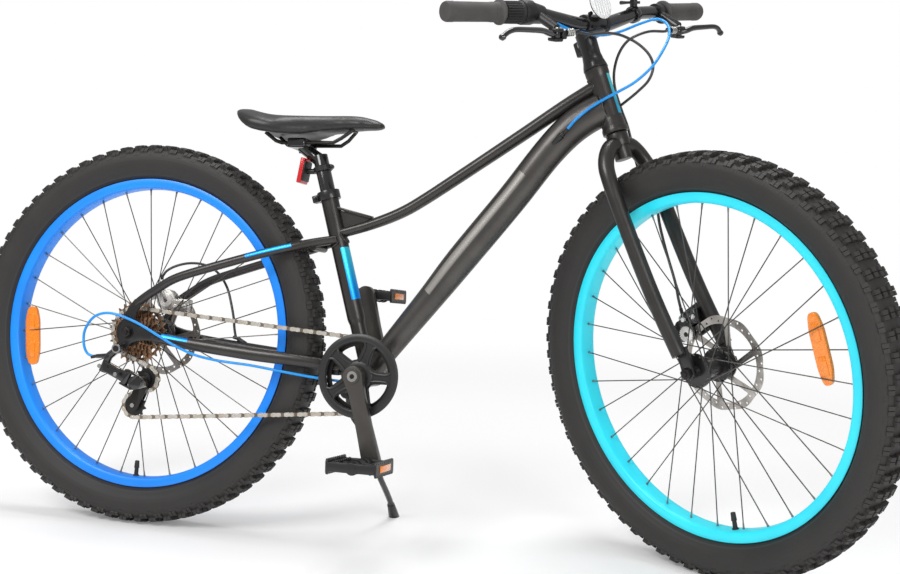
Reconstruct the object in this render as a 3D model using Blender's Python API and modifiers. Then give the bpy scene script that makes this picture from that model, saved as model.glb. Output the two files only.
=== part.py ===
"""A child's mountain bike on its side stand, every piece a separate solid.

The bike is drawn upright, in metres and radians: X forward, Y to the rider's left, Z up, with the origin
on the ground under the rear axle. Steered pieces are drawn in the steering frame, whose Z runs up the
steering axis and whose origin lies on that axis opposite the front axle. One empty then leans the whole
bike onto its stand and lowers both tyres to the ground.
"""

import math

import bmesh
import bpy
from mathutils import Matrix, Vector

# Fits between pieces
GAP = 0.0003
RUNNING_GAP = 0.0005
CABLE_END_GAP = 0.0007
WELD = 0.000001

# Stance
LEAN = math.radians(8.02)
STEER = math.radians(-35.16)

# Wheels
WHEELBASE = 1.0414
TYRE_RADIUS = 0.3515
TYRE_WIDTH = 0.070
TYRE_WALL = 0.0028
RIM_RADIUS = 0.286
RIM_WIDTH = 0.036
RIM_DEPTH = 0.0091
BEAD_DEPTH = 0.0048
RIM_FLANGE = 0.0018
SPOKES = 32
SPOKE_WIDTH = 0.0016
SPOKE_CROSS = math.radians(67.5)
WHEEL_SIDES = SPOKES
AXLE_RADIUS = 0.0048
ROTOR_RADIUS = 0.080
ROTOR_THICKNESS = 0.0018
ROTOR_TRACK = 0.014

# Front hub, its flanges measured along the axle to the left
FRONT_HUB_WIDTH = 0.100
FRONT_FLANGES = (-0.034, 0.020)
FRONT_FLANGE_RADIUS = 0.0215
FRONT_HUB_RADIUS = 0.0125
FRONT_ROTOR_PLACE = 0.0365

# Rear hub
REAR_HUB_WIDTH = 0.136
REAR_FLANGES = (-0.0225, 0.036)
REAR_FLANGE_RADIUS = 0.0255
REAR_HUB_RADIUS = 0.0165
REAR_ROTOR_PLACE = 0.0530

# Frame
CHAIN_STAY_LENGTH = 0.4447
BRACKET_DROP = 0.053
BRACKET_WIDTH = 0.068
BRACKET_RADIUS = 0.0205
BRACKET_WALL = 0.0035
SEAT_ANGLE = math.radians(73.4)
SEAT_TUBE_LENGTH = 0.335
SEAT_TUBE_RADIUS = 0.0159
SEAT_TUBE_WALL = 0.0018
SWAGE_LENGTH = 0.088
SWAGE_RADIUS = 0.0130
TOP_TUBE_BELOW_LIP = 0.0746
GUSSET_REACH = 0.0690
TOP_TUBE_FLATTEN = 1.3
DOWN_TUBE_FLATTEN = 0.86
TUBE_WALL = 0.0022
HEAD_ANGLE = math.radians(70.0)
FORK_RAKE = 0.040
HEAD_TUBE_LENGTH = 0.104
HEAD_TUBE_RADIUS = 0.019
LOWER_CUP_LENGTH = 0.012
LOWER_CUP_RADIUS = 0.021
TOP_TUBE_AT_HEAD = 0.0776
DOWN_TUBE_AT_HEAD = 0.0334
STAY_RADIUS = 0.008
CHAIN_STAY_HALF_HEIGHT = 0.0105
CHAIN_STAY_FLATTEN = 0.78
DROPOUT_THICKNESS = 0.006
BRIDGE_RADIUS = 0.007

# Fork and cockpit
TYRE_TO_CROWN_TOP = 0.0682
STEERER_RADIUS = 0.0143
CROWN_LENGTH = 0.046
CROWN_RADIUS = 0.0185
LEG_TOP_RADIUS = 0.0135
COVER_HEIGHT = 0.0165
STEM_COLUMN_LENGTH = 0.048
STEM_RADIUS = 0.0162
STEM_REACH = 0.0207
BAR_ABOVE_COLUMN = 0.0082
BAR_CLAMP_RADIUS = 0.0127
BAR_RADIUS = 0.0111
BAR_WALL = 0.0016
BAR_WIDTH = 0.614
BAR_RISE = 0.022
BAR_UPSWEEP = 0.007
BAR_BACKSWEEP = 0.0107
BAR_FLAT = 0.035
BAR_BEND = 0.130
GRIP_LENGTH = 0.108
GRIP_RADIUS = 0.0160
GRIP_FLANGE_RADIUS = 0.0205
SHIFT_GRIP_LENGTH = 0.041
SHIFT_GRIP_RADIUS = 0.0180
SHIFTER_LENGTH = 0.046
SHIFTER_RADIUS = 0.0200
LEVER_LENGTH = 0.142
PIVOT_PIN_RADIUS = 0.0022
LEVER_TILT = math.radians(30.0)
BELL_RADIUS = 0.0210
BELL_PLACE = 0.115
BELL_POST_RADIUS = 0.0065

# Drivetrain
CHAIN_PITCH = 0.0127
CHAIN_LINE = 0.0470
RING_TEETH = 32
COG_TEETH = (28, 24, 22, 20, 18, 16, 14)
COG_IN_USE = 2
COG_SPACING = 0.0046
COG_THICKNESS = 0.0018
PULLEY_TEETH = 11
CHAIN_WIDTH = 0.0064
CHAIN_PLATE = 0.0012
CHAIN_HEIGHT = 0.0080
GUARD_RADIUS = 0.0735
GUARD_PLACE = 0.0560
LINK_PIN_TO_KNUCKLE = 0.0202
LINK_EYE_HALF = 0.0112
LINK_PIN_RADIUS = 0.0028
EAR_THICKNESS = 0.0030
GUARD_THICKNESS = 0.0025
CRANK_LENGTH = 0.150
CRANK_WIDTH = 0.028
CRANK_THICKNESS = 0.0135
CRANK_OFFSET = 0.0710
CRANK_ANGLE = math.radians(74.0)
SPINDLE_RADIUS = 0.0085
CRANK_BOSS_RADIUS = 0.0160
PEDAL_LENGTH = 0.090
PEDAL_WIDTH = 0.090
PEDAL_HEIGHT = 0.026
PEDAL_AXLE_RADIUS = 0.0058

# Saddle and seat post
POST_RADIUS = 0.0136
POST_INSERTION = 0.110
POST_SHOWING = 0.0710
REFLECTOR_ABOVE_LIP = 0.0410
CLAMP_ABOVE_POST = 0.0295
CLAMP_SETBACK = 0.0290
RAIL_RADIUS = 0.0035
RAIL_SPREAD = 0.022
COLLAR_LENGTH = 0.0160
COLLAR_RADIUS = 0.0205

# Side stand, its pivot measured from the bottom bracket
STAND_PIVOT = (-0.0535, 0.0440, -0.0365)
STAND_RADIUS = 0.0055
STAND_BOOT_RADIUS = 0.0110
STAND_AXIS = (-0.1, 0.99, -0.1)

# Cables
CABLE_RADIUS = 0.0024

# Joint places worked out from the sizes
REAR_AXLE = Vector((0.0, 0.0, TYRE_RADIUS))
BRACKET = Vector(
    (math.sqrt(CHAIN_STAY_LENGTH**2 - BRACKET_DROP**2), 0.0, TYRE_RADIUS - BRACKET_DROP)
)
SEAT_UP = Vector((-math.cos(SEAT_ANGLE), 0.0, math.sin(SEAT_ANGLE)))
SEAT_BACK = Vector((-math.sin(SEAT_ANGLE), 0.0, -math.cos(SEAT_ANGLE)))
STEER_FORWARD = Vector((math.sin(HEAD_ANGLE), 0.0, math.cos(HEAD_ANGLE)))
STEER_UP = Vector((-math.cos(HEAD_ANGLE), 0.0, math.sin(HEAD_ANGLE)))
LEFT = Vector((0.0, 1.0, 0.0))
STEER_FOOT = Vector((WHEELBASE, 0.0, TYRE_RADIUS)) - FORK_RAKE * STEER_FORWARD
CROWN_TOP = TYRE_RADIUS + TYRE_TO_CROWN_TOP
CUP_START = CROWN_TOP + GAP
HEAD_START = CUP_START + LOWER_CUP_LENGTH
HEAD_END = HEAD_START + HEAD_TUBE_LENGTH
COVER_END = HEAD_END + GAP + COVER_HEIGHT
COLUMN_END = COVER_END + STEM_COLUMN_LENGTH
STEERER_END = COLUMN_END - 0.008
TOP_TUBE_HEIGHT = SEAT_TUBE_LENGTH - TOP_TUBE_BELOW_LIP
STAY_HEIGHT = TOP_TUBE_HEIGHT - 0.0141
POST_TOP = SEAT_TUBE_LENGTH + POST_SHOWING
CLAMP_HEIGHT = POST_TOP + CLAMP_ABOVE_POST
BAR_HEIGHT = COLUMN_END + BAR_ABOVE_COLUMN
RING_RADIUS = CHAIN_PITCH / (2 * math.sin(math.pi / RING_TEETH))
COG_RADIUS = CHAIN_PITCH / (2 * math.sin(math.pi / COG_TEETH[COG_IN_USE]))
PULLEY_RADIUS = CHAIN_PITCH / (2 * math.sin(math.pi / PULLEY_TEETH))
GUIDE_PULLEY = REAR_AXLE + Vector((0.030, -CHAIN_LINE, -0.0835))
TENSION_PULLEY = REAR_AXLE + Vector((0.008, -CHAIN_LINE, -0.1330))
HANGER_BOLT = REAR_AXLE + Vector((-0.011, 0.0, -0.0305))
LINK_START = REAR_AXLE + Vector((-0.036, -0.0845, -0.0630))
KNUCKLE = REAR_AXLE + Vector((0.028, 0.0, -0.0900))

# Colours: linear red, green, blue, then roughness and metallic
FINISHES = {
    "charcoal paint": ((0.060, 0.056, 0.054), 0.32, 0.55),
    "black paint": ((0.020, 0.019, 0.019), 0.40, 0.30),
    "rubber": ((0.022, 0.020, 0.019), 0.80, 0.0),
    "blue rim": ((0.0, 0.24, 1.0), 0.35, 0.2),
    "cyan rim": ((0.04, 0.83, 1.0), 0.35, 0.2),
    "bright steel": ((0.62, 0.62, 0.60), 0.25, 1.0),
    "dark steel": ((0.14, 0.13, 0.12), 0.35, 0.9),
    "bronze steel": ((0.22, 0.11, 0.05), 0.38, 0.9),
    "chain": ((0.55, 0.50, 0.42), 0.35, 0.9),
    "black plastic": ((0.025, 0.024, 0.024), 0.50, 0.0),
    "red lens": ((0.60, 0.02, 0.02), 0.15, 0.0),
    "white lens": ((0.75, 0.75, 0.74), 0.15, 0.0),
    "blue cable": ((0.02, 0.40, 0.85), 0.35, 0.0),
}

bicycle = bpy.data.collections.new("kids_bike")
workshop = bpy.data.collections.new("workshop")


def clear_scene():
    """Empty the scene and hang the two collections in it."""
    for thing in list(bpy.data.objects):
        bpy.data.objects.remove(thing)
    for collection in (bicycle, workshop):
        bpy.context.scene.collection.children.link(collection)


def finish_named(name):
    """The material of this name, made on first use."""
    if name in bpy.data.materials:
        return bpy.data.materials[name]
    colour, roughness, metallic = FINISHES[name]
    material = bpy.data.materials.new(name)
    material.use_nodes = True
    shader = material.node_tree.nodes["Principled BSDF"]
    shader.inputs["Base Color"].default_value = (*colour, 1.0)
    shader.inputs["Roughness"].default_value = roughness
    shader.inputs["Metallic"].default_value = metallic
    return material


def shape_from(bm):
    """A working shape from a bmesh, its faces turned outwards."""
    bmesh.ops.recalc_face_normals(bm, faces=bm.faces[:])
    mesh = bpy.data.meshes.new("shape")
    bm.to_mesh(mesh)
    bm.free()
    thing = bpy.data.objects.new("shape", mesh)
    workshop.objects.link(thing)
    return thing


def made_solid(thing, matrix=None):
    """The evaluated mesh of a curve or of an object with modifiers, its loose seams welded."""
    graph = bpy.context.evaluated_depsgraph_get()
    mesh = bpy.data.meshes.new_from_object(thing.evaluated_get(graph))
    bpy.data.objects.remove(thing)
    bm = bmesh.new()
    bm.from_mesh(mesh)
    bpy.data.meshes.remove(mesh)
    bmesh.ops.remove_doubles(bm, verts=bm.verts[:], dist=WELD)
    if matrix is not None:
        bmesh.ops.transform(bm, matrix=matrix, verts=bm.verts[:])
    return shape_from(bm)


def placed(thing, matrix):
    """The same shape moved by the matrix."""
    thing.data.transform(matrix)
    if matrix.determinant() < 0:
        thing.data.flip_normals()
    return thing


def copied(thing, matrix=None):
    """A second shape like this one, moved by the matrix."""
    twin = bpy.data.objects.new("shape", thing.data.copy())
    workshop.objects.link(twin)
    return twin if matrix is None else placed(twin, matrix)


def mirrored(thing):
    """The same shape on the other side of the bike."""
    return copied(thing, Matrix.Diagonal((1.0, -1.0, 1.0, 1.0)))


def combined(base, others, operation):
    """The base after a Boolean with each other shape in turn; the others are used up."""
    for other in others:
        modifier = base.modifiers.new(operation, "BOOLEAN")
        modifier.operation = operation
        modifier.solver = "EXACT"
        modifier.object = other
    graph = bpy.context.evaluated_depsgraph_get()
    mesh = bpy.data.meshes.new_from_object(base.evaluated_get(graph))
    for used in (base, *others):
        bpy.data.objects.remove(used)
    thing = bpy.data.objects.new("shape", mesh)
    workshop.objects.link(thing)
    return thing


def fused(*shapes):
    """One solid from overlapping shapes."""
    return combined(shapes[0], shapes[1:], "UNION")


def cut(base, *cutters):
    """The base with each cutter taken away."""
    return combined(base, cutters, "DIFFERENCE")


def node(name, thing, finish, parent, pivot=None):
    """Name a finished solid and hang it in the bike, with its origin on the pivot when it has one."""
    if pivot is not None:
        thing.data.transform(Matrix.Translation(-Vector(pivot)))
        thing.location = pivot
    thing.name = name
    thing.data.name = name
    thing.data.materials.clear()
    thing.data.materials.append(finish_named(finish))
    thing.data.shade_smooth()
    thing.data.set_sharp_from_angle(angle=math.radians(35))
    workshop.objects.unlink(thing)
    bicycle.objects.link(thing)
    thing.parent = parent
    return thing


def marker(name, parent=None, matrix=None):
    """An empty that carries pieces."""
    empty = bpy.data.objects.new(name, None)
    empty.empty_display_size = 0.03
    bicycle.objects.link(empty)
    empty.parent = parent
    if matrix is not None:
        empty.matrix_basis = matrix
    return empty


def facing(direction, centre):
    """The matrix that stands local Z along a direction at a centre, and keeps X level where it can."""
    up = Vector(direction).normalized()
    side = up.cross(LEFT) if abs(up.y) < 0.9 else Vector((1.0, 0.0, 0.0))
    side = (side - up * side.dot(up)).normalized()
    turn = Matrix((side, up.cross(side), up)).transposed().to_4x4()
    return Matrix.Translation(centre) @ turn


def rod(start, end, radius, end_radius=None, sides=14):
    """A straight round bar, tapered when it has a second radius."""
    start, end = Vector(start), Vector(end)
    bm = bmesh.new()
    bmesh.ops.create_cone(
        bm,
        cap_ends=True,
        segments=sides,
        radius1=radius,
        radius2=radius if end_radius is None else end_radius,
        depth=(end - start).length,
        matrix=facing(end - start, (start + end) / 2),
    )
    return shape_from(bm)


def block(centre, size, turn=0.0, rounding=0.0):
    """A box turned about Y, its edges chamfered by the rounding."""
    bm = bmesh.new()
    bmesh.ops.create_cube(bm, size=1.0, matrix=Matrix.Diagonal((*size, 1.0)))
    if rounding:
        bmesh.ops.bevel(
            bm, geom=bm.edges[:], offset=rounding, segments=1, profile=0.5, affect="EDGES"
        )
    spin = Matrix.Rotation(turn, 4, "Y")
    bmesh.ops.transform(bm, matrix=Matrix.Translation(centre) @ spin, verts=bm.verts[:])
    return shape_from(bm)


def tube(points, radii, roundness=2, flatten=1.0):
    """A bent round tube through the points; flatten stretches its section along Y."""
    points = [Vector(point) for point in points]
    if not hasattr(radii, "__len__"):
        radii = [radii] * len(points)
    curve = bpy.data.curves.new("tube", "CURVE")
    curve.dimensions = "3D"
    curve.bevel_depth = max(radii)
    curve.bevel_resolution = roundness
    curve.use_fill_caps = True
    spline = curve.splines.new("POLY")
    spline.points.add(len(points) - 1)
    for spot, point, radius in zip(spline.points, points, radii):
        spot.co = (point.x, point.y / flatten, point.z, 1.0)
        spot.radius = radius / max(radii)
    thing = bpy.data.objects.new("tube", curve)
    workshop.objects.link(thing)
    return made_solid(thing, Matrix.Diagonal((1.0, flatten, 1.0, 1.0)))


def smooth_route(points, steps=3):
    """Points on a smooth curve through the route's own points."""
    points = [Vector(point) for point in points]
    ends = [2 * points[0] - points[1], *points, 2 * points[-1] - points[-2]]
    route = []
    for before, here, there, after in zip(ends, ends[1:], ends[2:], ends[3:]):
        for step in range(steps):
            t = step / steps
            route.append(
                0.5
                * (
                    2 * here
                    + (there - before) * t
                    + (2 * before - 5 * here + 4 * there - after) * t**2
                    + (3 * here - 3 * there + after - before) * t**3
                )
            )
    return [*route, points[-1]]


def turned(profile, centre=(0.0, 0.0, 0.0), axis=(0.0, 1.0, 0.0), sides=20):
    """A (radius, along) profile turned full circle; it closes on itself unless both ends meet the axis."""
    mesh = bpy.data.meshes.new("profile")
    edges = [(i, i + 1) for i in range(len(profile) - 1)]
    if profile[0][0] > 0 or profile[-1][0] > 0:
        edges.append((len(profile) - 1, 0))
    mesh.from_pydata([(radius, 0.0, along) for radius, along in profile], edges, [])
    thing = bpy.data.objects.new("profile", mesh)
    workshop.objects.link(thing)
    screw = thing.modifiers.new("turn", "SCREW")
    screw.axis = "Z"
    screw.steps = screw.render_steps = sides
    screw.use_merge_vertices = True
    screw.merge_threshold = WELD
    return made_solid(thing, facing(axis, centre))


def plate(outline, thickness, y=0.0, holes=()):
    """A flat piece drawn in X and Z and centred on y, with holes through it."""
    curve = bpy.data.curves.new("plate", "CURVE")
    curve.dimensions = "2D"
    curve.fill_mode = "BOTH"
    curve.extrude = thickness / 2
    for loop in (outline, *holes):
        spline = curve.splines.new("POLY")
        spline.points.add(len(loop) - 1)
        for spot, (x, z) in zip(spline.points, loop):
            spot.co = (x, z, 0.0, 1.0)
        spline.use_cyclic_u = True
    thing = bpy.data.objects.new("plate", curve)
    workshop.objects.link(thing)
    upright = Matrix.Translation((0.0, y, 0.0)) @ Matrix.Rotation(math.pi / 2, 4, "X")
    return made_solid(thing, upright)


def circle(centre, radius, count, start=0.0, sweep=2 * math.pi):
    """Points round a circle, or along an arc that includes both its ends."""
    whole = abs(sweep) > 6.28
    steps = count if whole else count - 1
    return [
        (
            centre[0] + radius * math.cos(start + sweep * i / steps),
            centre[1] + radius * math.sin(start + sweep * i / steps),
        )
        for i in range(count)
    ]


def bowed(start, end, rows):
    """Points beside the line from start to end: each row is a fraction along it, a rise and a Y."""
    start, end = Vector(start), Vector(end)
    run = (end - start).normalized()
    rise = Vector((-run.z, 0.0, run.x))
    return [
        start.lerp(end, along) + rise * height + LEFT * spread for along, height, spread in rows
    ]


def steering(w, u=0.0, y=0.0):
    """A point of the steering frame, in the bike's own frame, with the bars straight."""
    return STEER_FOOT + STEER_UP * w + STEER_FORWARD * u + LEFT * y


def up_seat_tube(distance, back=0.0, y=0.0):
    """A point this far up the seat tube from the bottom bracket and this far behind its axis."""
    return BRACKET + SEAT_UP * distance + SEAT_BACK * back + LEFT * y


def lofted(sections):
    """A closed skin over rings of points, all with the same number of points."""
    bm = bmesh.new()
    rings = [[bm.verts.new(point) for point in section] for section in sections]
    for ring, following in zip(rings, rings[1:]):
        for i in range(len(ring)):
            j = (i + 1) % len(ring)
            bm.faces.new((ring[i], ring[j], following[j], following[i]))
    bm.faces.new(rings[0])
    bm.faces.new(rings[-1])
    return shape_from(bm)


def tyre():
    """An open tyre, its beads in the rim channel, with a real hollow inside."""
    half = TYRE_WIDTH / 2
    height = TYRE_RADIUS - RIM_RADIUS
    bead = RIM_WIDTH / 2 - RIM_FLANGE - 2 * GAP
    bead_radius = RIM_RADIUS - BEAD_DEPTH
    outer = [
        (bead_radius, bead),
        (RIM_RADIUS + 2 * GAP, bead),
        (RIM_RADIUS + 0.21 * height, 0.83 * half),
        (RIM_RADIUS + 0.52 * height, half),
        (RIM_RADIUS + 0.80 * height, 0.91 * half),
        (RIM_RADIUS + 0.955 * height, 0.57 * half),
    ]
    inner = [
        (TYRE_RADIUS - 2.2 * TYRE_WALL, 0.47 * half),
        (RIM_RADIUS + 0.52 * height, half - TYRE_WALL),
        (bead_radius, bead - 1.4 * TYRE_WALL),
    ]
    profile = [*outer, (TYRE_RADIUS, 0.0)]
    profile += [(radius, -along) for radius, along in reversed(outer)]
    profile += [(radius, -along) for radius, along in reversed(inner)]
    profile += inner
    return turned(profile, sides=WHEEL_SIDES)


def rim():
    """A rim channel with two flanges and a shallow box below them."""
    half = RIM_WIDTH / 2
    floor = RIM_RADIUS - BEAD_DEPTH - GAP
    side = [
        (floor, half - RIM_FLANGE),
        (RIM_RADIUS, half - RIM_FLANGE),
        (RIM_RADIUS, half),
        (RIM_RADIUS - 0.7 * RIM_DEPTH, half - 0.001),
        (RIM_RADIUS - RIM_DEPTH, half / 2),
    ]
    profile = side + [(radius, -along) for radius, along in reversed(side)]
    return turned(profile, sides=WHEEL_SIDES)


def hub(profile, flanges, flange_radius):
    """A turned hub shell with its spokes laced three cross, as one solid."""
    shell = turned(profile, sides=16)
    start_radius = flange_radius - 0.003
    end_radius = RIM_RADIUS - RIM_DEPTH - GAP
    spokes = []
    for i in range(SPOKES):
        lead = 1 if (i // 2) % 2 else -1
        angle = 2 * math.pi * i / SPOKES
        start = angle + lead * SPOKE_CROSS
        place = flanges[i % 2] + lead * 0.002
        spokes.append(
            rod(
                (start_radius * math.cos(start), place, start_radius * math.sin(start)),
                (end_radius * math.cos(angle), lead * 0.0015, end_radius * math.sin(angle)),
                SPOKE_WIDTH / math.sqrt(3),
                sides=3,
            )
        )
    return fused(shell, *spokes)


def front_hub():
    """The front hub: flanges, and a boss on the left that the rotor lies against."""
    bore = AXLE_RADIUS + RUNNING_GAP
    end = FRONT_HUB_WIDTH / 2 - 0.0035
    right, left = FRONT_FLANGES
    boss = FRONT_ROTOR_PLACE - ROTOR_THICKNESS / 2 - GAP
    profile = [
        (bore, -end),
        (0.009, -end),
        (0.009, right - 0.003),
        (FRONT_FLANGE_RADIUS, right - 0.002),
        (FRONT_FLANGE_RADIUS, right + 0.002),
        (FRONT_HUB_RADIUS, right + 0.003),
        (FRONT_HUB_RADIUS, left - 0.003),
        (FRONT_FLANGE_RADIUS, left - 0.002),
        (FRONT_FLANGE_RADIUS, left + 0.002),
        (FRONT_HUB_RADIUS, left + 0.003),
        (0.021, boss - 0.005),
        (0.021, boss),
        (0.0095, boss),
        (0.0095, end),
        (bore, end),
    ]
    return hub(profile, FRONT_FLANGES, FRONT_FLANGE_RADIUS)


def freewheel_seat():
    """Where the freewheel's body starts and ends, along the axle."""
    first = -(CHAIN_LINE - COG_IN_USE * COG_SPACING)
    last = first - (len(COG_TEETH) - 1) * COG_SPACING
    return first + 0.0035, last - 0.0014


def rear_hub():
    """The rear hub: a boss for the freewheel on the right and one for the rotor on the left."""
    bore = AXLE_RADIUS + RUNNING_GAP
    end = REAR_HUB_WIDTH / 2 - 0.0035
    right, left = REAR_FLANGES
    boss = REAR_ROTOR_PLACE - ROTOR_THICKNESS / 2 - GAP
    seat_end = freewheel_seat()[1] + 0.006
    profile = [
        (bore, seat_end),
        (REAR_HUB_RADIUS, seat_end),
        (REAR_HUB_RADIUS, right - 0.003),
        (REAR_FLANGE_RADIUS, right - 0.002),
        (REAR_FLANGE_RADIUS, right + 0.002),
        (REAR_HUB_RADIUS, right + 0.003),
        (REAR_HUB_RADIUS, left - 0.003),
        (REAR_FLANGE_RADIUS, left - 0.002),
        (REAR_FLANGE_RADIUS, left + 0.002),
        (REAR_HUB_RADIUS, left + 0.003),
        (0.021, boss - 0.007),
        (0.021, boss),
        (0.0095, boss),
        (0.0095, end),
        (bore, end),
    ]
    return hub(profile, REAR_FLANGES, REAR_FLANGE_RADIUS)


def rotor(place):
    """A wavy brake disc with six slanted arms."""
    waves = 9
    points = 4 * waves
    outline = []
    for i in range(points):
        angle = 2 * math.pi * i / points
        radius = ROTOR_RADIUS - 0.0012 * (1 - math.cos(waves * angle))
        outline.append((radius * math.cos(angle), radius * math.sin(angle)))
    holes = [circle((0.0, 0.0), 0.0095 + RUNNING_GAP, 12)]
    sixth = math.pi / 3
    for i in range(6):
        start = sixth * i
        outer = circle(
            (0.0, 0.0), ROTOR_RADIUS - ROTOR_TRACK, 4, start + 0.10 * sixth, 0.84 * sixth
        )
        inner = circle((0.0, 0.0), 0.027, 3, start + 0.50 * sixth, -0.64 * sixth)
        holes.append(outer + inner)
    return plate(outline, ROTOR_THICKNESS, place, holes)


def axle(width, plate_thickness, locknuts):
    """A hub axle with its inner locknuts and the hexagon nuts outside the dropouts."""
    outer = width / 2 + plate_thickness + GAP
    pieces = [rod((0, -outer - 0.011, 0), (0, outer + 0.011, 0), AXLE_RADIUS, sides=10)]
    for side, start in zip((-1, 1), locknuts):
        pieces.append(
            rod((0, side * start, 0), (0, side * (width / 2 - GAP), 0), 0.0085, sides=10)
        )
        pieces.append(rod((0, side * outer, 0), (0, side * (outer + 0.0075), 0), 0.0095, sides=6))
    return fused(*pieces)


def toothed(teeth, radius, depth):
    """The outline of a sprocket whose teeth stop short of the chain's pitch line."""
    outline = []
    for i in range(teeth):
        angle = 2 * math.pi * i / teeth
        for turn, reach in ((0.0, -0.0014), (0.5, -0.0014 - depth)):
            spoke = angle + turn * 2 * math.pi / teeth
            outline.append(((radius + reach) * math.cos(spoke), (radius + reach) * math.sin(spoke)))
    return outline


def freewheel():
    """Seven sprockets on one body, threaded on the rear hub."""
    start, end = freewheel_seat()
    bore = REAR_HUB_RADIUS + GAP
    wall = end + 0.006 - GAP
    body = 0.0225
    profile = [(0.0085 + RUNNING_GAP, wall), (bore, wall), (bore, start), (body, start)]
    for i, teeth in enumerate(COG_TEETH):
        reach = CHAIN_PITCH / (2 * math.sin(math.pi / teeth)) - 0.0014
        place = -(CHAIN_LINE + (i - COG_IN_USE) * COG_SPACING)
        near, far = place + COG_THICKNESS / 2, place - COG_THICKNESS / 2
        profile += [(body, near), (reach, near), (reach, far), (body, far)]
    profile += [(body, end), (0.0085 + RUNNING_GAP, end)]
    return turned(profile, sides=18)


def windowed_disc(outline, thickness, place, inner, outer):
    """A sprocket or guard with five windows between its arms and a hole for the crank's boss."""
    holes = [circle((0.0, 0.0), CRANK_BOSS_RADIUS + GAP, 16)]
    fifth = 2 * math.pi / 5
    for i in range(5):
        start = fifth * i
        far = circle((0.0, 0.0), outer, 5, start + 0.16 * fifth, 0.68 * fifth)
        near = circle((0.0, 0.0), inner, 3, start + 0.76 * fifth, -0.52 * fifth)
        holes.append(far + near)
    return plate(outline, thickness, place, holes)


def crank_arm(side):
    """One crank: a boss, a tapered arm, and the pedal's axle fixed in its eye."""
    middle = side * (CRANK_OFFSET + CRANK_THICKNESS / 2)
    reach = -side * CRANK_LENGTH
    root = CRANK_WIDTH / 2 + 0.003
    tip = CRANK_WIDTH / 2 - 0.001
    away = math.pi / 2 if reach > 0 else -math.pi / 2
    outline = circle((0.0, 0.0), root, 8, away, math.pi)
    outline += circle((reach, 0.0), tip, 7, away + math.pi, math.pi)
    arm = plate(outline, CRANK_THICKNESS, middle)
    face = side * (CRANK_OFFSET + CRANK_THICKNESS)
    boss_start = side * (BRACKET_WIDTH / 2 + 0.003)
    boss = rod((0, boss_start, 0), (0, middle, 0), CRANK_BOSS_RADIUS, sides=16)
    pin_start = Vector((reach, middle, 0.0))
    pin_end = Vector((reach, face + side * (PEDAL_LENGTH + 0.001), 0.0))
    return fused(arm, boss, rod(pin_start, pin_end, PEDAL_AXLE_RADIUS, sides=12))


def pedal(side):
    """A cage pedal turning on a blind bore, in its own frame at the axle."""
    inner = side * (CRANK_OFFSET + CRANK_THICKNESS + 0.0075)
    outer = inner + side * PEDAL_LENGTH
    edge = PEDAL_WIDTH / 2
    pieces = [rod((0, inner, 0), (0, outer, 0), 0.0115, sides=12)]
    for along in (inner + side * 0.004, outer - side * 0.004):
        pieces.append(block((0, along, 0), (PEDAL_WIDTH - 0.004, 0.008, PEDAL_HEIGHT * 0.7)))
    for edge_x in (-edge + 0.004, edge - 0.004):
        middle = (inner + outer) / 2
        pieces.append(
            block((edge_x, middle, 0), (0.008, PEDAL_LENGTH - 0.002, PEDAL_HEIGHT), rounding=0.002)
        )
    bore = rod(
        (0, inner - side * 0.01, 0),
        (0, outer - side * 0.004, 0),
        PEDAL_AXLE_RADIUS + RUNNING_GAP,
        sides=12,
    )
    return cut(fused(*pieces), bore)


def chain_circles():
    """The chain's four pitch circles in travel order: centre x and z, radius, and turning sense."""
    return [
        (BRACKET.x, BRACKET.z, RING_RADIUS, 1),
        (REAR_AXLE.x, REAR_AXLE.z, COG_RADIUS, 1),
        (GUIDE_PULLEY.x, GUIDE_PULLEY.z, PULLEY_RADIUS, -1),
        (TENSION_PULLEY.x, TENSION_PULLEY.z, PULLEY_RADIUS, 1),
    ]


def chain():
    """The chain as one closed band: two side plates and the rollers' web between them."""
    circles = chain_circles()
    headings = []
    for (x1, z1, r1, s1), (x2, z2, r2, s2) in zip(circles, circles[1:] + circles[:1]):
        line = math.atan2(z2 - z1, x2 - x1)
        headings.append(line - math.asin((s2 * r2 - s1 * r1) / math.hypot(x2 - x1, z2 - z1)))
    stations = []
    for i, (x, z, radius, sense) in enumerate(circles):
        arriving = headings[i - 1] - sense * math.pi / 2
        wrap = (headings[i] - headings[i - 1]) * sense % (2 * math.pi)
        steps = max(2, math.ceil(wrap / math.radians(18 if radius > 0.03 else 30)))
        for step in range(steps + 1):
            angle = arriving + sense * wrap * step / steps
            swell = 1.0 if step in (0, steps) else 1 / math.cos(wrap / steps / 2)
            stations.append((x, z, radius * swell, sense, angle))
    half, plate_inner = CHAIN_WIDTH / 2, CHAIN_WIDTH / 2 - CHAIN_PLATE
    tall, web = CHAIN_HEIGHT / 2, 0.0006
    quarter = [(tall, half), (tall, plate_inner), (web, plate_inner)]
    section = quarter + [(o, -y) for o, y in reversed(quarter)]
    section += [(-o, -y) for o, y in quarter] + [(-o, y) for o, y in reversed(quarter)]
    bm = bmesh.new()
    rings = []
    for x, z, radius, sense, angle in stations:
        ring = []
        for outward, across in section:
            reach = radius + sense * outward
            spot = (x + reach * math.cos(angle), across - CHAIN_LINE, z + reach * math.sin(angle))
            ring.append(bm.verts.new(spot))
        rings.append(ring)
    for ring, following in zip(rings, rings[1:] + rings[:1]):
        for i in range(len(ring)):
            j = (i + 1) % len(ring)
            bm.faces.new((ring[i], ring[j], following[j], following[i]))
    return shape_from(bm)


def capsule(first, second, radius, count=7):
    """The outline round two points in X and Z."""
    line = math.atan2(second[1] - first[1], second[0] - first[0])
    outline = circle(first, radius, count, line + math.pi / 2, math.pi)
    return outline + circle(second, radius, count, line - math.pi / 2, math.pi)


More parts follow.
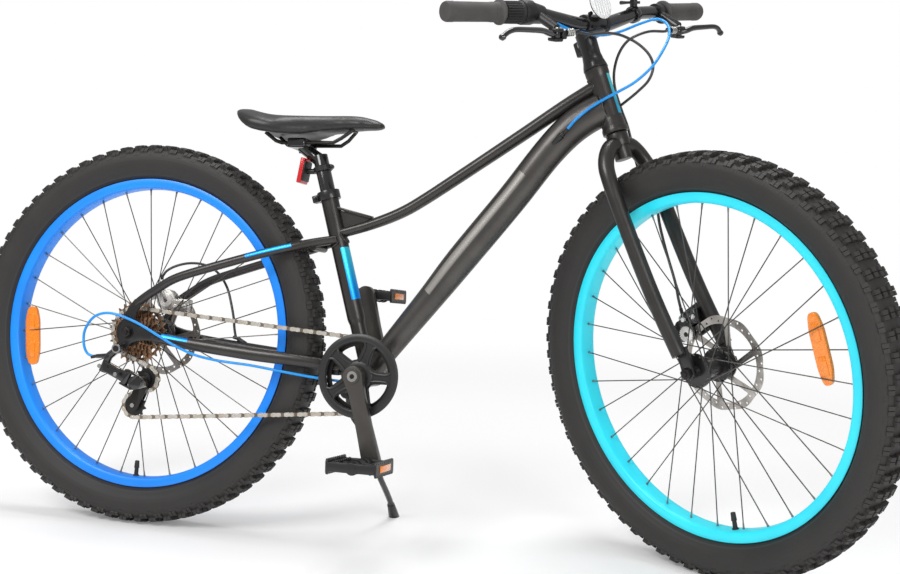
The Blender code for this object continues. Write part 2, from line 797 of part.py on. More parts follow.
def pulley():
    """A small toothed pulley in its own frame."""
    outline = []
    for i in range(2 * PULLEY_TEETH):
        angle = math.pi * i / PULLEY_TEETH
        reach = PULLEY_RADIUS - (0.0014 if i % 2 else 0.0042)
        outline.append((reach * math.cos(angle), reach * math.sin(angle)))
    return plate(outline, 0.003, 0.0, [circle((0.0, 0.0), 0.0026 + RUNNING_GAP, 10)])


def derailleur_cage():
    """Two cage plates, the bolts that the pulleys turn on, and the pivot in the knuckle."""
    guide = (GUIDE_PULLEY.x, GUIDE_PULLEY.z)
    tension = (TENSION_PULLEY.x, TENSION_PULLEY.z)
    side = 0.0080
    pieces = [
        plate(capsule(guide, tension, 0.0115), 0.0016, -CHAIN_LINE - side),
        plate(capsule(guide, tension, 0.0085), 0.0016, -CHAIN_LINE + side),
    ]
    for centre in (guide, tension):
        outer = (centre[0], -CHAIN_LINE - side - 0.0012, centre[1])
        inner = (centre[0], -CHAIN_LINE + side + 0.0012, centre[1])
        pieces.append(rod(outer, inner, 0.0026, sides=10))
    start = Vector((KNUCKLE.x, -CHAIN_LINE - side, KNUCKLE.z))
    pieces.append(rod(start, start - LEFT * 0.0065, 0.0050, sides=12))
    return fused(*pieces)


def link_direction():
    """Unit vectors along the derailleur's link and along its pivot pins."""
    run = Vector((KNUCKLE.x - LINK_START.x, 0.0, KNUCKLE.z - LINK_START.z)).normalized()
    return run, Vector((-run.z, 0.0, run.x))


def link_end():
    """The centre of the link's lower pin, just behind the knuckle."""
    run, _ = link_direction()
    return Vector((KNUCKLE.x, LINK_START.y, KNUCKLE.z)) - run * LINK_PIN_TO_KNUCKLE


def derailleur_knuckle():
    """The lower knuckle that carries the cage, with two ears and the pin that the link turns on."""
    run, pin = link_direction()
    turn = math.atan2(-run.z, run.x)
    start = Vector((KNUCKLE.x, -CHAIN_LINE - 0.0148, KNUCKLE.z))
    heart = Vector((KNUCKLE.x, LINK_START.y, KNUCKLE.z))
    reach = LINK_EYE_HALF + GAP + EAR_THICKNESS / 2
    length = LINK_PIN_TO_KNUCKLE + 0.0065
    ears = [
        block(heart - run * (length / 2) + pin * side * reach, (length, 0.012, EAR_THICKNESS), turn)
        for side in (-1, 1)
    ]
    centre = link_end()
    pivot = rod(centre - pin * reach, centre + pin * reach, LINK_PIN_RADIUS, sides=10)
    return fused(rod(start, start - LEFT * 0.0275, 0.0125, sides=14), *ears, pivot)


def derailleur_link():
    """The parallelogram's link, with an eye at each end."""
    run, pin = link_direction()
    centre = link_end()
    length = (centre - LINK_START).length
    turn = math.atan2(-run.z, run.x)
    beam = block((LINK_START + centre) / 2, (length, 0.013, 0.019), turn, rounding=0.002)
    eyes = [
        rod(place - pin * LINK_EYE_HALF, place + pin * LINK_EYE_HALF, 0.0068)
        for place in (LINK_START, centre)
    ]
    bore = rod(centre - pin * 0.02, centre + pin * 0.02, LINK_PIN_RADIUS + RUNNING_GAP, sides=10)
    return cut(fused(beam, *eyes), bore)


def gear_cable_stop():
    """The end of the derailleur's cable stop and the way it points."""
    pin = link_direction()[1]
    end = LINK_START + Vector((-0.0165, -0.0030, 0.0165))
    return end, (end - (LINK_START + pin * 0.0200)).normalized()


def derailleur_body():
    """The upper knuckle on its hanger bolt, the link's seat and the cable stop."""
    pin = link_direction()[1]
    seat = LINK_START + pin * (LINK_EYE_HALF + GAP)
    face = -(REAR_HUB_WIDTH / 2 + DROPOUT_THICKNESS + GAP)
    bolt = Vector((HANGER_BOLT.x, face, HANGER_BOLT.z))
    outer = bolt - LEFT * 0.017
    stop_end, _ = gear_cable_stop()
    return fused(
        rod(bolt, outer, 0.0095, sides=14),
        rod(seat, seat + pin * 0.0105, 0.0072),
        rod(outer + LEFT * 0.008, seat + pin * 0.0085, 0.0070, sides=10),
        rod(seat + pin * 0.0085, stop_end, 0.0050, 0.0038, sides=10),
    )


def head_tube():
    """The head tube with the lower headset cup, bored for the steerer."""
    bore = STEERER_RADIUS + RUNNING_GAP
    waist = HEAD_TUBE_RADIUS - 0.0012
    profile = [
        (bore, CUP_START),
        (LOWER_CUP_RADIUS, CUP_START),
        (LOWER_CUP_RADIUS, HEAD_START),
        (HEAD_TUBE_RADIUS, HEAD_START + 0.0005),
        (HEAD_TUBE_RADIUS, HEAD_START + 0.010),
        (waist, HEAD_START + 0.014),
        (waist, HEAD_END - 0.014),
        (HEAD_TUBE_RADIUS, HEAD_END - 0.010),
        (HEAD_TUBE_RADIUS, HEAD_END),
        (bore, HEAD_END),
    ]
    return turned(profile, STEER_FOOT, STEER_UP)


def head_cutter():
    """What the tubes welded to the head tube are notched by."""
    return rod(steering(CUP_START), steering(HEAD_END), HEAD_TUBE_RADIUS + GAP, sides=20)


def seat_tube_cutter():
    """What the tubes welded to the seat tube are notched by."""
    return rod(up_seat_tube(0.0), up_seat_tube(SEAT_TUBE_LENGTH), SEAT_TUBE_RADIUS + GAP, sides=20)


def bracket_cutter():
    """What the tubes welded to the bottom bracket shell are notched by."""
    reach = LEFT * BRACKET_WIDTH
    return rod(BRACKET - reach, BRACKET + reach, BRACKET_RADIUS + GAP, sides=20)


def top_tube_shape(grow=0.0):
    """The curved top tube's outside, or its bore when it grows by less than nothing."""
    rows = [
        (0.0, -0.0010, 0.0),
        (0.119, -0.0161, 0.0),
        (0.226, -0.0245, 0.0),
        (0.326, -0.0245, 0.0),
        (0.521, -0.0175, 0.0),
        (0.716, -0.0098, 0.0),
        (0.875, -0.0030, 0.0),
        (1.0, 0.0, 0.0),
    ]
    radii = [0.0093, 0.0095, 0.0098, 0.0101, 0.0105, 0.0110, 0.0114, 0.0116]
    line = bowed(up_seat_tube(TOP_TUBE_HEIGHT), steering(HEAD_START + TOP_TUBE_AT_HEAD), rows)
    return tube(line, [radius + grow for radius in radii], 4, TOP_TUBE_FLATTEN)


def top_tube():
    """The hollow top tube with the gusset that braces the seat tube above it."""
    foot = up_seat_tube(TOP_TUBE_HEIGHT + 0.0431, -0.004)
    tip = up_seat_tube(TOP_TUBE_HEIGHT + 0.0116, -GUSSET_REACH)
    low = up_seat_tube(TOP_TUBE_HEIGHT - 0.0044, -GUSSET_REACH)
    heel = up_seat_tube(TOP_TUBE_HEIGHT - 0.0044, -0.004)
    web = plate([(p.x, p.z) for p in (foot, tip, low, heel)], 0.005)
    slope = (tip - foot).normalized()
    strip = block(
        (foot + tip) / 2, ((tip - foot).length, 0.016, 0.005), math.atan2(-slope.z, slope.x)
    )
    body = fused(top_tube_shape(), web, strip)
    return cut(body, top_tube_shape(-TUBE_WALL), head_cutter(), seat_tube_cutter())


def down_tube_shape(grow=0.0):
    """The large curved down tube's outside, or its bore."""
    rows = [
        (0.0, 0.0, 0.0),
        (0.095, 0.0050, 0.0),
        (0.279, 0.0099, 0.0),
        (0.423, 0.0150, 0.0),
        (0.639, 0.0200, 0.0),
        (0.781, 0.0262, 0.0),
        (0.865, 0.0262, 0.0),
        (0.928, 0.0204, 0.0),
        (1.0, 0.0060, 0.0),
    ]
    radii = [0.0195, 0.0205, 0.0235, 0.0265, 0.0268, 0.0270, 0.0280, 0.0290, 0.0290]
    line = bowed(BRACKET, steering(HEAD_START + DOWN_TUBE_AT_HEAD), rows)
    return tube(line, [radius + grow for radius in radii], 4, DOWN_TUBE_FLATTEN)


def cable_port(side):
    """The end of a cable boss on the down tube, and the way the boss runs into the tube."""
    spot = steering(HEAD_START + 0.0130, -0.0805, side * 0.0275)
    return spot, Vector((-0.0190, -side * 0.0085, -0.0175))


def down_tube():
    """The hollow down tube with a cable boss on each side."""
    bosses = []
    for side in (-1, 1):
        spot, way = cable_port(side)
        bosses.append(rod(spot, spot + way, 0.0042, 0.0050, sides=10))
    body = fused(down_tube_shape(), *bosses)
    swage = rod(BRACKET, up_seat_tube(SWAGE_LENGTH), SWAGE_RADIUS + GAP, sides=16)
    return cut(
        body,
        down_tube_shape(-TUBE_WALL),
        head_cutter(),
        top_tube_shape(GAP),
        bracket_cutter(),
        swage,
    )


def seat_tube():
    """The seat tube, swaged at its foot, on the bottom bracket shell that the spindle turns in."""
    inner = SEAT_TUBE_RADIUS - SEAT_TUBE_WALL
    profile = [
        (0.0, 0.0),
        (SWAGE_RADIUS, 0.0),
        (SWAGE_RADIUS, SWAGE_LENGTH),
        (SEAT_TUBE_RADIUS, SWAGE_LENGTH + 0.016),
        (SEAT_TUBE_RADIUS, SEAT_TUBE_LENGTH),
        (inner, SEAT_TUBE_LENGTH),
        (inner, SWAGE_LENGTH + 0.020),
        (0.0, SWAGE_LENGTH + 0.020),
    ]
    tall = turned(profile, BRACKET, SEAT_UP, sides=16)
    half = BRACKET_WIDTH / 2
    shell = rod(BRACKET - LEFT * half, BRACKET + LEFT * half, BRACKET_RADIUS, sides=20)
    bearing = SPINDLE_RADIUS + RUNNING_GAP
    spindle_bore = rod(BRACKET - LEFT * half * 1.2, BRACKET + LEFT * half * 1.2, bearing)
    hollow = rod(
        BRACKET - LEFT * (half - 0.012),
        BRACKET + LEFT * (half - 0.012),
        BRACKET_RADIUS - BRACKET_WALL,
        sides=16,
    )
    return cut(fused(shell, tall), spindle_bore, hollow)


def chain_stay_shape(side, grow=0.0):
    """One chain stay's tube, from its dropout to the bottom bracket."""
    half = side * REAR_HUB_WIDTH / 2
    rows = [
        (0.108, -0.0008, 0.985 * half, 0.84),
        (0.160, -0.0009, 0.960 * half, 0.88),
        (0.272, -0.0011, 0.912 * half, 0.95),
        (0.533, 0.0017, 0.824 * half, 1.0),
        (0.678, 0.0050, 0.735 * half, 1.0),
        (0.768, 0.0063, 0.632 * half, 0.96),
        (0.852, 0.0072, 0.470 * half, 0.90),
        (0.960, 0.0060, 0.350 * half, 0.86),
    ]
    line = bowed(REAR_AXLE, BRACKET, [row[:3] for row in rows])
    radii = [CHAIN_STAY_HALF_HEIGHT * 1.08 * row[3] + grow for row in rows]
    return tube(line, radii, 3, CHAIN_STAY_FLATTEN)


def seat_stay_shape(side, grow=0.0):
    """One seat stay's tube, from its dropout up to the seat tube."""
    half = side * REAR_HUB_WIDTH / 2
    rows = [
        (0.079, 0.0418, 0.985 * half),
        (0.135, 0.0465, 0.985 * half),
        (0.194, 0.0496, 0.978 * half),
        (0.303, 0.0529, 0.963 * half),
        (0.500, 0.0415, 0.870 * half),
        (0.700, 0.0277, 0.765 * half),
        (0.829, 0.0175, 0.618 * half),
        (0.915, 0.0105, 0.420 * half),
        (1.0, 0.0020, 0.190 * half),
    ]
    line = bowed(REAR_AXLE, up_seat_tube(STAY_HEIGHT), rows)
    return tube(line, STAY_RADIUS + grow, 2)


def dropout(side):
    """The plate that holds one end of the rear axle; the right one carries the gear hanger."""
    outline = [(0.064, 0.0045), (0.064, -0.0125), (0.024, -0.0140), (0.008, -0.0190)]
    if side < 0:
        hanger = (HANGER_BOLT.x, HANGER_BOLT.z - TYRE_RADIUS)
        outline += circle(hanger, 0.0100, 7, 0.2, -1.25 * math.pi)
    else:
        outline += [(-0.004, -0.0200), (-0.0130, -0.0160)]
    outline += [
        (-0.0165, -0.0060),
        (-0.0150, 0.0090),
        (-0.0095, 0.0260),
        (-0.0020, 0.0440),
        (0.0120, 0.0620),
        (0.0240, 0.0520),
        (0.0140, 0.0340),
        (0.0125, 0.0190),
        (0.0220, 0.0100),
    ]
    outline = [(REAR_AXLE.x + x, REAR_AXLE.z + z) for x, z in outline]
    hole = circle((REAR_AXLE.x, REAR_AXLE.z), AXLE_RADIUS + GAP, 12)
    place = side * (REAR_HUB_WIDTH + DROPOUT_THICKNESS) / 2
    return plate(outline, DROPOUT_THICKNESS, place, [hole])


def brake_port():
    """The rear brake cable's way out of the left chain stay, and the boss's direction."""
    spot = REAR_AXLE.lerp(BRACKET, 0.352) + Vector((0.0, 0.0605, 0.0150))
    return spot, Vector((0.0160, -0.0005, -0.0095))


def chain_stay(side):
    """One chain stay with its dropout, notched round the bottom bracket and the seat stay."""
    pieces = [chain_stay_shape(side), dropout(side)]
    if side > 0:
        spot, way = brake_port()
        pieces.append(rod(spot, spot + way, 0.0040, 0.0048, sides=10))
    return cut(fused(*pieces), bracket_cutter(), seat_stay_shape(side, GAP))


def seat_stays():
    """Both seat stays and the bridge between them, notched round the seat tube."""
    bridge = REAR_AXLE.lerp(up_seat_tube(STAY_HEIGHT), 0.915) + Vector((-0.007, 0.0, 0.002))
    reach = LEFT * (0.40 * REAR_HUB_WIDTH / 2)
    tie = rod(bridge - reach, bridge + reach, BRIDGE_RADIUS, sides=10)
    body = fused(tie, seat_stay_shape(-1), seat_stay_shape(1))
    return cut(body, seat_tube_cutter(), top_tube_shape(GAP))


def seat_collar():
    """The clamp round the top of the seat tube, with its bolt behind."""
    start = SEAT_TUBE_LENGTH - COLLAR_LENGTH + 0.0035
    inner = SEAT_TUBE_RADIUS + GAP
    throat = POST_RADIUS + GAP
    lip = SEAT_TUBE_LENGTH + GAP
    profile = [
        (inner, start),
        (COLLAR_RADIUS, start),
        (COLLAR_RADIUS, start + COLLAR_LENGTH),
        (throat, start + COLLAR_LENGTH),
        (throat, lip),
        (inner, lip),
    ]
    ring = turned(profile, BRACKET, SEAT_UP)
    middle = up_seat_tube(start + COLLAR_LENGTH / 2, COLLAR_RADIUS + 0.004)
    tilt = math.pi / 2 - SEAT_ANGLE
    ears = block(middle, (0.011, 0.016, COLLAR_LENGTH - 0.003), -tilt, rounding=0.001)
    bolt = rod(middle - LEFT * 0.0125, middle + LEFT * 0.0125, 0.0033, sides=10)
    return fused(ring, ears, bolt)


def stand_places():
    """The side stand's pivot and the direction of its fold axis."""
    return BRACKET + Vector(STAND_PIVOT), Vector(STAND_AXIS).normalized()


def kickstand_mount():
    """The plate clamped under the chain stays, with the stand's boss and pin on its left."""
    pivot, way = stand_places()
    base = block(
        BRACKET + Vector((-0.0600, 0.0, 0.0035)), (0.036, 0.076, 0.011), rounding=0.0015
    )
    neck = rod(
        pivot - way * 0.009, BRACKET + Vector((-0.0560, 0.0300, 0.0010)), 0.0080, 0.0085, sides=12
    )
    boss = rod(pivot - way * 0.015, pivot, 0.0115, sides=14)
    pin = rod(pivot - way * 0.01, pivot + way * 0.0115, 0.0040, sides=10)
    body = fused(base, neck, boss, pin)
    return cut(body, chain_stay_shape(-1, GAP), chain_stay_shape(1, GAP), bracket_cutter())


def kickstand(ground):
    """The stand's leg from its pivot eye to a flared foot cut flat on the ground."""
    pivot, way = stand_places()
    head = rod(pivot + way * GAP, pivot + way * 0.0105, 0.0115, sides=14)
    top = pivot + way * 0.0070
    route = [
        top,
        BRACKET + Vector((-0.0550, 0.0545, -0.0600)),
        BRACKET + Vector((-0.0430, 0.0545, -0.0840)),
        BRACKET + Vector((-0.0230, 0.0560, -0.1080)),
        BRACKET + Vector((-0.0070, 0.0600, -0.1440)),
        BRACKET + Vector((0.0000, 0.0760, -0.1780)),
        BRACKET + Vector((0.0020, 0.1080, -0.2070)),
        BRACKET + Vector((0.0025, 0.1480, -0.2390)),
        BRACKET + Vector((0.0010, 0.1900, -0.2830)),
    ]
    leg = tube(smooth_route(route, 2), STAND_RADIUS, 2)
    foot_way = (route[-1] - route[-2]).normalized()
    boot = rod(
        route[-1] - foot_way * 0.050, route[-1] - foot_way * 0.004, 0.0070, STAND_BOOT_RADIUS
    )
    bore = rod(pivot - way * 0.01, pivot + way * 0.02, 0.0040 + RUNNING_GAP, sides=10)
    return cut(fused(head, leg, boot), bore, ground)


def caliper(centre, inner, outer, mount, stop):
    """A brake caliper: a barrel across the rotor, a mounting lug and a cable stop."""
    barrel = rod((centre[0], inner, centre[1]), (centre[0], outer, centre[1]), 0.0195, sides=14)
    return fused(barrel, block(*mount, rounding=0.002), rod(*stop, 0.0052, 0.0040, sides=10))


def rotor_slot(place, reach=0.0015, room=0.0013):
    """The slot that a rotor at the origin turns in."""
    half = ROTOR_THICKNESS / 2 + room
    return rod((0, place - half, 0), (0, place + half, 0), ROTOR_RADIUS + reach, sides=36)


def caliper_arm(start, end, width=0.0055):
    """The short lever that the brake cable pulls."""
    start, end = Vector(start), Vector(end)
    outline = capsule((start.x, start.z), (end.x, end.z), width, 5)
    return plate(outline, 0.0032, start.y)


def bar_point(y):
    """The handlebar's centre at this distance to the left, in the steering frame."""
    half = BAR_WIDTH / 2
    rise = min(max((abs(y) - BAR_FLAT) / (BAR_BEND - BAR_FLAT), 0.0), 1.0)
    sweep = max((abs(y) - BAR_BEND) / (half - BAR_BEND), 0.0)
    return Vector(
        (
            STEM_REACH - BAR_BACKSWEEP * sweep,
            y,
            BAR_HEIGHT + BAR_RISE * rise + BAR_UPSWEEP * sweep,
        )
    )


def bar_shape(grow=0.0, reach=0.0):
    """The bent handlebar, thick at the clamp, its ends lengthened by the reach."""
    half = BAR_WIDTH / 2
    places = [half + reach, BAR_BEND, (BAR_BEND + BAR_FLAT) / 2, BAR_FLAT]
    thick = [BAR_RADIUS, BAR_RADIUS, (BAR_RADIUS + BAR_CLAMP_RADIUS) / 2, BAR_CLAMP_RADIUS]
    line = [bar_point(-y) for y in places] + [bar_point(y) for y in reversed(places)]
    radii = [radius + grow for radius in thick + thick[::-1]]
    return tube(line, radii, 4)


def on_bar(start, end, radius, end_radius=None, sides=16):
    """A sleeve on the handlebar between two distances to the left."""
    return rod(bar_point(start), bar_point(end), radius, end_radius, sides)


def grip(side):
    """A rubber grip, flanged at its inner end and closed at its outer end."""
    outer = side * (BAR_WIDTH / 2 + 0.0035)
    inner = side * (BAR_WIDTH / 2 - GRIP_LENGTH)
    sleeve = on_bar(outer, inner, GRIP_RADIUS)
    flange = on_bar(inner + side * 0.005, inner, GRIP_FLANGE_RADIUS)
    return cut(fused(sleeve, flange), bar_shape(GAP, GAP))


def shift_grip_span():
    """Where the twist grip starts and ends, as distances to the left."""
    outer = -(BAR_WIDTH / 2 - GRIP_LENGTH) + GAP
    return outer, outer + SHIFT_GRIP_LENGTH


def shift_grip():
    """The ribbed twist grip between the rubber grip and the shifter's housing."""
    outer, inner = shift_grip_span()
    sleeve = on_bar(outer, inner, SHIFT_GRIP_RADIUS - 0.0010, SHIFT_GRIP_RADIUS, sides=18)
    return cut(sleeve, bar_shape(RUNNING_GAP))


def lever_pivot(side):
    """Where a brake lever's pin stands, in the steering frame."""
    inner = shift_grip_span()[1] + GAP
    place = -inner - 0.030 if side < 0 else BAR_WIDTH / 2 - GRIP_LENGTH - 0.014
    root = bar_point(side * place)
    return root + Vector((0.030, 0.0, -0.0520))


def lever_reach(side):
    """How far a brake blade reaches: the left one has only two fingers' room."""
    return LEVER_LENGTH if side < 0 else 0.62 * LEVER_LENGTH


def lever_pin():
    """The way a brake lever's pin points: it leans forward from the steering axis."""
    return Vector((math.sin(LEVER_TILT), 0.0, math.cos(LEVER_TILT)))


def perch(side):
    """A brake lever's bracket: a clamp on the bar, two ears with a pin, and the cable adjuster."""
    pivot = lever_pivot(side)
    pin_way = lever_pin()
    clamp = on_bar(pivot.y - 0.009, pivot.y + 0.009, 0.0155)
    arm = rod(bar_point(pivot.y), pivot + pin_way * 0.010, 0.0085, 0.0075, sides=10)
    ears = block(pivot, (0.020, 0.019, 0.021), LEVER_TILT, rounding=0.002)
    slot = block(pivot + LEFT * side * 0.002, (0.05, 0.04, 0.0106), LEVER_TILT)
    pin = rod(pivot - pin_way * 0.008, pivot + pin_way * 0.008, PIVOT_PIN_RADIUS)
    cheek_centre = pivot - LEFT * side * 0.0140
    cheek = block(cheek_centre, (0.016, 0.012, 0.0135), LEVER_TILT, rounding=0.002)
    adjuster = rod(adjuster_place(side, -0.016), adjuster_place(side, 0.0), 0.0048, sides=10)
    body = cut(fused(ears, arm), slot)
    return fused(body, pin, clamp, cheek, adjuster)


def adjuster_place(side, beyond=CABLE_END_GAP):
    """A point on a brake lever's cable adjuster, this far beyond its end."""
    end = lever_pivot(side) + Vector((0.0100, -side * 0.032, -0.0005))
    return end + Vector((0.124, -side * 0.992, 0.0)) * beyond


def brake_lever(side):
    """A brake blade from its pivot eye to a ball at the tip."""
    pivot = lever_pivot(side)
    pin_way = lever_pin()
    reach = lever_reach(side) * side
    rows = (
        (0.0, 0.0, 0.0, 0.0046),
        (0.14, 0.0060, -0.0035, 0.0046),
        (0.30, 0.0130, 0.0010, 0.0050),
        (0.55, 0.0200, 0.0060, 0.0050),
        (0.78, 0.0260, 0.0040, 0.0047),
        (0.96, 0.0240, -0.0050, 0.0045),
        (1.0, 0.0225, -0.0075, 0.0052),
    )
    line = [pivot + Vector((u, along * reach, w)) for along, u, w, _ in rows]
    blade = tube(line, [row[3] for row in rows], 2)
    eye = rod(pivot - pin_way * 0.005, pivot + pin_way * 0.005, 0.0075)
    bore = rod(pivot - pin_way * 0.01, pivot + pin_way * 0.01, PIVOT_PIN_RADIUS + RUNNING_GAP)
    room = block(pivot, (0.030, 0.030, 0.040), LEVER_TILT)
    slab = block(pivot, (0.050, 0.050, 0.0100), LEVER_TILT)
    return cut(fused(eye, blade), cut(room, slab), bore)


def shifter_housing():
    """The shifter's housing beside the twist grip, joined to the right brake lever's bracket."""
    start = shift_grip_span()[1] + GAP
    end = start + SHIFTER_LENGTH
    barrel = on_bar(start, start + 0.020, SHIFTER_RADIUS)
    nose = on_bar(start + 0.019, end - 0.002, SHIFTER_RADIUS - 0.002, 0.0150)
    outlet = rod(gear_cable_place(-0.014), gear_cable_place(0.0), 0.0060, 0.0042, sides=10)
    return cut(fused(perch(-1), barrel, nose, outlet), bar_shape(GAP))


def gear_cable_place(beyond=CABLE_END_GAP):
    """A point on the outlet of the shifter's housing, this far beyond its end."""
    end = shift_grip_span()[1] + GAP + SHIFTER_LENGTH
    way = Vector((-0.02, 0.93, -0.36))
    return bar_point(end) + Vector((0.0125, 0.0040, -0.0150)) + way * beyond


def lever_perch_left():
    """The left brake lever's bracket."""
    return cut(perch(1), bar_shape(GAP))


def bell_place():
    """The bell's post on the bar, the dome's centre and the way the dome faces."""
    root = bar_point(BELL_PLACE)
    way = Vector((0.42, 0.0, 0.91)).normalized()
    return root, root + way * 0.026, way


def bell():
    """A dome bell on a clamp band."""
    root, centre, way = bell_place()
    band = on_bar(BELL_PLACE - 0.006, BELL_PLACE + 0.006, 0.0150)
    post = rod(root, centre + way * 0.004, BELL_POST_RADIUS, sides=12)
    rim_radius = BELL_RADIUS
    profile = [
        (0.0, 0.0),
        (rim_radius * 0.92, 0.0),
        (rim_radius, 0.0020),
        (rim_radius * 0.93, 0.0090),
        (rim_radius * 0.62, 0.0150),
        (0.0, 0.0180),
    ]
    dome = turned(profile, centre, way, sides=16)
    return cut(fused(dome, post, band), bar_shape(GAP))


def striker_pivot():
    """Where the bell's striker ring turns, on the axis of the bell's post."""
    root, _, way = bell_place()
    return root + way * 0.0205


def bell_striker():
    """The thumb lever on a ring that turns round the bell's post."""
    pivot = striker_pivot()
    inner = BELL_POST_RADIUS + RUNNING_GAP
    profile = [(inner, -0.0022), (0.0115, -0.0022), (0.0115, 0.0022), (inner, 0.0022)]
    ring = turned(profile, pivot, bell_place()[2], sides=12)
    out = Vector((-0.910, -0.010, 0.420)).normalized()
    thumb = rod(pivot + out * 0.0100, pivot + out * 0.0300, 0.0020, 0.0035, sides=8)
    return fused(ring, thumb)


def front_reflector():
    """An oval reflector on an arm from a ring clamp on the bar."""
    centre = Vector((STEM_REACH + 0.0300, 0.0, BAR_HEIGHT + 0.0230))
    bm = bmesh.new()
    bmesh.ops.create_cone(
        bm,
        cap_ends=True,
        segments=20,
        radius1=0.0235,
        radius2=0.0215,
        depth=0.008,
        matrix=Matrix.Rotation(math.pi / 2, 4, "Y") @ Matrix.Diagonal((1.12, 1.0, 1.0, 1.0)),
    )
    tilt = Matrix.Rotation(math.radians(-12), 4, "Y")
    bmesh.ops.transform(bm, matrix=Matrix.Translation(centre) @ tilt, verts=bm.verts[:])
    lens = shape_from(bm)
    ring_place = BAR_FLAT * 0.75
    ring = on_bar(ring_place - 0.004, ring_place + 0.004, BAR_CLAMP_RADIUS + 0.0045)
    arm_start = bar_point(ring_place) + Vector((0.0160, 0.0, 0.0120))
    arm = rod(arm_start, centre + Vector((-0.003, 0.008, -0.006)), 0.0045, sides=10)
    return cut(fused(ring, arm, lens), bar_shape(GAP))


def handlebar():
    """The hollow handlebar."""
    return cut(bar_shape(), bar_shape(-BAR_WALL, 0.004))


def stem():
    """The stem with its cover over the headset: a column on the steerer and a clamp round the bar."""
    bore = STEERER_RADIUS + GAP
    profile = [
        (bore, HEAD_END + GAP),
        (0.0215, HEAD_END + GAP),
        (0.0205, HEAD_END + 0.006),
        (0.0175, COVER_END),
        (STEM_RADIUS + 0.0015, COVER_END + 0.0005),
        (STEM_RADIUS, COVER_END + 0.010),
        (STEM_RADIUS + 0.0010, COLUMN_END),
        (bore, COLUMN_END),
    ]
    column = turned(profile, (0, 0, 0), (0, 0, 1), sides=16)
    cap = rod((0, 0, STEERER_END - 0.002), (0, 0, COLUMN_END + 0.006), 0.0155, sides=16)
    half = 0.021
    clamp = rod(
        (STEM_REACH, -half, BAR_HEIGHT),
        (STEM_REACH, half, BAR_HEIGHT),
        BAR_CLAMP_RADIUS + 0.0042,
        sides=16,
    )
    bridge = block(
        (STEM_REACH * 0.55, 0.0, BAR_HEIGHT - 0.010), (0.020, 0.030, 0.022), rounding=0.002
    )
    lug = block((-STEM_RADIUS - 0.003, 0.0, COVER_END + 0.028), (0.012, 0.020, 0.026), rounding=0.002)
    steerer_room = rod((0, 0, COVER_END - 0.01), (0, 0, STEERER_END + GAP), bore, sides=16)
    return cut(fused(column, clamp, bridge, lug, cap), bar_shape(GAP), steerer_room)


def fork_leg(side):
    """One fork leg, sweeping out from the crown and forward to the axle."""
    spread = side * (FRONT_HUB_WIDTH / 2 + 0.009)
    rows = (
        (0.0, 0.14, CROWN_TOP - 0.0180, 1.00),
        (0.0, 0.50, CROWN_TOP - 0.0260, 1.00),
        (0.0, 0.80, CROWN_TOP - 0.0500, 1.00),
        (0.02, 0.93, CROWN_TOP - 0.0850, 0.97),
        (0.03, 0.965, 0.70 * TYRE_RADIUS, 0.90),
        (0.20, 0.98, 0.45 * TYRE_RADIUS, 0.83),
        (0.54, 0.99, 0.28 * TYRE_RADIUS, 0.76),
        (0.96, 1.0, 0.13 * TYRE_RADIUS, 0.68),
        (1.06, 1.0, 0.06 * TYRE_RADIUS, 0.66),
    )
    line = [(FORK_RAKE * ahead, spread * out, w) for ahead, out, w, _ in rows]
    return tube(line, [LEG_TOP_RADIUS * row[3] for row in rows], 2)


def fork_dropout(side):
    """The plate at the end of one fork leg."""
    place = side * (FRONT_HUB_WIDTH + DROPOUT_THICKNESS) / 2
    outline = circle((FORK_RAKE, 0.0), 0.0115, 9, -math.pi, math.pi)
    outline += [(FORK_RAKE + 0.0105, 0.12 * TYRE_RADIUS), (FORK_RAKE - 0.0095, 0.12 * TYRE_RADIUS)]
    return plate(outline, DROPOUT_THICKNESS, place)


def fork():
    """The rigid fork: steerer, crown, two legs, dropouts and the front brake's tab."""
    crown = rod((0, 0, CROWN_TOP - CROWN_LENGTH), (0, 0, CROWN_TOP), 0.0150, sides=16)
    steerer = rod((0, 0, CROWN_TOP - 0.01), (0, 0, STEERER_END), STEERER_RADIUS, sides=16)
    shoulder = rod((0, 0, CROWN_TOP - 0.024), (0, 0, CROWN_TOP - 0.0005), CROWN_RADIUS, sides=16)
    tab_place = FRONT_HUB_WIDTH / 2 + 0.0035
    tab = block((0.006, tab_place, 0.082), (0.034, 0.0055, 0.052), -0.25, rounding=0.001)
    body = fused(steerer, shoulder, crown, fork_leg(-1), fork_leg(1), tab)
    body = fused(body, fork_dropout(-1), fork_dropout(1))
    reach = FRONT_HUB_WIDTH
    hole = rod((FORK_RAKE, -reach, 0), (FORK_RAKE, reach, 0), AXLE_RADIUS + GAP, sides=12)
    half = FRONT_HUB_WIDTH / 2
    hub_room = rod((FORK_RAKE, -half, 0), (FORK_RAKE, half, 0), 0.03, sides=16)
    return cut(body, hole, hub_room)


def front_caliper():
    """The front brake caliper, behind the left leg on its tab."""
    inner = FRONT_ROTOR_PLACE - 0.0115
    outer = FRONT_HUB_WIDTH / 2 + 0.0035 - 0.00275 - GAP
    centre = (-0.012, 0.070)
    body = caliper(
        centre,
        inner,
        outer,
        ((0.004, (inner + outer) / 2 + 0.004, 0.088), (0.026, outer - inner - 0.008, 0.026)),
        ((-0.016, 0.043, 0.080), (-0.0185, 0.0445, 0.0985)),
    )
    slot = placed(rotor_slot(FRONT_ROTOR_PLACE), Matrix.Translation((FORK_RAKE, 0, 0)))
    return cut(body, slot)


def front_arm_pivot():
    """The front caliper arm's pivot on the barrel's outer face."""
    outer = FRONT_HUB_WIDTH / 2 + 0.0035 - 0.00275 - GAP
    return Vector((-0.0200, outer + GAP + 0.0016, 0.0680))


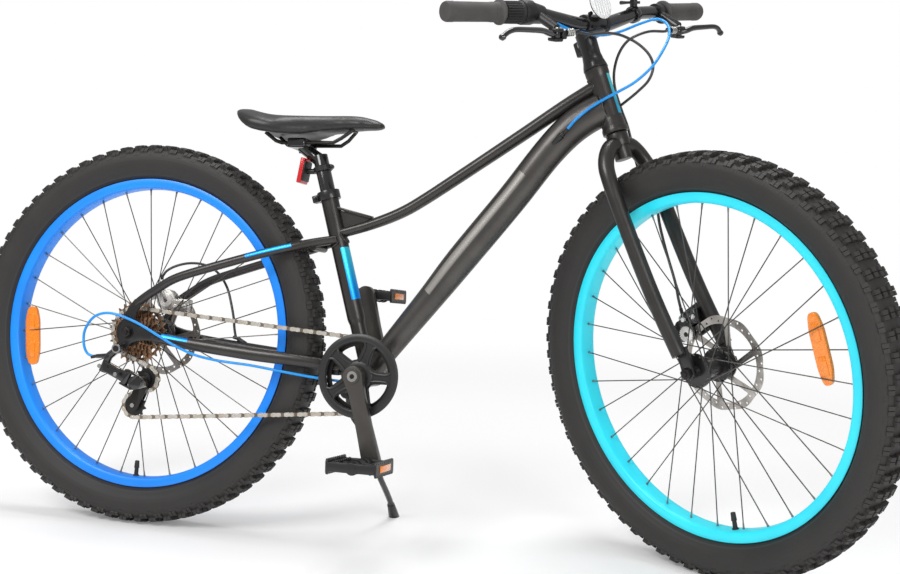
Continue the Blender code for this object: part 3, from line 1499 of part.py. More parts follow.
def rear_caliper():
    """The rear brake caliper, between the rotor's edge and the left seat stay."""
    inner = REAR_ROTOR_PLACE - 0.0125
    outer = REAR_ROTOR_PLACE + 0.0055
    middle = (inner + outer) / 2
    body = caliper(
        (0.010, 0.0630),
        inner,
        outer,
        ((0.040, middle, 0.0520), (0.038, outer - inner, 0.026)),
        ((-0.004, inner + 0.0052, 0.078), (-0.0035, inner + 0.0055, 0.1000)),
    )
    body = cut(body, rotor_slot(REAR_ROTOR_PLACE))
    body = placed(body, Matrix.Translation(REAR_AXLE))
    return cut(body, seat_stay_shape(1, GAP))


def rear_arm_pivot():
    """The rear caliper arm's pivot on the barrel's inner face."""
    inner = REAR_ROTOR_PLACE - 0.0125
    return REAR_AXLE + Vector((0.0100, inner - GAP - 0.0016, 0.0630))


def seat_rails(grow=0.0):
    """The saddle's two rails, one wire bent round at the nose."""
    clamp = up_seat_tube(CLAMP_HEIGHT, CLAMP_SETBACK)
    rows = (
        (-0.058, 1.50, 0.0175),
        (-0.040, 1.18, 0.0030),
        (-0.030, 1.0, 0.0),
        (0.041, 1.0, 0.0012),
        (0.068, 0.92, 0.0010),
        (0.083, 0.80, 0.0100),
        (0.100, 0.45, 0.0250),
    )
    right = [clamp + Vector((x, -RAIL_SPREAD * out, z)) for x, out, z in rows]
    left = [Vector((p.x, -p.y, p.z)) for p in reversed(right)]
    return tube([*right, *left], RAIL_RADIUS + grow, 2)


def seat_post():
    """The seat post with its set-back head, whose jaws hold the rails."""
    clamp = up_seat_tube(CLAMP_HEIGHT, CLAMP_SETBACK)
    shaft = rod(up_seat_tube(SEAT_TUBE_LENGTH - POST_INSERTION), up_seat_tube(POST_TOP), POST_RADIUS)
    neck = rod(up_seat_tube(POST_TOP - 0.010), clamp - Vector((0, 0, 0.004)), 0.0125, 0.0105)
    jaws = block(clamp, (0.036, 2 * RAIL_SPREAD + 0.016, 0.017), rounding=0.003)
    bolt = rod(clamp - Vector((0.0, 0.0, 0.016)), clamp + Vector((0.0, 0.0, 0.012)), 0.005, sides=10)
    return cut(fused(shaft, neck, jaws, bolt), seat_rails(GAP))


def saddle():
    """The saddle's padded shell as a plain loft, hollow underneath for the rails."""
    clamp = up_seat_tube(CLAMP_HEIGHT, CLAMP_SETBACK)
    stations = (
        (-0.1190, 0.030, 0.0640, 0.0540),
        (-0.1070, 0.056, 0.0615, 0.0380),
        (-0.0850, 0.072, 0.0555, 0.0205),
        (-0.0550, 0.077, 0.0515, 0.0150),
        (-0.0250, 0.071, 0.0500, 0.0150),
        (0.0050, 0.058, 0.0510, 0.0120),
        (0.0350, 0.044, 0.0520, 0.0130),
        (0.0650, 0.033, 0.0530, 0.0170),
        (0.0950, 0.027, 0.0535, 0.0210),
        (0.1230, 0.023, 0.0510, 0.0260),
        (0.1430, 0.018, 0.0460, 0.0290),
        (0.1535, 0.009, 0.0400, 0.0310),
    )
    sections = []
    for x, half, top, low in stations:
        middle = (top + low) / 2
        ring = [
            (0.0, top),
            (0.60 * half, top - 0.0015),
            (0.90 * half, top - 0.10 * (top - low)),
            (half, middle),
            (0.94 * half, low),
            (0.60 * half, max(low, top - 0.024)),
            (0.0, max(low, top - 0.024)),
        ]
        ring += [(-y, z) for y, z in reversed(ring[1:-1])]
        sections.append([clamp + Vector((x, y, z)) for y, z in ring])
    return cut(lofted(sections), seat_rails(GAP))


def rear_reflector():
    """The red reflector on its arm, with a band round the seat post."""
    band_start = SEAT_TUBE_LENGTH + REFLECTOR_ABOVE_LIP
    inner = POST_RADIUS + GAP
    profile = [(inner, 0.0), (inner + 0.003, 0.0), (inner + 0.003, 0.010), (inner, 0.010)]
    band = turned(profile, up_seat_tube(band_start), SEAT_UP)
    middle = up_seat_tube(band_start + 0.0105, 0.0405)
    arm = rod(up_seat_tube(band_start + 0.005, POST_RADIUS + 0.0015), middle, 0.0050, sides=10)
    lean = math.pi / 2 - SEAT_ANGLE
    lens = block(middle + SEAT_BACK * 0.0035, (0.009, 0.052, 0.044), -lean, rounding=0.002)
    return fused(band, arm, lens)


def shift_cable_front():
    """The gear cable's front stretch, from the shifter to the down tube, in the steering frame."""
    route = [
        gear_cable_place(),
        gear_cable_place(0.0060),
        (0.0300, -0.085, 0.6030),
        (0.0265, -0.050, 0.5945),
        (0.0310, 0.000, 0.5850),
        (0.0400, 0.040, 0.5865),
        (0.0480, 0.090, 0.5975),
        (0.0620, 0.120, 0.5995),
        (0.0770, 0.123, 0.5830),
        (0.0860, 0.108, 0.5600),
        (0.0870, 0.083, 0.5360),
        (0.0780, 0.050, 0.5080),
        (0.0560, 0.022, 0.4900),
        (0.0330, -0.002, 0.4820),
        (0.0150, -0.0205, 0.4770),
        (-0.0057, -0.0403, 0.4695),
        (-0.0262, -0.0572, 0.4590),
        port_in_steering(-1, 0.0060),
        port_in_steering(-1),
    ]
    return cable(route)


def port_in_steering(side, beyond=CABLE_END_GAP):
    """A point this far outside a down tube port, seen from the turned steering frame."""
    spot, way = cable_port(side)
    spot = spot - way.normalized() * beyond - STEER_FOOT
    straight = Vector((spot.dot(STEER_FORWARD), spot.y, spot.dot(STEER_UP)))
    return Matrix.Rotation(-STEER, 3, "Z") @ straight


def rear_brake_cable_front():
    """The rear brake's cable from the right lever round to the down tube's left side."""
    route = [
        adjuster_place(-1),
        adjuster_place(-1, 0.0070),
        (0.0600, -0.060, 0.5740),
        (0.0570, -0.020, 0.5770),
        (0.0550, 0.005, 0.5770),
        (0.0545, 0.030, 0.5720),
        (0.0600, 0.052, 0.5560),
        (0.0640, 0.067, 0.5340),
        (0.0620, 0.070, 0.5120),
        (0.0500, 0.0625, 0.4930),
        (0.0280, 0.0530, 0.4820),
        (0.0030, 0.0440, 0.4740),
        (-0.0220, 0.0320, 0.4660),
        (-0.0460, 0.0140, 0.4570),
        port_in_steering(1, 0.0090),
        port_in_steering(1),
    ]
    return cable(route)


def front_brake_cable():
    """The front brake's cable from the left lever down inside the left fork leg to the caliper."""
    route = [
        adjuster_place(1),
        adjuster_place(1, 0.0070),
        (0.0640, 0.1260, 0.5755),
        (0.0580, 0.0950, 0.5785),
        (0.0470, 0.0680, 0.5750),
        (0.0330, 0.0540, 0.5680),
        (0.0130, 0.0490, 0.5530),
        (-0.0060, 0.0490, 0.5300),
        (-0.0150, 0.0500, 0.5030),
        (-0.0170, 0.0520, 0.4690),
        (-0.0165, 0.0535, 0.4360),
        (-0.0185, 0.0525, 0.4000),
        (-0.0185, 0.0490, 0.3680),
        (-0.0120, 0.0440, 0.3380),
        (-0.0020, 0.0405, 0.3120),
        (0.0035, 0.0390, 0.2850),
        (-0.0040, 0.0405, 0.2500),
        (-0.0125, 0.0465, 0.2050),
        (-0.0160, 0.0490, 0.1550),
        (-0.0187, 0.0470, 0.1250),
        (-0.0187, 0.0446, 0.0985 + CABLE_END_GAP),
    ]
    return cable(route)


def shift_cable_rear():
    """The gear cable's rear stretch, under the right chain stay and round to the derailleur."""
    stop, way = gear_cable_stop()
    route = [
        BRACKET + Vector((-0.0193, -0.0300, -0.0129)),
        BRACKET + Vector((-0.0450, -0.0370, -0.0115)),
        BRACKET + Vector((-0.0815, -0.0430, -0.0085)),
        BRACKET + Vector((-0.1200, -0.0490, -0.0040)),
        BRACKET + Vector((-0.1600, -0.0530, 0.0010)),
        REAR_AXLE + Vector((0.2370, -0.0560, -0.0465)),
        REAR_AXLE + Vector((0.2030, -0.0590, -0.0440)),
        REAR_AXLE + Vector((0.1710, -0.0625, -0.0410)),
        REAR_AXLE + Vector((0.1360, -0.0705, -0.0340)),
        REAR_AXLE + Vector((0.1020, -0.0775, -0.0210)),
        REAR_AXLE + Vector((0.0670, -0.0810, -0.0035)),
        REAR_AXLE + Vector((0.0280, -0.0840, 0.0160)),
        REAR_AXLE + Vector((-0.0090, -0.0860, 0.0290)),
        REAR_AXLE + Vector((-0.0390, -0.0870, 0.0325)),
        REAR_AXLE + Vector((-0.0640, -0.0875, 0.0230)),
        REAR_AXLE + Vector((-0.0790, -0.0885, -0.0010)),
        REAR_AXLE + Vector((-0.0790, -0.0890, -0.0260)),
        REAR_AXLE + Vector((-0.0710, -0.0890, -0.0420)),
        stop + way * 0.0060,
        stop + way * CABLE_END_GAP,
    ]
    return cable(route)


def rear_brake_cable_rear():
    """The rear brake's cable from the left chain stay, arching over the seat stay to the caliper."""
    spot, way = brake_port()
    inner = REAR_ROTOR_PLACE - 0.0125
    route = [
        spot - way.normalized() * CABLE_END_GAP,
        spot - way.normalized() * 0.0055,
        REAR_AXLE + Vector((0.1450, 0.0640, 0.0150)),
        REAR_AXLE + Vector((0.1400, 0.0680, 0.0360)),
        REAR_AXLE + Vector((0.1300, 0.0750, 0.0620)),
        REAR_AXLE + Vector((0.1190, 0.0810, 0.0870)),
        REAR_AXLE + Vector((0.1060, 0.0830, 0.1070)),
        REAR_AXLE + Vector((0.0900, 0.0800, 0.1240)),
        REAR_AXLE + Vector((0.0680, 0.0730, 0.1340)),
        REAR_AXLE + Vector((0.0440, 0.0640, 0.1350)),
        REAR_AXLE + Vector((0.0220, 0.0555, 0.1290)),
        REAR_AXLE + Vector((0.0055, 0.0490, 0.1190)),
        REAR_AXLE + Vector((-0.0025, inner + 0.0058, 0.1070)),
        REAR_AXLE + Vector((-0.0035, inner + 0.0055, 0.1000 + CABLE_END_GAP)),
    ]
    return cable(route)


def cable(route):
    """A cable's outer casing along a smooth curve through the route."""
    return tube(smooth_route(route, 2), CABLE_RADIUS, 1)


def steering_matrix():
    """The steering frame in the bike's frame, with the bars straight."""
    turn = Matrix((STEER_FORWARD, LEFT, STEER_UP)).transposed().to_4x4()
    return Matrix.Translation(STEER_FOOT) @ turn


def lowest_reach(upward):
    """How far below a wheel's centre its tyre reaches, for the way up seen in the wheel's frame."""
    across = abs(upward.y)
    round_way = math.sqrt(1 - across**2)
    half, height = TYRE_WIDTH / 2, TYRE_RADIUS - RIM_RADIUS
    shoulders = [(TYRE_RADIUS, 0.0), (RIM_RADIUS + 0.955 * height, 0.57 * half)]
    return max(radius * round_way + along * across for radius, along in shoulders)


def stance():
    """The matrix that leans the bike and lowers both tyres to the ground, and the front wheel's spin."""
    turned_steering = steering_matrix() @ Matrix.Rotation(STEER, 4, "Z")
    front_centre = turned_steering @ Vector((FORK_RAKE, 0.0, 0.0))

    def heights(pitch):
        turn = Matrix.Rotation(-LEAN, 4, "X") @ Matrix.Rotation(pitch, 4, "Y")
        rear_up = turn.to_3x3().transposed() @ Vector((0.0, 0.0, 1.0))
        front_up = turned_steering.to_3x3().transposed() @ rear_up
        rear = (turn @ REAR_AXLE).z - lowest_reach(rear_up)
        front = (turn @ front_centre).z - lowest_reach(front_up)
        return turn, rear, front, front_up

    low, high = -0.05, 0.05
    for _ in range(50):
        pitch = (low + high) / 2
        turn, rear, front, front_up = heights(pitch)
        if front > rear:
            low = pitch
        else:
            high = pitch
    column = 2 * math.pi / WHEEL_SIDES
    down = math.atan2(front_up.z, -front_up.x)
    spin = down - column * round(down / column)
    return Matrix.Translation((0.0, 0.0, -rear)) @ turn, spin


def ground_block(lean_matrix):
    """Everything below the ground, in the bike's own frame."""
    slab = block((0.5, 0.0, -0.25), (2.0, 1.0, 0.5))
    return placed(slab, lean_matrix.inverted())


def build_frame(bike):
    """The frame and what is fixed to it."""
    node("head_tube", head_tube(), "charcoal paint", bike)
    node("top_tube", top_tube(), "charcoal paint", bike)
    node("down_tube", down_tube(), "charcoal paint", bike)
    node("seat_tube", seat_tube(), "charcoal paint", bike)
    for side, name in ((-1, "right"), (1, "left")):
        node(f"chain_stay_{name}", chain_stay(side), "charcoal paint", bike)
    node("seat_stays", seat_stays(), "charcoal paint", bike)
    node("seat_collar", seat_collar(), "black paint", bike)
    node("kickstand_mount", kickstand_mount(), "black paint", bike)
    seat_end = -(freewheel_seat()[1] + 0.0053)
    rear = axle(REAR_HUB_WIDTH, DROPOUT_THICKNESS, (seat_end, REAR_HUB_WIDTH / 2 - 0.0032))
    node("rear_axle", placed(rear, Matrix.Translation(REAR_AXLE)), "dark steel", bike)
    node("rear_caliper", rear_caliper(), "bright steel", bike)
    node("derailleur_body", derailleur_body(), "black paint", bike)
    node("shift_cable_rear", shift_cable_rear(), "blue cable", bike)
    node("rear_brake_cable_rear", rear_brake_cable_rear(), "black plastic", bike)


def build_seat(bike):
    """The seat post, which slides in the seat tube, and what it carries."""
    post = marker("seat_post_slide", bike, facing(SEAT_UP, up_seat_tube(SEAT_TUBE_LENGTH)))
    home = post.matrix_basis.inverted()
    for name, thing, finish in (
        ("seat_post", seat_post(), "black paint"),
        ("saddle_rails", seat_rails(), "dark steel"),
        ("saddle", saddle(), "black plastic"),
        ("rear_reflector", rear_reflector(), "red lens"),
    ):
        node(name, placed(thing, home), finish, post)


def build_drivetrain(bike):
    """Cranks, pedals, sprockets, chain and derailleur."""
    crank = marker(
        "crank_axis", bike, Matrix.Translation(BRACKET) @ Matrix.Rotation(CRANK_ANGLE, 4, "Y")
    )
    ring = toothed(RING_TEETH, RING_RADIUS, 0.0032)
    node("chainring", windowed_disc(ring, 0.0024, -CHAIN_LINE, 0.027, 0.054), "bronze steel", crank)
    guard = circle((0.0, 0.0), GUARD_RADIUS, 36)
    node(
        "chain_guard",
        windowed_disc(guard, GUARD_THICKNESS, -GUARD_PLACE, 0.027, 0.058),
        "black plastic",
        crank,
    )
    spindle_end = CRANK_OFFSET + CRANK_THICKNESS / 2
    bore = rod((0, -0.01, 0), (0, -spindle_end - 2 * GAP, 0), SPINDLE_RADIUS + GAP)
    node("crank_right", cut(crank_arm(-1), bore), "charcoal paint", crank)
    spindle = rod((0, -spindle_end, 0), (0, spindle_end, 0), SPINDLE_RADIUS)
    node("crank_left", fused(crank_arm(1), spindle), "charcoal paint", crank)
    for side, name in ((-1, "right"), (1, "left")):
        level = Matrix.Translation((-side * CRANK_LENGTH, 0.0, 0.0)) @ Matrix.Rotation(
            -CRANK_ANGLE, 4, "Y"
        )
        node(f"pedal_{name}", pedal(side), "black plastic", marker(f"pedal_{name}_axis", crank, level))
    node("chain", chain(), "chain", bike)
    rear = marker("freewheel_axis", bike, Matrix.Translation(REAR_AXLE))
    node("freewheel", freewheel(), "bronze steel", rear)
    node("derailleur_link", derailleur_link(), "black paint", bike, LINK_START)
    node("derailleur_knuckle", derailleur_knuckle(), "black paint", bike, link_end())
    node("derailleur_cage", derailleur_cage(), "black paint", bike, KNUCKLE)
    for name, place in (("guide_pulley", GUIDE_PULLEY), ("tension_pulley", TENSION_PULLEY)):
        node(name, pulley(), "black plastic", marker(f"{name}_axis", bike, Matrix.Translation(place)))


def build_wheel(names, parent, hub_shape, rotor_place, rim_finish):
    """Tyre, rim, laced hub and rotor on one wheel's axis."""
    tyre_name, rim_name, hub_name, rotor_name = names
    node(tyre_name, tyre(), "rubber", parent)
    node(rim_name, rim(), rim_finish, parent)
    node(hub_name, hub_shape, "dark steel", parent)
    node(rotor_name, rotor(rotor_place), "bright steel", parent)


def build_steering(bike, spin):
    """The fork, handlebar and front wheel, turned together round the steering axis."""
    steer = marker("steering_axis", bike, steering_matrix() @ Matrix.Rotation(STEER, 4, "Z"))
    node("fork", fork(), "charcoal paint", steer)
    node("stem", stem(), "black paint", steer)
    node("handlebar", handlebar(), "black paint", steer)
    node("grip_right", grip(-1), "rubber", steer)
    node("grip_left", grip(1), "rubber", steer)
    node("shifter_housing", shifter_housing(), "black plastic", steer)
    node("lever_perch_left", lever_perch_left(), "black paint", steer)
    node("bell", bell(), "black plastic", steer)
    node("front_reflector", front_reflector(), "white lens", steer)
    node("front_caliper", front_caliper(), "black paint", steer)
    front = axle(FRONT_HUB_WIDTH, DROPOUT_THICKNESS, [FRONT_HUB_WIDTH / 2 - 0.0032] * 2)
    node("front_axle", placed(front, Matrix.Translation((FORK_RAKE, 0, 0))), "dark steel", steer)
    node("front_brake_cable", front_brake_cable(), "black plastic", steer)
    node("shift_cable_front", shift_cable_front(), "blue cable", steer)
    node("rear_brake_cable_front", rear_brake_cable_front(), "black plastic", steer)
    for side, name in ((-1, "right"), (1, "left")):
        node(f"brake_lever_{name}", brake_lever(side), "black paint", steer, lever_pivot(side))
    node("shift_grip", shift_grip(), "rubber", steer, bar_point(shift_grip_span()[1]))
    node("bell_striker", bell_striker(), "black plastic", steer, striker_pivot())
    pivot = front_arm_pivot()
    arm = caliper_arm(pivot, pivot + Vector((-0.010, 0.0, 0.024)))
    node("caliper_arm_front", arm, "bright steel", steer, pivot)
    wheel = marker(
        "front_wheel_axis",
        steer,
        Matrix.Translation((FORK_RAKE, 0, 0)) @ Matrix.Rotation(spin, 4, "Y"),
    )
    names = ("front_tyre", "front_rim", "front_hub", "front_rotor")
    build_wheel(names, wheel, front_hub(), FRONT_ROTOR_PLACE, "cyan rim")


def centre_over_floor(bike):
    """Move the bike so that the middle of its box stands over the origin."""
    bpy.context.view_layer.update()
    spots = [
        thing.matrix_world @ vertex.co
        for thing in bicycle.objects
        if thing.type == "MESH"
        for vertex in thing.data.vertices
    ]
    for axis in (0, 1):
        values = [spot[axis] for spot in spots]
        bike.location[axis] -= (min(values) + max(values)) / 2


def main():
    """Build every piece, then stand the bike on the floor."""
    clear_scene()
    matrix, spin = stance()
    bike = marker("bike", None, matrix)
    build_frame(bike)
    ground = ground_block(matrix)
    pivot = stand_places()[0]
    node("kickstand", kickstand(ground), "dark steel", bike, pivot)
    pivot = rear_arm_pivot()
    arm = caliper_arm(pivot, pivot + Vector((-0.018, 0.0, 0.024)))
    node("caliper_arm_rear", arm, "bright steel", bike, pivot)
    build_seat(bike)
    build_drivetrain(bike)
    wheel = marker("rear_wheel_axis", bike, Matrix.Translation(REAR_AXLE))
    names = ("rear_tyre", "rear_rim", "rear_hub", "rear_rotor")
    build_wheel(names, wheel, rear_hub(), REAR_ROTOR_PLACE, "blue rim")
    build_steering(bike, spin)
    centre_over_floor(bike)
    bpy.data.collections.remove(workshop)


main()
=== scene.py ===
"""The looks of a child's mountain bike on its side stand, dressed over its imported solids.

Every length is in metres and every angle in radians. A piece is drawn in the frame where it is simplest:
the bike's own upright frame (X forward, Y to the rider's left, Z up, origin on the ground under the rear
axle), the steering frame (Z up the steering axis), or a wheel's frame (Y along its axle). Its matrix then
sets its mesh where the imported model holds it.
"""

import logging
import math
from dataclasses import dataclass, replace
from enum import Enum
from typing import Any, Callable, Sequence

import bmesh
import bpy
from mathutils import Matrix, Vector


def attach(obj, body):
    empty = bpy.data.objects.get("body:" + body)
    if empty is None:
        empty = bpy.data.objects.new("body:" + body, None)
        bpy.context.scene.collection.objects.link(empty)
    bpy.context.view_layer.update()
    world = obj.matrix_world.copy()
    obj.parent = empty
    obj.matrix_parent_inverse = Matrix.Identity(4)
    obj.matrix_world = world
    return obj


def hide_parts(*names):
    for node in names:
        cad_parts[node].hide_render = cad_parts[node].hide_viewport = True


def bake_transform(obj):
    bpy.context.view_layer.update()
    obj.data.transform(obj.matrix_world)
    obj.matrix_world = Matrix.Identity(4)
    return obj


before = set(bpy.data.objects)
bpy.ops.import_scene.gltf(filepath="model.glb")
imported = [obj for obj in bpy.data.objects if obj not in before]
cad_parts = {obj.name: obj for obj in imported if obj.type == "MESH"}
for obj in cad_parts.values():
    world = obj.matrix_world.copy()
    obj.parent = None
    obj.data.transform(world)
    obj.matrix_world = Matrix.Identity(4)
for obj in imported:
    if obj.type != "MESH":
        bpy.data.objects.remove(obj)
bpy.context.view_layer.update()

Colour = tuple[float, float, float]
Point = Sequence[float]
Outline = Sequence[tuple[float, float]]
Loop = list[tuple[float, float]]
log = logging.getLogger("kids bike")


class Body(str, Enum):
    """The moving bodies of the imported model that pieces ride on."""

    FRAME = "frame"
    STEERER = "steerer"
    FRONT_WHEEL = "front_wheel"
    REAR_WHEEL = "rear_wheel"
    SPROCKETS = "sprockets"
    CRANKS = "cranks"
    PEDAL_RIGHT = "pedal_r"
    PEDAL_LEFT = "pedal_l"
    LEVER_RIGHT = "lever_r"
    LEVER_LEFT = "lever_l"
    ARM_FRONT = "arm_front"
    ARM_REAR = "arm_rear"
    TWIST_GRIP = "twist_grip"
    KNUCKLE = "knuckle"
    LINK = "link"
    CAGE = "cage"
    GUIDE = "guide"
    TENSION = "tension"
    STAND = "side_stand"
    STRIKER = "striker"
    SEAT = "seat"

    def place(self) -> Matrix:
        """The frame that this body's pieces are drawn in.

        Returns:
            The bike's own frame for most bodies, or one that turns with the body.
        """
        places = {
            Body.STEERER: Stance.steering, Body.FRONT_WHEEL: Stance.front_wheel,
            Body.LEVER_RIGHT: Stance.steering, Body.LEVER_LEFT: Stance.steering,
            Body.REAR_WHEEL: Stance.rear_wheel, Body.SPROCKETS: Stance.rear_wheel,
            Body.CRANKS: Stance.cranks, Body.PEDAL_RIGHT: lambda: Stance.pedal(Side.RIGHT),
            Body.PEDAL_LEFT: lambda: Stance.pedal(Side.LEFT),
        }
        return places.get(self, Stance.bike)()


class Side(int, Enum):
    """The two sides of the bike, by the sign of Y."""

    RIGHT = -1
    LEFT = 1


Span = tuple[Body, Body, Vector, Vector]

# Shared sizes of the bike
TYRE_RADIUS = 0.3515
RIM_BED = 0.268
SPOKES = 32
WHEELBASE = 1.0414
CHAIN_STAY_LENGTH = 0.4447
BRACKET_DROP = 0.053
FORK_RAKE = 0.04
CROWN_TOP = TYRE_RADIUS + 0.0682
CUP_HEIGHT = 0.012
HEAD_LENGTH = 0.104
CHAIN_PITCH = 0.0127
CHAIN_LINE = 0.047
RING_TEETH = 32
COG_TEETH = (28, 24, 22, 20, 18, 16, 14)
COG_IN_USE = 2
COG_SPACING = 0.0046
PULLEY_TEETH = 11
CRANK_LENGTH = 0.15
CRANK_ANGLE = math.radians(74)
HEAD_ANGLE = math.radians(70)
SEAT_ANGLE = math.radians(73.4)
SEAT_TUBE_LENGTH = 0.335
STAY_HALF = 0.068
BAR_HALF = 0.307
BAR_BEND = 0.13
BAR_AHEAD = 0.0207
GRIP_LENGTH = 0.108
GAP = 0.0003
CABLE_END_GAP = 0.0007
SHARP_ANGLE = math.radians(38)

LEFT = Vector((0, 1, 0))
REAR_AXLE = Vector((0, 0, TYRE_RADIUS))
BRACKET_AHEAD = math.sqrt(CHAIN_STAY_LENGTH**2 - BRACKET_DROP**2)
BRACKET = Vector((BRACKET_AHEAD, 0, TYRE_RADIUS - BRACKET_DROP))
SEAT_UP = Vector((-math.cos(SEAT_ANGLE), 0, math.sin(SEAT_ANGLE)))
SEAT_BACK = Vector((-math.sin(SEAT_ANGLE), 0, -math.cos(SEAT_ANGLE)))
STEER_FORWARD = Vector((math.sin(HEAD_ANGLE), 0, math.cos(HEAD_ANGLE)))
STEER_UP = Vector((-math.cos(HEAD_ANGLE), 0, math.sin(HEAD_ANGLE)))
STEER_FOOT = Vector((WHEELBASE, 0, TYRE_RADIUS)) - FORK_RAKE * STEER_FORWARD
HEAD_START = CROWN_TOP + GAP + CUP_HEIGHT
HEAD_END = HEAD_START + HEAD_LENGTH
TOP_TUBE_END = STEER_FOOT + STEER_UP * (HEAD_START + 0.0776)
DOWN_TUBE_END = STEER_FOOT + STEER_UP * (HEAD_START + 0.0334)
TOP_TUBE_FOOT = SEAT_TUBE_LENGTH - 0.0746
SEAT_STAY_TOP = TOP_TUBE_FOOT - 0.0141
BAR_HEIGHT = HEAD_END + GAP + 0.0165 + 0.048 + 0.0082
SHIFT_START = -(BAR_HALF - GRIP_LENGTH) + GAP
SHIFT_END = SHIFT_START + 0.041
GUIDE_PULLEY = REAR_AXLE + Vector((0.03, -CHAIN_LINE, -0.0835))
TENSION_PULLEY = REAR_AXLE + Vector((0.008, -CHAIN_LINE, -0.133))
LINK_START = REAR_AXLE + Vector((-0.036, -0.0845, -0.063))
STAY_PORT = REAR_AXLE.lerp(BRACKET, 0.352) + Vector((0, 0.0605, 0.015))
STAY_PORT_WAY = Vector((0.016, -0.0005, -0.0095))


def pitch_radius(teeth: int) -> float:
    """The radius of the circle that a sprocket's chain pins run on."""
    return CHAIN_PITCH / (2 * math.sin(math.pi / teeth))


def up_seat_tube(distance: float, back: float = 0.0) -> Vector:
    """A point up the seat tube from the bottom bracket, and behind its axis."""
    return BRACKET + SEAT_UP * distance + SEAT_BACK * back


class Stance:
    """How the bike stands: leaned on its side stand, with the bars turned to the right."""

    lean = math.radians(8.02)
    pitch = -0.00148296
    steer = math.radians(-35.16)
    offset = (-0.49278021, -0.10408524, 0)

    @classmethod
    def bike(cls) -> Matrix:
        """The bike's own upright frame, as it stands."""
        turn = Matrix.Rotation(-cls.lean, 4, "X") @ Matrix.Rotation(cls.pitch, 4, "Y")
        return Matrix.Translation(cls.offset) @ turn

    @classmethod
    def steering(cls) -> Matrix:
        """The steering frame, turned with the bars.

        Returns:
            The frame.
        """
        straight = Matrix((STEER_FORWARD, LEFT, STEER_UP)).transposed().to_4x4()
        foot = Matrix.Translation(STEER_FOOT)
        return cls.bike() @ foot @ straight @ Matrix.Rotation(cls.steer, 4, "Z")

    @classmethod
    def rear_wheel(cls) -> Matrix:
        """The rear wheel's frame, its origin on the axle."""
        return cls.bike() @ Matrix.Translation(REAR_AXLE)

    @classmethod
    def front_wheel(cls) -> Matrix:
        """The front wheel's frame, spun so that a spoke points at the ground as in the solids.

        Returns:
            The frame.
        """
        steering = cls.steering()
        up = steering.to_3x3().transposed() @ Vector((0, 0, 1))
        column = 2 * math.pi / SPOKES
        down = math.atan2(up.z, -up.x)
        spin = down - column * round(down / column)
        axle = Matrix.Translation((FORK_RAKE, 0, 0))
        return steering @ axle @ Matrix.Rotation(spin, 4, "Y")

    @classmethod
    def cranks(cls) -> Matrix:
        """The cranks' frame, whose -X runs up the left crank and +X down the right one."""
        turn = Matrix.Rotation(CRANK_ANGLE, 4, "Y")
        return cls.bike() @ Matrix.Translation(BRACKET) @ turn

    @classmethod
    def pedal(cls, side: Side) -> Matrix:
        """The level frame on a pedal's axle."""
        reach = Matrix.Translation((-side * CRANK_LENGTH, 0, 0))
        return cls.cranks() @ reach @ Matrix.Rotation(-CRANK_ANGLE, 4, "Y")


# Shader arithmetic


def operator(operation: str, swapped: bool = False) -> Callable[["Wire", Any], "Wire"]:
    """A method that makes a Math node of a wire and another value.

    Args:
        operation: What the node does.
        swapped: Whether the other value comes first.

    Returns:
        The method.
    """
    if swapped:
        return lambda self, other: self.maths(operation, other, self)
    return lambda self, other: self.maths(operation, self, other)


class Wire:
    """A shader value that takes part in Python arithmetic."""

    __add__, __radd__ = operator("ADD"), operator("ADD", True)
    __sub__, __rsub__ = operator("SUBTRACT"), operator("SUBTRACT", True)
    __mul__, __rmul__ = operator("MULTIPLY"), operator("MULTIPLY", True)

    def __init__(self, sheet: "NodeSheet", socket: bpy.types.NodeSocket) -> None:
        """Keep the socket and the sheet that it is drawn on."""
        self.sheet = sheet
        self.socket = socket

    def maths(self, operation: str, first: Any, second: Any = 0.0) -> "Wire":
        """A Math node of one or two values or wires."""
        return self.sheet.node("ShaderNodeMath", {"operation": operation}, {0: first, 1: second})

    def wave(self, length: float) -> "Wire":
        """A sine along this value with the given wave length, from -1 to 1."""
        return self.maths("SINE", self * (2 * math.pi / length))

    def step(self, low: float, high: float) -> "Wire":
        """A smooth step: 0 up to low and 1 from high, or the other way round when low is above high.

        Args:
            low: Where the step starts.
            high: Where the step ends.

        Returns:
            The mask.
        """
        settings = {"interpolation_type": "SMOOTHSTEP"}
        inputs = {"Value": self, "From Min": min(low, high), "From Max": max(low, high)}
        mask = self.sheet.node("ShaderNodeMapRange", settings, inputs)
        return mask if low < high else 1 - mask


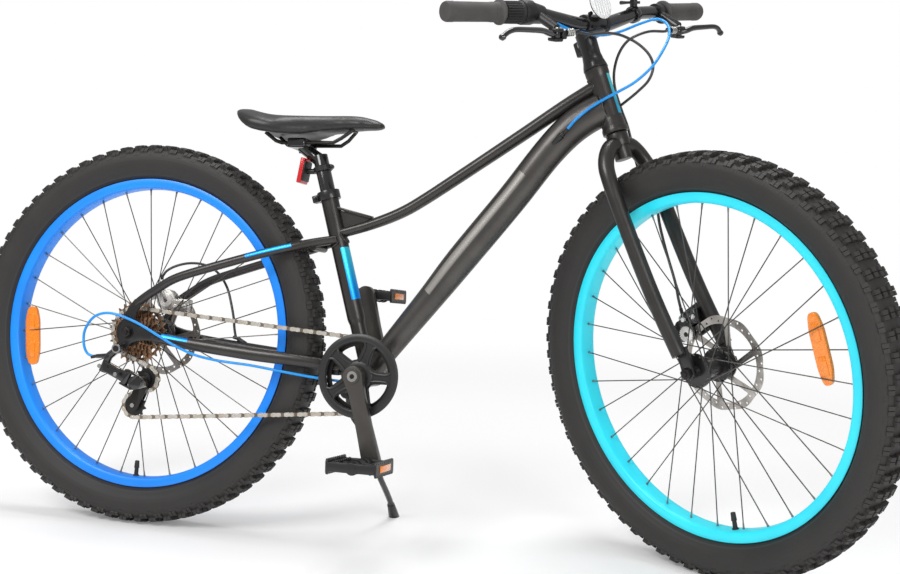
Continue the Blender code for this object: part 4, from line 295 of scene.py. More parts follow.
class NodeSheet:
    """The node tree of one material."""

    def __init__(self, name: str) -> None:
        """Start a material with one Principled shader.

        Args:
            name: The material's name.
        """
        self.material = bpy.data.materials.new(name)
        self.material.use_nodes = True
        self.tree = self.material.node_tree
        self.shader = self.tree.nodes["Principled BSDF"]

    def node(
        self, kind: str, settings: dict[str, Any] | None = None, inputs: dict[Any, Any] | None = None,
        output: Any = 0,
    ) -> Wire:
        """Add one node.

        Args:
            kind: The node's type.
            settings: Its properties, set before its sockets.
            inputs: Values or wires by socket name or number.
            output: The name or number of the output that is wanted.

        Returns:
            The wanted output.
        """
        made = self.tree.nodes.new(kind)
        for name, value in (settings or {}).items():
            setattr(made, name, value)
        for key, value in (inputs or {}).items():
            self.join(made.inputs[key], value)
        return Wire(self, made.outputs[output])

    def join(self, socket: bpy.types.NodeSocket, value: Any) -> None:
        """Link a wire to a socket, or set the socket's own value.

        Args:
            socket: The input.
            value: A wire, a number, a vector or a colour.
        """
        if isinstance(value, Wire):
            self.tree.links.new(value.socket, socket)
        elif socket.type == "RGBA" and len(value) == 3:
            socket.default_value = (*value, 1)
        else:
            socket.default_value = value

    def place(self) -> Wire:
        """Object coordinates, which are the bike's own metres."""
        return self.node("ShaderNodeTexCoord", output="Object")

    def facing(self, direction: Point) -> Wire:
        """How squarely the surface faces a direction, from -1 to 1."""
        normal = self.node("ShaderNodeTexCoord", output="Normal")
        return self.vectors("DOT_PRODUCT", normal, tuple(direction), "Value")

    def vectors(self, operation: str, first: Any, second: Any, output: Any = 0) -> Wire:
        """A Vector Math node of two vectors or wires."""
        settings = {"operation": operation}
        return self.node("ShaderNodeVectorMath", settings, {0: first, 1: second}, output)

    def along(self, place: Wire, origin: Point, direction: Point) -> Wire:
        """The distance of a place along a direction from an origin."""
        offset = self.vectors("SUBTRACT", place, tuple(origin))
        return self.vectors("DOT_PRODUCT", offset, tuple(direction), "Value")

    def noise(self, place: Wire, scale: float, detail: float = 3.0) -> Wire:
        """Noise of the given scale, from 0 to 1."""
        inputs = {"Vector": place, "Scale": scale, "Detail": detail}
        return self.node("ShaderNodeTexNoise", {}, inputs, 0)

    def cells(self, place: Wire, scale: float) -> Wire:
        """The distance to the nearest cell centre, as leather grain or lens prisms have it."""
        return self.node("ShaderNodeTexVoronoi", {}, {"Vector": place, "Scale": scale}, 0)

    def mix(self, factor: Any, first: Any, second: Any) -> Wire:
        """One colour or the other by a factor."""
        return self.node("ShaderNodeMix", {"data_type": "RGBA"}, {0: factor, 6: first, 7: second}, 2)

    def relief(self, height: Wire, depth: float) -> None:
        """Raise the surface by a height from 0 to 1, this deep."""
        bump = self.node("ShaderNodeBump", {}, {"Height": height, "Distance": depth}, "Normal")
        self.join(self.shader.inputs["Normal"], bump)

    def shade(self, **values: Any) -> None:
        """Set or link the Principled shader's sockets, named in lower case with underscores."""
        for name, value in values.items():
            self.join(self.shader.inputs[name.replace("_", " ").title()], value)


@dataclass(frozen=True)
class Finish:
    """A surface finish: a colour that drifts to a second one in patches, over a fine grain."""

    name: str
    slot: str
    colour: Colour
    drift: Colour
    roughness: float = 0.5
    uneven: float = 0.08
    metallic: float = 0.0
    coat: float = 0.0
    patch: float = 22.0
    grain: float = 1400.0
    depth: float = 0.00003

    def material(self) -> bpy.types.Material:
        """The material of this finish, made on first use."""
        found = bpy.data.materials.get(self.name)
        return found if found else self.mixed()

    def mixed(self) -> bpy.types.Material:
        """Draw the finish's nodes.

        Returns:
            The material.
        """
        sheet = NodeSheet(self.name)
        place = sheet.place()
        patches = sheet.noise(place, self.patch, 5)
        colour = self.tint(sheet, place, patches)
        rough = (patches - 0.5) * (2 * self.uneven) + self.roughness
        sheet.shade(base_color=colour, roughness=rough, metallic=self.metallic)
        if self.coat:
            sheet.shade(coat_weight=self.coat, coat_roughness=0.12)
        sheet.relief(self.height(sheet, place), self.depth)
        return sheet.material

    def tint(self, sheet: NodeSheet, place: Wire, patches: Wire) -> Wire:
        """The colour over the surface, which drifts with the patches."""
        return sheet.mix(patches.step(0.32, 0.72), self.colour, self.drift)

    def height(self, sheet: NodeSheet, place: Wire) -> Wire:
        """The height of the surface's grain."""
        return sheet.noise(place, self.grain, 2)


@dataclass(frozen=True)
class Stripe:
    """A plain colour stripe along one side of a tube, placed in the bike's frame."""

    origin: Point
    direction: Point
    start: float
    end: float
    side: Point
    first: Colour
    last: Colour
    narrow: float

    def over(self, sheet: NodeSheet, place: Wire, colour: Wire) -> Wire:
        """The colour with this stripe laid on it.

        Args:
            sheet: The material's sheet.
            place: Object coordinates.
            colour: What lies under the stripe.

        Returns:
            The striped colour.
        """
        run = sheet.along(place, Stance.bike() @ Vector(self.origin), bike_direction(self.direction))
        inside = run.step(self.start, self.start + 0.0006) * run.step(self.end, self.end - 0.0006)
        edge = sheet.facing(bike_direction(self.side)).step(self.narrow, self.narrow + 0.03)
        fade = run.step(self.start, self.end)
        return sheet.mix(inside * edge, colour, sheet.mix(fade, self.first, self.last))


@dataclass(frozen=True)
class SatinPaint(Finish):
    """Satin paint with metallic flakes and a faint orange peel, with plain stripes where it has any."""

    flake: Colour = (0.11, 0.105, 0.1)
    stripes: tuple[Stripe, ...] = ()

    def tint(self, sheet: NodeSheet, place: Wire, patches: Wire) -> Wire:
        """The paint's colour, with its flakes and stripes.

        Args:
            sheet: The material's sheet.
            place: Object coordinates.
            patches: The noise that the colours drift with.

        Returns:
            The colour.
        """
        colour = super().tint(sheet, place, patches)
        flakes = sheet.noise(place, 3200, 1).step(0.58, 0.74)
        colour = sheet.mix(flakes * 0.4, colour, self.flake)
        for stripe in self.stripes:
            colour = stripe.over(sheet, place, colour)
        return colour

    def height(self, sheet: NodeSheet, place: Wire) -> Wire:
        """Orange peel over the flakes' grain."""
        return sheet.noise(place, 420, 1) * 0.8 + sheet.noise(place, self.grain, 1) * 0.2


@dataclass(frozen=True)
class WheelFinish(Finish):
    """A finish with rings round a wheel's axle, as a sidewall or a turned rim has."""

    centre: tuple[float, float, float] = (0, 0, 0)
    axle: tuple[float, float, float] = (0, 1, 0)
    ring: float = 0.004

    def radius(self, sheet: NodeSheet, place: Wire) -> Wire:
        """The distance from the axle.

        Args:
            sheet: The material's sheet.
            place: Object coordinates.

        Returns:
            The radius.
        """
        offset = sheet.vectors("SUBTRACT", place, self.centre)
        across = sheet.vectors("DOT_PRODUCT", offset, self.axle, "Value")
        whole = sheet.vectors("LENGTH", offset, (0, 0, 0), "Value")
        return sheet.node("ShaderNodeMath", {"operation": "SQRT"}, {0: whole * whole - across * across})

    def height(self, sheet: NodeSheet, place: Wire) -> Wire:
        """Rings over a fine grain."""
        rings = self.radius(sheet, place).wave(self.ring) * 0.25 + 0.5
        return rings + sheet.noise(place, self.grain, 2) * 0.5


@dataclass(frozen=True)
class TyreRubber(WheelFinish):
    """Tyre rubber: matt, darker and cleaner on the wall, dusty at the tread, with moulded rings."""

    def tint(self, sheet: NodeSheet, place: Wire, patches: Wire) -> Wire:
        """The rubber's colour, paler towards the tread and along a thin line at the bead.

        Args:
            sheet: The material's sheet.
            place: Object coordinates.
            patches: The noise that the colours drift with.

        Returns:
            The colour.
        """
        radius = self.radius(sheet, place)
        tread = radius.step(0.318, 0.345)
        mould = radius.step(0.2915, 0.292) * radius.step(0.294, 0.2935)
        base = sheet.mix(patches.step(0.3, 0.75) * 0.6 + tread * 0.4, self.colour, self.drift)
        return sheet.mix(mould * 0.6, base, (0.04, 0.037, 0.035))


@dataclass(frozen=True)
class Lens(Finish):
    """A clear reflector lens over small moulded prisms, each with a painted glint in its middle."""

    prism: float = 420.0

    def tint(self, sheet: NodeSheet, place: Wire, patches: Wire) -> Wire:
        """The lens colour, with a painted glint in the middle of each prism."""
        # Painted glint: the middle of each prism takes the lens's brighter first colour.
        middle = sheet.cells(place, self.prism).step(0.55, 0.1)
        return sheet.mix(middle, self.drift, self.colour)

    def height(self, sheet: NodeSheet, place: Wire) -> Wire:
        """The prisms' own height."""
        return sheet.cells(place, self.prism)


@dataclass(frozen=True)
class Leatherette(Finish):
    """Saddle cover: a pebbled grain with soft creases."""

    def height(self, sheet: NodeSheet, place: Wire) -> Wire:
        """Pebbles and creases."""
        return sheet.cells(place, self.grain) * 0.7 + sheet.noise(place, 90, 4) * 0.5


@dataclass(frozen=True)
class BrushedMetal(Finish):
    """Bare metal with fine drawn lines and smudges."""

    lines: tuple[float, float, float] = (40, 2500, 2500)

    def height(self, sheet: NodeSheet, place: Wire) -> Wire:
        """Fine lines along the metal."""
        drawn = sheet.vectors("MULTIPLY", place, self.lines)
        return sheet.noise(drawn, 1, 2)


def bike_direction(direction: Point) -> tuple[float, float, float]:
    """A direction of the bike's frame, as it stands."""
    return tuple(Stance.bike().to_3x3() @ Vector(direction).normalized())


CHARCOAL_PAINT = SatinPaint(
    "satin charcoal paint", "charcoal_paint", (0.058, 0.054, 0.051), (0.044, 0.041, 0.039),
    0.38, 0.05, 0.8, 0.2,
)
# The cranks' paint is the charcoal paint made paler: painted light for the lit grey of the cranks.
CRANK_PAINT_PALED_AS_PAINTED_LIGHT = replace(
    CHARCOAL_PAINT, name="satin crank paint paled as painted light", colour=(0.11, 0.102, 0.093), drift=(0.088, 0.081, 0.074)
)


def striped(pattern: str, stripe: Stripe, **changes: Any) -> SatinPaint:
    """The charcoal paint with one stripe, and with any other changes."""
    name = f"satin charcoal paint with a {pattern}"
    return replace(CHARCOAL_PAINT, name=name, stripes=(stripe,), **changes)


STAY_STRIPE = Stripe(
    REAR_AXLE + Vector((0.1, -0.068, 0.1)), (1, 0, 0.42), 0.127, 0.212, (0, -1, 0.45),
    (0.01, 0.26, 0.85), (0.03, 0.42, 0.95), 0.86,
)
CHAIN_STAY_STRIPE = Stripe(
    REAR_AXLE, (1, 0, -0.12), 0.066, 0.118, (0, -1, 0.75), (0.02, 0.38, 0.95), (0.01, 0.22, 0.7), 0.9
)
SEAT_TUBE_BAND = Stripe(
    BRACKET, SEAT_UP, 0.136, 0.232, (1, -0.5, 0.3), (0, 0.3, 0.95), (0.05, 0.7, 0.95), 0.66
)
DOWN_TUBE_STRIPE = Stripe(
    BRACKET, DOWN_TUBE_END - BRACKET, 0.183, 0.448, (-0.23, -0.96, 0.18),
    (0.32, 0.305, 0.285), (0.2, 0.19, 0.178), 0.95,
)
HEAD_BAND = Stripe(
    STEER_FOOT + STEER_UP * HEAD_START, STEER_UP, 0.018, 0.09, STEER_FORWARD,
    (0.02, 0.55, 0.9), (0.1, 0.8, 0.85), 0.8,
)
STRIPED_STAYS = striped("blue stripe on the seat stay", STAY_STRIPE)
STRIPED_CHAIN_STAY = striped("blue stripe on the chain stay", CHAIN_STAY_STRIPE)
STRIPED_SEAT_TUBE = striped("blue and cyan band", SEAT_TUBE_BAND)
# The down tube's paint is a paler copy of the charcoal paint: painted light for the pale band the light
# lays along the tube. The silver stripe is print.
STRIPED_DOWN_TUBE_PALED_AS_PAINTED_LIGHT = striped(
    "plain silver stripe", DOWN_TUBE_STRIPE, colour=(0.092, 0.086, 0.08), drift=(0.072, 0.067, 0.063)
)
BADGED_HEAD = striped("plain cyan front band", HEAD_BAND)
BLACK_PAINT = SatinPaint(
    "satin black paint", "black_paint", (0.013, 0.012, 0.012), (0.009, 0.0085, 0.0085), 0.32, 0.05,
    0.2, 0.4, flake=(0.035, 0.034, 0.033),
)
GLOSS_BLACK = replace(
    BLACK_PAINT, name="gloss black paint", roughness=0.16, uneven=0.03, coat=0.8, depth=0.000015
)
BLUE_RIM = WheelFinish(
    "blue rim paint", "blue_rim", (0, 0.275, 1), (0, 0.235, 0.92), 0.42, 0.04, 0, 0.15,
    9, 900, 0.00002, tuple(Stance.rear_wheel().translation), bike_direction(LEFT), 0.0013,
)
CYAN_RIM = replace(
    BLUE_RIM, name="cyan rim paint", slot="cyan_rim", colour=(0.025, 0.85, 1), drift=(0.02, 0.76, 0.96),
    centre=tuple(Stance.front_wheel().translation), axle=tuple(Stance.front_wheel().to_3x3() @ LEFT),
)
REAR_RUBBER = TyreRubber(
    "rear tyre rubber", "tyre", (0.019, 0.0175, 0.0165), (0.028, 0.0255, 0.024), 0.6, 0.1, 0, 0,
    16, 2200, 0.00018, BLUE_RIM.centre, BLUE_RIM.axle, 0.0065,
)
FRONT_RUBBER = replace(REAR_RUBBER, name="front tyre rubber", centre=CYAN_RIM.centre, axle=CYAN_RIM.axle)
SPOKE_STEEL = BrushedMetal(
    "drawn spoke steel", "dark_steel", (0.12, 0.115, 0.11), (0.07, 0.066, 0.062), 0.34, 0.08, 0.85
)
BLACK_STEEL = BrushedMetal(
    "blacked steel", "dark_steel", (0.035, 0.033, 0.032), (0.022, 0.021, 0.02), 0.38, 0.08, 0.7
)
BRIGHT_STEEL = BrushedMetal(
    "stainless steel", "bright_steel", (0.6, 0.59, 0.56), (0.48, 0.465, 0.44), 0.26, 0.08, 1.0
)
DIAL_STEEL = replace(
    BRIGHT_STEEL, name="pale dial steel", colour=(0.86, 0.85, 0.83), drift=(0.74, 0.73, 0.71), metallic=0.5
)
ROTOR_STEEL = WheelFinish(
    "brake disc steel", "bright_steel", (0.56, 0.54, 0.51), (0.4, 0.37, 0.34), 0.3, 0.08, 0.95,
    0, 30, 1200, 0.00002, BLUE_RIM.centre, BLUE_RIM.axle, 0.0007,
)
CHAIN_STEEL = BrushedMetal(
    "oiled chain steel", "bright_steel", (0.88, 0.85, 0.78), (0.66, 0.58, 0.48), 0.26, 0.1, 0.8, patch=40.0
)
# Steel for the chain's inner links. The brown is the chain's own; the extra darkness is painted shade
# between the outer plates.
ROLLER_STEEL_DARKENED_AS_PAINTED_SHADE = BrushedMetal(
    "browned roller steel", "bright_steel", (0.34, 0.28, 0.22), (0.2, 0.16, 0.125), 0.32, 0.1, 0.85
)
BRONZE_STEEL = WheelFinish(
    "browned sprocket steel", "bronze_steel", (0.46, 0.28, 0.17), (0.17, 0.105, 0.065), 0.28,
    0.12, 0.85, 0, 70, 1200, 0.00003, BLUE_RIM.centre, BLUE_RIM.axle, 0.0009,
)
GRIP_RUBBER = Finish(
    "grip rubber", "rubber", (0.075, 0.07, 0.068), (0.058, 0.054, 0.052), 0.7, 0.08, 0, 0, 30, 1800, 0.00008
)
BLACK_RUBBER = Finish(
    "black rubber", "rubber", (0.013, 0.0125, 0.012), (0.02, 0.019, 0.0185), 0.6, 0.1, 0, 0,
    40, 1600, 0.00008,
)
BLACK_PLASTIC = Finish(
    "moulded black plastic", "black_plastic", (0.014, 0.013, 0.013), (0.01, 0.0095, 0.0095), 0.4,
    0.08, 0, 0, 30, 1500, 0.00006,
)
GUARD_PLASTIC = Finish(
    "grained guard plastic", "black_plastic", (0.023, 0.022, 0.0215), (0.016, 0.0155, 0.015), 0.36,
    0.07, 0, 0, 30, 1300, 0.00008,
)
ALLOY = BrushedMetal("cast alloy", "alloy", (0.62, 0.6, 0.56), (0.46, 0.44, 0.41), 0.34, 0.1, 0.9)
GREY_ALLOY = BrushedMetal(
    "blasted grey alloy", "grey_alloy", (0.3, 0.29, 0.28), (0.2, 0.19, 0.185), 0.42, 0.08, 0.8
)
# Each lens's first colour is the painted glint in its prisms' middles, and the second is the lens between
# them.
RED_LENS = Lens(
    "red lens", "red_lens", (0.85, 0.01, 0.015), (0.55, 0.005, 0.009), 0.16, 0.04, 0, 0.8, depth=0.0001
)
WHITE_LENS = Lens(
    "clear lens", "white_lens", (0.9, 0.9, 0.89), (0.8, 0.81, 0.81), 0.14, 0.04, 0, 0.8, depth=0.00004
)
ORANGE_LENS = replace(RED_LENS, name="orange lens", colour=(1, 0.36, 0.012), drift=(0.9, 0.22, 0.004))
BLACK_CASING = Finish(
    "black cable casing", "cable_black", (0.03, 0.028, 0.027), (0.022, 0.02, 0.02), 0.36, 0.05,
    0, 0.3, 60, 900, 0.00002,
)
BLUE_CASING = replace(
    BLACK_CASING, name="blue cable casing", slot="cable_blue", colour=(0.002, 0.32, 0.84),
    drift=(0.001, 0.26, 0.74), roughness=0.4, coat=0.15,
)
SADDLE_COVER = Leatherette(
    "saddle cover", "saddle_cover", (0.015, 0.014, 0.0135), (0.011, 0.0105, 0.01), 0.42, 0.05, 0,
    0.1, 26, 500, 0.00002,
)


# Shapes


def facing(direction: Point, centre: Point) -> Matrix:
    """The matrix that stands local Z along a direction at a centre, and keeps X level where it can.

    Args:
        direction: The way that Z points.
        centre: The new origin.

    Returns:
        The matrix.
    """
    up = Vector(direction).normalized()
    side = up.cross(LEFT) if abs(up.y) < 0.9 else Vector((1, 0, 0))
    side = (side - up * side.dot(up)).normalized()
    turn = Matrix((side, up.cross(side), up)).transposed().to_4x4()
    return Matrix.Translation(centre) @ turn


def smooth_route(points: Sequence[Point], steps: int = 6) -> list[Vector]:
    """Points on a smooth curve through the route's own points.

    Args:
        points: The route.
        steps: How many points each stretch becomes.

    Returns:
        The finer route.
    """
    points = [Vector(point) for point in points]
    ends = [2 * points[0] - points[1], *points, 2 * points[-1] - points[-2]]
    route = []
    for before, here, there, after in zip(ends, ends[1:], ends[2:], ends[3:]):
        for step in range(steps):
            t = step / steps
            bend = (2 * before - 5 * here + 4 * there - after) * t**2
            turn = (3 * here - 3 * there + after - before) * t**3
            route.append(0.5 * (2 * here + (there - before) * t + bend + turn))
    return [*route, points[-1]]


def polar(radius: float, angle: float) -> tuple[float, float]:
    """The flat point at a radius and an angle."""
    return radius * math.cos(angle), radius * math.sin(angle)


def around(radius: float, angle: float, y: float = 0.0) -> Vector:
    """The point at a radius and an angle round the Y axis."""
    return Vector((radius * math.cos(angle), y, radius * math.sin(angle)))


def mirrored(half: Outline) -> Outline:
    """Half of a wheel's (radius, along) profile and its mirror image."""
    return [*half, *((radius, -along) for radius, along in reversed(half))]


def circle(
    radius: float, count: int, start: float = 0.0, sweep: float = 2 * math.pi,
    centre: tuple[float, float] = (0, 0),
) -> Loop:
    """Points round a circle, or along an arc that includes both its ends.

    Args:
        radius: The circle's radius.
        count: How many points.
        start: The first point's angle.
        sweep: The angle that the points cover.
        centre: The circle's centre.

    Returns:
        The points.
    """
    steps = count if abs(sweep) > 6.28 else count - 1
    angles = [start + sweep * i / steps for i in range(count)]
    return [(centre[0] + radius * math.cos(a), centre[1] + radius * math.sin(a)) for a in angles]


def rounded(outline: Outline, radius: float) -> Loop:
    """An outline with each corner cut by a short curve.

    Args:
        outline: The corners.
        radius: How far from a corner the curve starts.

    Returns:
        The rounder outline.
    """
    made = []
    count = len(outline)
    for i in range(count):
        corner = Vector(outline[i])
        before = Vector(outline[i - 1]) - corner
        after = Vector(outline[(i + 1) % count]) - corner
        first = corner + before * min(radius / before.length, 0.45)
        last = corner + after * min(radius / after.length, 0.45)
        for t in (0, 0.33, 0.67, 1):
            spot = first.lerp(corner, t).lerp(corner.lerp(last, t), t)
            made.append((spot.x, spot.y))
    return made


def route_frames(points: Sequence[Vector], closed: bool = False) -> list[Matrix]:
    """Frames along a route whose Z follows it, turned as little as possible from one to the next.

    Args:
        points: The route.
        closed: Whether the route's end joins its start.

    Returns:
        One matrix for each point.
    """
    frames = []
    side = None
    count = len(points)
    for i, point in enumerate(points):
        ahead = points[(i + 1) % count] if closed or i < count - 1 else point
        behind = points[i - 1] if closed or i else point
        way = (ahead - behind).normalized()
        side = way.orthogonal() if side is None else side
        side = (side - way * side.dot(way)).normalized()
        turn = Matrix((side, way.cross(side), way)).transposed().to_4x4()
        frames.append(Matrix.Translation(point) @ turn)
    return frames


class Form:
    """A shape in the making, with the few operations that the bike's pieces are made by."""

    def __init__(self) -> None:
        """Start with nothing."""
        self.bm = bmesh.new()

    def take(self, bm: bmesh.types.BMesh, matrix: Matrix | None = None) -> "Form":
        """Add a finished bmesh, moved by a matrix, and use it up.

        Args:
            bm: The shape to add.
            matrix: Where it goes.

        Returns:
            This form.
        """
        mesh = bpy.data.meshes.new("shape")
        bm.to_mesh(mesh)
        bm.free()
        if matrix is not None:
            mesh.transform(matrix)
        self.bm.from_mesh(mesh)
        bpy.data.meshes.remove(mesh)
        return self

    def add(self, other: "Form", matrix: Matrix) -> "Form":
        """Add a copy of another form, moved by a matrix."""
        return self.take(other.bm.copy(), matrix)

    def rod(
        self, start: Point, end: Point, radius: float, end_radius: float | None = None, sides: int = 24,
        bevel: float = 0.0,
    ) -> "Form":
        """Add a straight round bar.

        Args:
            start: The centre of one end.
            end: The centre of the other end.
            radius: The first end's radius.
            end_radius: The other end's radius, when it tapers.
            sides: How many sides its section has.
            bevel: How far its two rims are rounded.

        Returns:
            This form.
        """
        start, end = Vector(start), Vector(end)
        bm = bmesh.new()
        bmesh.ops.create_cone(
            bm, cap_ends=True, segments=sides, radius1=radius,
            radius2=radius if end_radius is None else end_radius, depth=(end - start).length,
            matrix=facing(end - start, (start + end) / 2),
        )
        if bevel:
            soften(bm, bevel, 2, math.radians(50))
        return self.take(bm)

    def block(
        self, centre: Point, size: Point, turn: Matrix | None = None, bevel: float = 0.0, segments: int = 2
    ) -> "Form":
        """Add a box.

        Args:
            centre: Its centre.
            size: Its three sides.
            turn: How it is turned.
            bevel: How far its edges are rounded.
            segments: How many faces round an edge.

        Returns:
            This form.
        """
        bm = bmesh.new()
        bmesh.ops.create_cube(bm, size=1.0, matrix=Matrix.Diagonal((*size, 1)))
        if bevel:
            soften(bm, bevel, segments)
        place = Matrix.Translation(centre)
        return self.take(bm, place @ turn.to_4x4() if turn is not None else place)

    def turned(
        self, profile: Outline, centre: Point = (0, 0, 0), axis: Point = (0, 1, 0),
        sides: int = 48, closed: bool = True,
    ) -> "Form":
        """Add a profile turned full circle.

        Args:
            profile: Radius and distance along the axis, point by point.
            centre: Where the axis starts.
            axis: The way it points.
            sides: How many steps the turn has.
            closed: Whether the profile's end joins its start.

        Returns:
            This form.
        """
        bm = bmesh.new()
        verts = [bm.verts.new((radius, 0, along)) for radius, along in profile]
        pairs = list(zip(verts, verts[1:]))
        if closed:
            pairs.append((verts[-1], verts[0]))
        edges = [bm.edges.new(pair) for pair in pairs]
        bmesh.ops.spin(
            bm, geom=verts + edges, cent=(0, 0, 0), axis=(0, 0, 1), dvec=(0, 0, 0),
            angle=2 * math.pi, steps=sides, use_merge=True,
        )
        bmesh.ops.remove_doubles(bm, verts=bm.verts[:], dist=0.000001)
        return self.take(bm, facing(axis, centre))

    def tube(
        self, route: Sequence[Point], radii: float | Sequence[float], sides: int = 24,
        flatten: float = 1.0, closed: bool = False,
    ) -> "Form":
        """Add a bent tube.

        Args:
            route: The points that it follows.
            radii: Its radius, or one for each point.
            sides: How many sides its section has.
            flatten: How much its section is stretched along Y.
            closed: Whether it is a ring.

        Returns:
            This form.
        """
        points = [Vector((spot[0], spot[1] / flatten, spot[2])) for spot in route]
        sizes = list(radii) if hasattr(radii, "__len__") else [radii] * len(points)
        bm = bmesh.new()
        bmesh.ops.create_circle(bm, cap_ends=False, segments=sides, radius=1.0)
        verts, ring = bm.verts[:], bm.edges[:]
        first, last = ring, Matrix.Identity(4)
        for i, (place, size) in enumerate(zip(route_frames(points, closed), sizes)):
            here = place @ Matrix.Diagonal((size, size, 1, 1))
            if i:
                grown = bmesh.ops.extrude_edge_only(bm, edges=ring)["geom"]
                verts = [item for item in grown if isinstance(item, bmesh.types.BMVert)]
                held = set(verts)
                edges = [item for item in grown if isinstance(item, bmesh.types.BMEdge)]
                ring = [edge for edge in edges if held.issuperset(edge.verts)]
            bmesh.ops.transform(bm, matrix=here @ last.inverted(), verts=verts)
            last = here
        if closed:
            bmesh.ops.bridge_loops(bm, edges=first + ring)
        else:
            bmesh.ops.edgeloop_fill(bm, edges=first)
            bmesh.ops.edgeloop_fill(bm, edges=ring)
        return self.take(bm, Matrix.Diagonal((1, flatten, 1, 1)))

    def plate(
        self, outline: Outline, thickness: float, y: float = 0.0, holes: Sequence[Outline] = (),
        bevel: float = 0.0, segments: int = 1, matrix: Matrix | None = None,
    ) -> "Form":
        """Add a flat piece drawn in X and Z, with holes through it.

        Args:
            outline: Its outer edge.
            thickness: How thick it is, half on each side of y.
            y: Where its middle lies.
            holes: The edges of its holes.
            bevel: How far its edges are rounded.
            segments: How many faces round an edge.
            matrix: Where it goes.

        Returns:
            This form.
        """
        bm = bmesh.new()
        for loop in (outline, *holes):
            verts = [bm.verts.new((x, y - thickness / 2, z)) for x, z in loop]
            for pair in zip(verts, verts[1:] + verts[:1]):
                bm.edges.new(pair)
        bmesh.ops.triangle_fill(bm, use_beauty=True, edges=bm.edges[:])
        grown = bmesh.ops.extrude_face_region(bm, geom=bm.faces[:])["geom"]
        raised = [item for item in grown if isinstance(item, bmesh.types.BMVert)]
        bmesh.ops.translate(bm, verts=raised, vec=(0, thickness, 0))
        bmesh.ops.recalc_face_normals(bm, faces=bm.faces[:])
        if bevel:
            soften(bm, bevel, segments)
        return self.take(bm, matrix)

    def row_round(self, count: int, axis: Point = (0, 1, 0)) -> "Form":
        """Repeat everything so far round an axis through the origin, to this many in all."""
        bmesh.ops.spin(
            self.bm, geom=self.bm.verts[:] + self.bm.edges[:] + self.bm.faces[:], cent=(0, 0, 0), axis=axis,
            dvec=(0, 0, 0), angle=2 * math.pi * (count - 1) / count, steps=count - 1, use_duplicate=True,
        )
        return self

    def solid_of(self, name: str, bevel: float = 0.0) -> "Form":
        """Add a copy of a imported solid, its loose triangles joined and its edges rounded.

        Args:
            name: The solid's name.
            bevel: How far its sharp edges are rounded.

        Returns:
            This form.
        """
        bm = bmesh.new()
        bm.from_mesh(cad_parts[name].data)
        bmesh.ops.remove_doubles(bm, verts=bm.verts[:], dist=0.00001)
        bmesh.ops.recalc_face_normals(bm, faces=bm.faces[:])
        bmesh.ops.dissolve_limit(bm, angle_limit=math.radians(1), verts=bm.verts[:], edges=bm.edges[:])
        if bevel:
            soften(bm, bevel, 2, SHARP_ANGLE)
        return self.take(bm)

    def into(
        self, name: str, finish: Finish, body: Body, solid: str = "", matrix: Matrix | None = None,
        blend: Span | None = None,
    ) -> bpy.types.Object:
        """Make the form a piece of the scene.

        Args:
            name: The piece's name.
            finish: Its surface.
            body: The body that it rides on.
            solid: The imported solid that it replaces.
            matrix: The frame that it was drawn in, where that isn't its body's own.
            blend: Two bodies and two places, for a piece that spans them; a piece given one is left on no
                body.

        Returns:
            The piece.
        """
        bmesh.ops.remove_doubles(self.bm, verts=self.bm.verts[:], dist=0.000001)
        bmesh.ops.recalc_face_normals(self.bm, faces=self.bm.faces[:])
        mesh = bpy.data.meshes.new(name)
        self.bm.to_mesh(mesh)
        self.bm.free()
        mesh.transform(body.place() if matrix is None else matrix)
        mesh.shade_smooth()
        mesh.set_sharp_from_angle(angle=SHARP_ANGLE)
        mesh.materials.append(finish.material())
        piece = linked(name, mesh)
        if blend:
            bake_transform(piece)
        else:
            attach(piece, body.value)
        if solid:
            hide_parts(solid)
        log.info("%s: %d faces on %s", name, len(mesh.polygons), body.value)
        return piece


def linked(name: str, data: bpy.types.ID) -> bpy.types.Object:
    """Put a mesh, camera or light into the scene.

    Args:
        name: The new object's name.
        data: What it shows.

    Returns:
        The object.
    """
    made = bpy.data.objects.new(name, data)
    bpy.context.scene.collection.objects.link(made)
    return made


def soften(bm: bmesh.types.BMesh, offset: float, segments: int, angle: float = math.radians(35)) -> None:
    """Round a bmesh's edges that are sharper than the angle, by an offset and in this many faces."""
    edges = [edge for edge in bm.edges if edge.is_manifold and edge.calc_face_angle(0) > angle]
    bmesh.ops.bevel(
        bm, geom=edges, offset=offset, offset_type="OFFSET", segments=segments, profile=0.5,
        affect="EDGES", clamp_overlap=True, material=-1,
    )


def dress_solid(name: str, finish: Finish, body: Body, bevel: float = 0.0004) -> bpy.types.Object:
    """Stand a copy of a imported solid, joined and with its sharp edges rounded, in its place."""
    return Form().solid_of(name, bevel).into(f"{name}_skin", finish, body, name, Matrix())


# Wheels


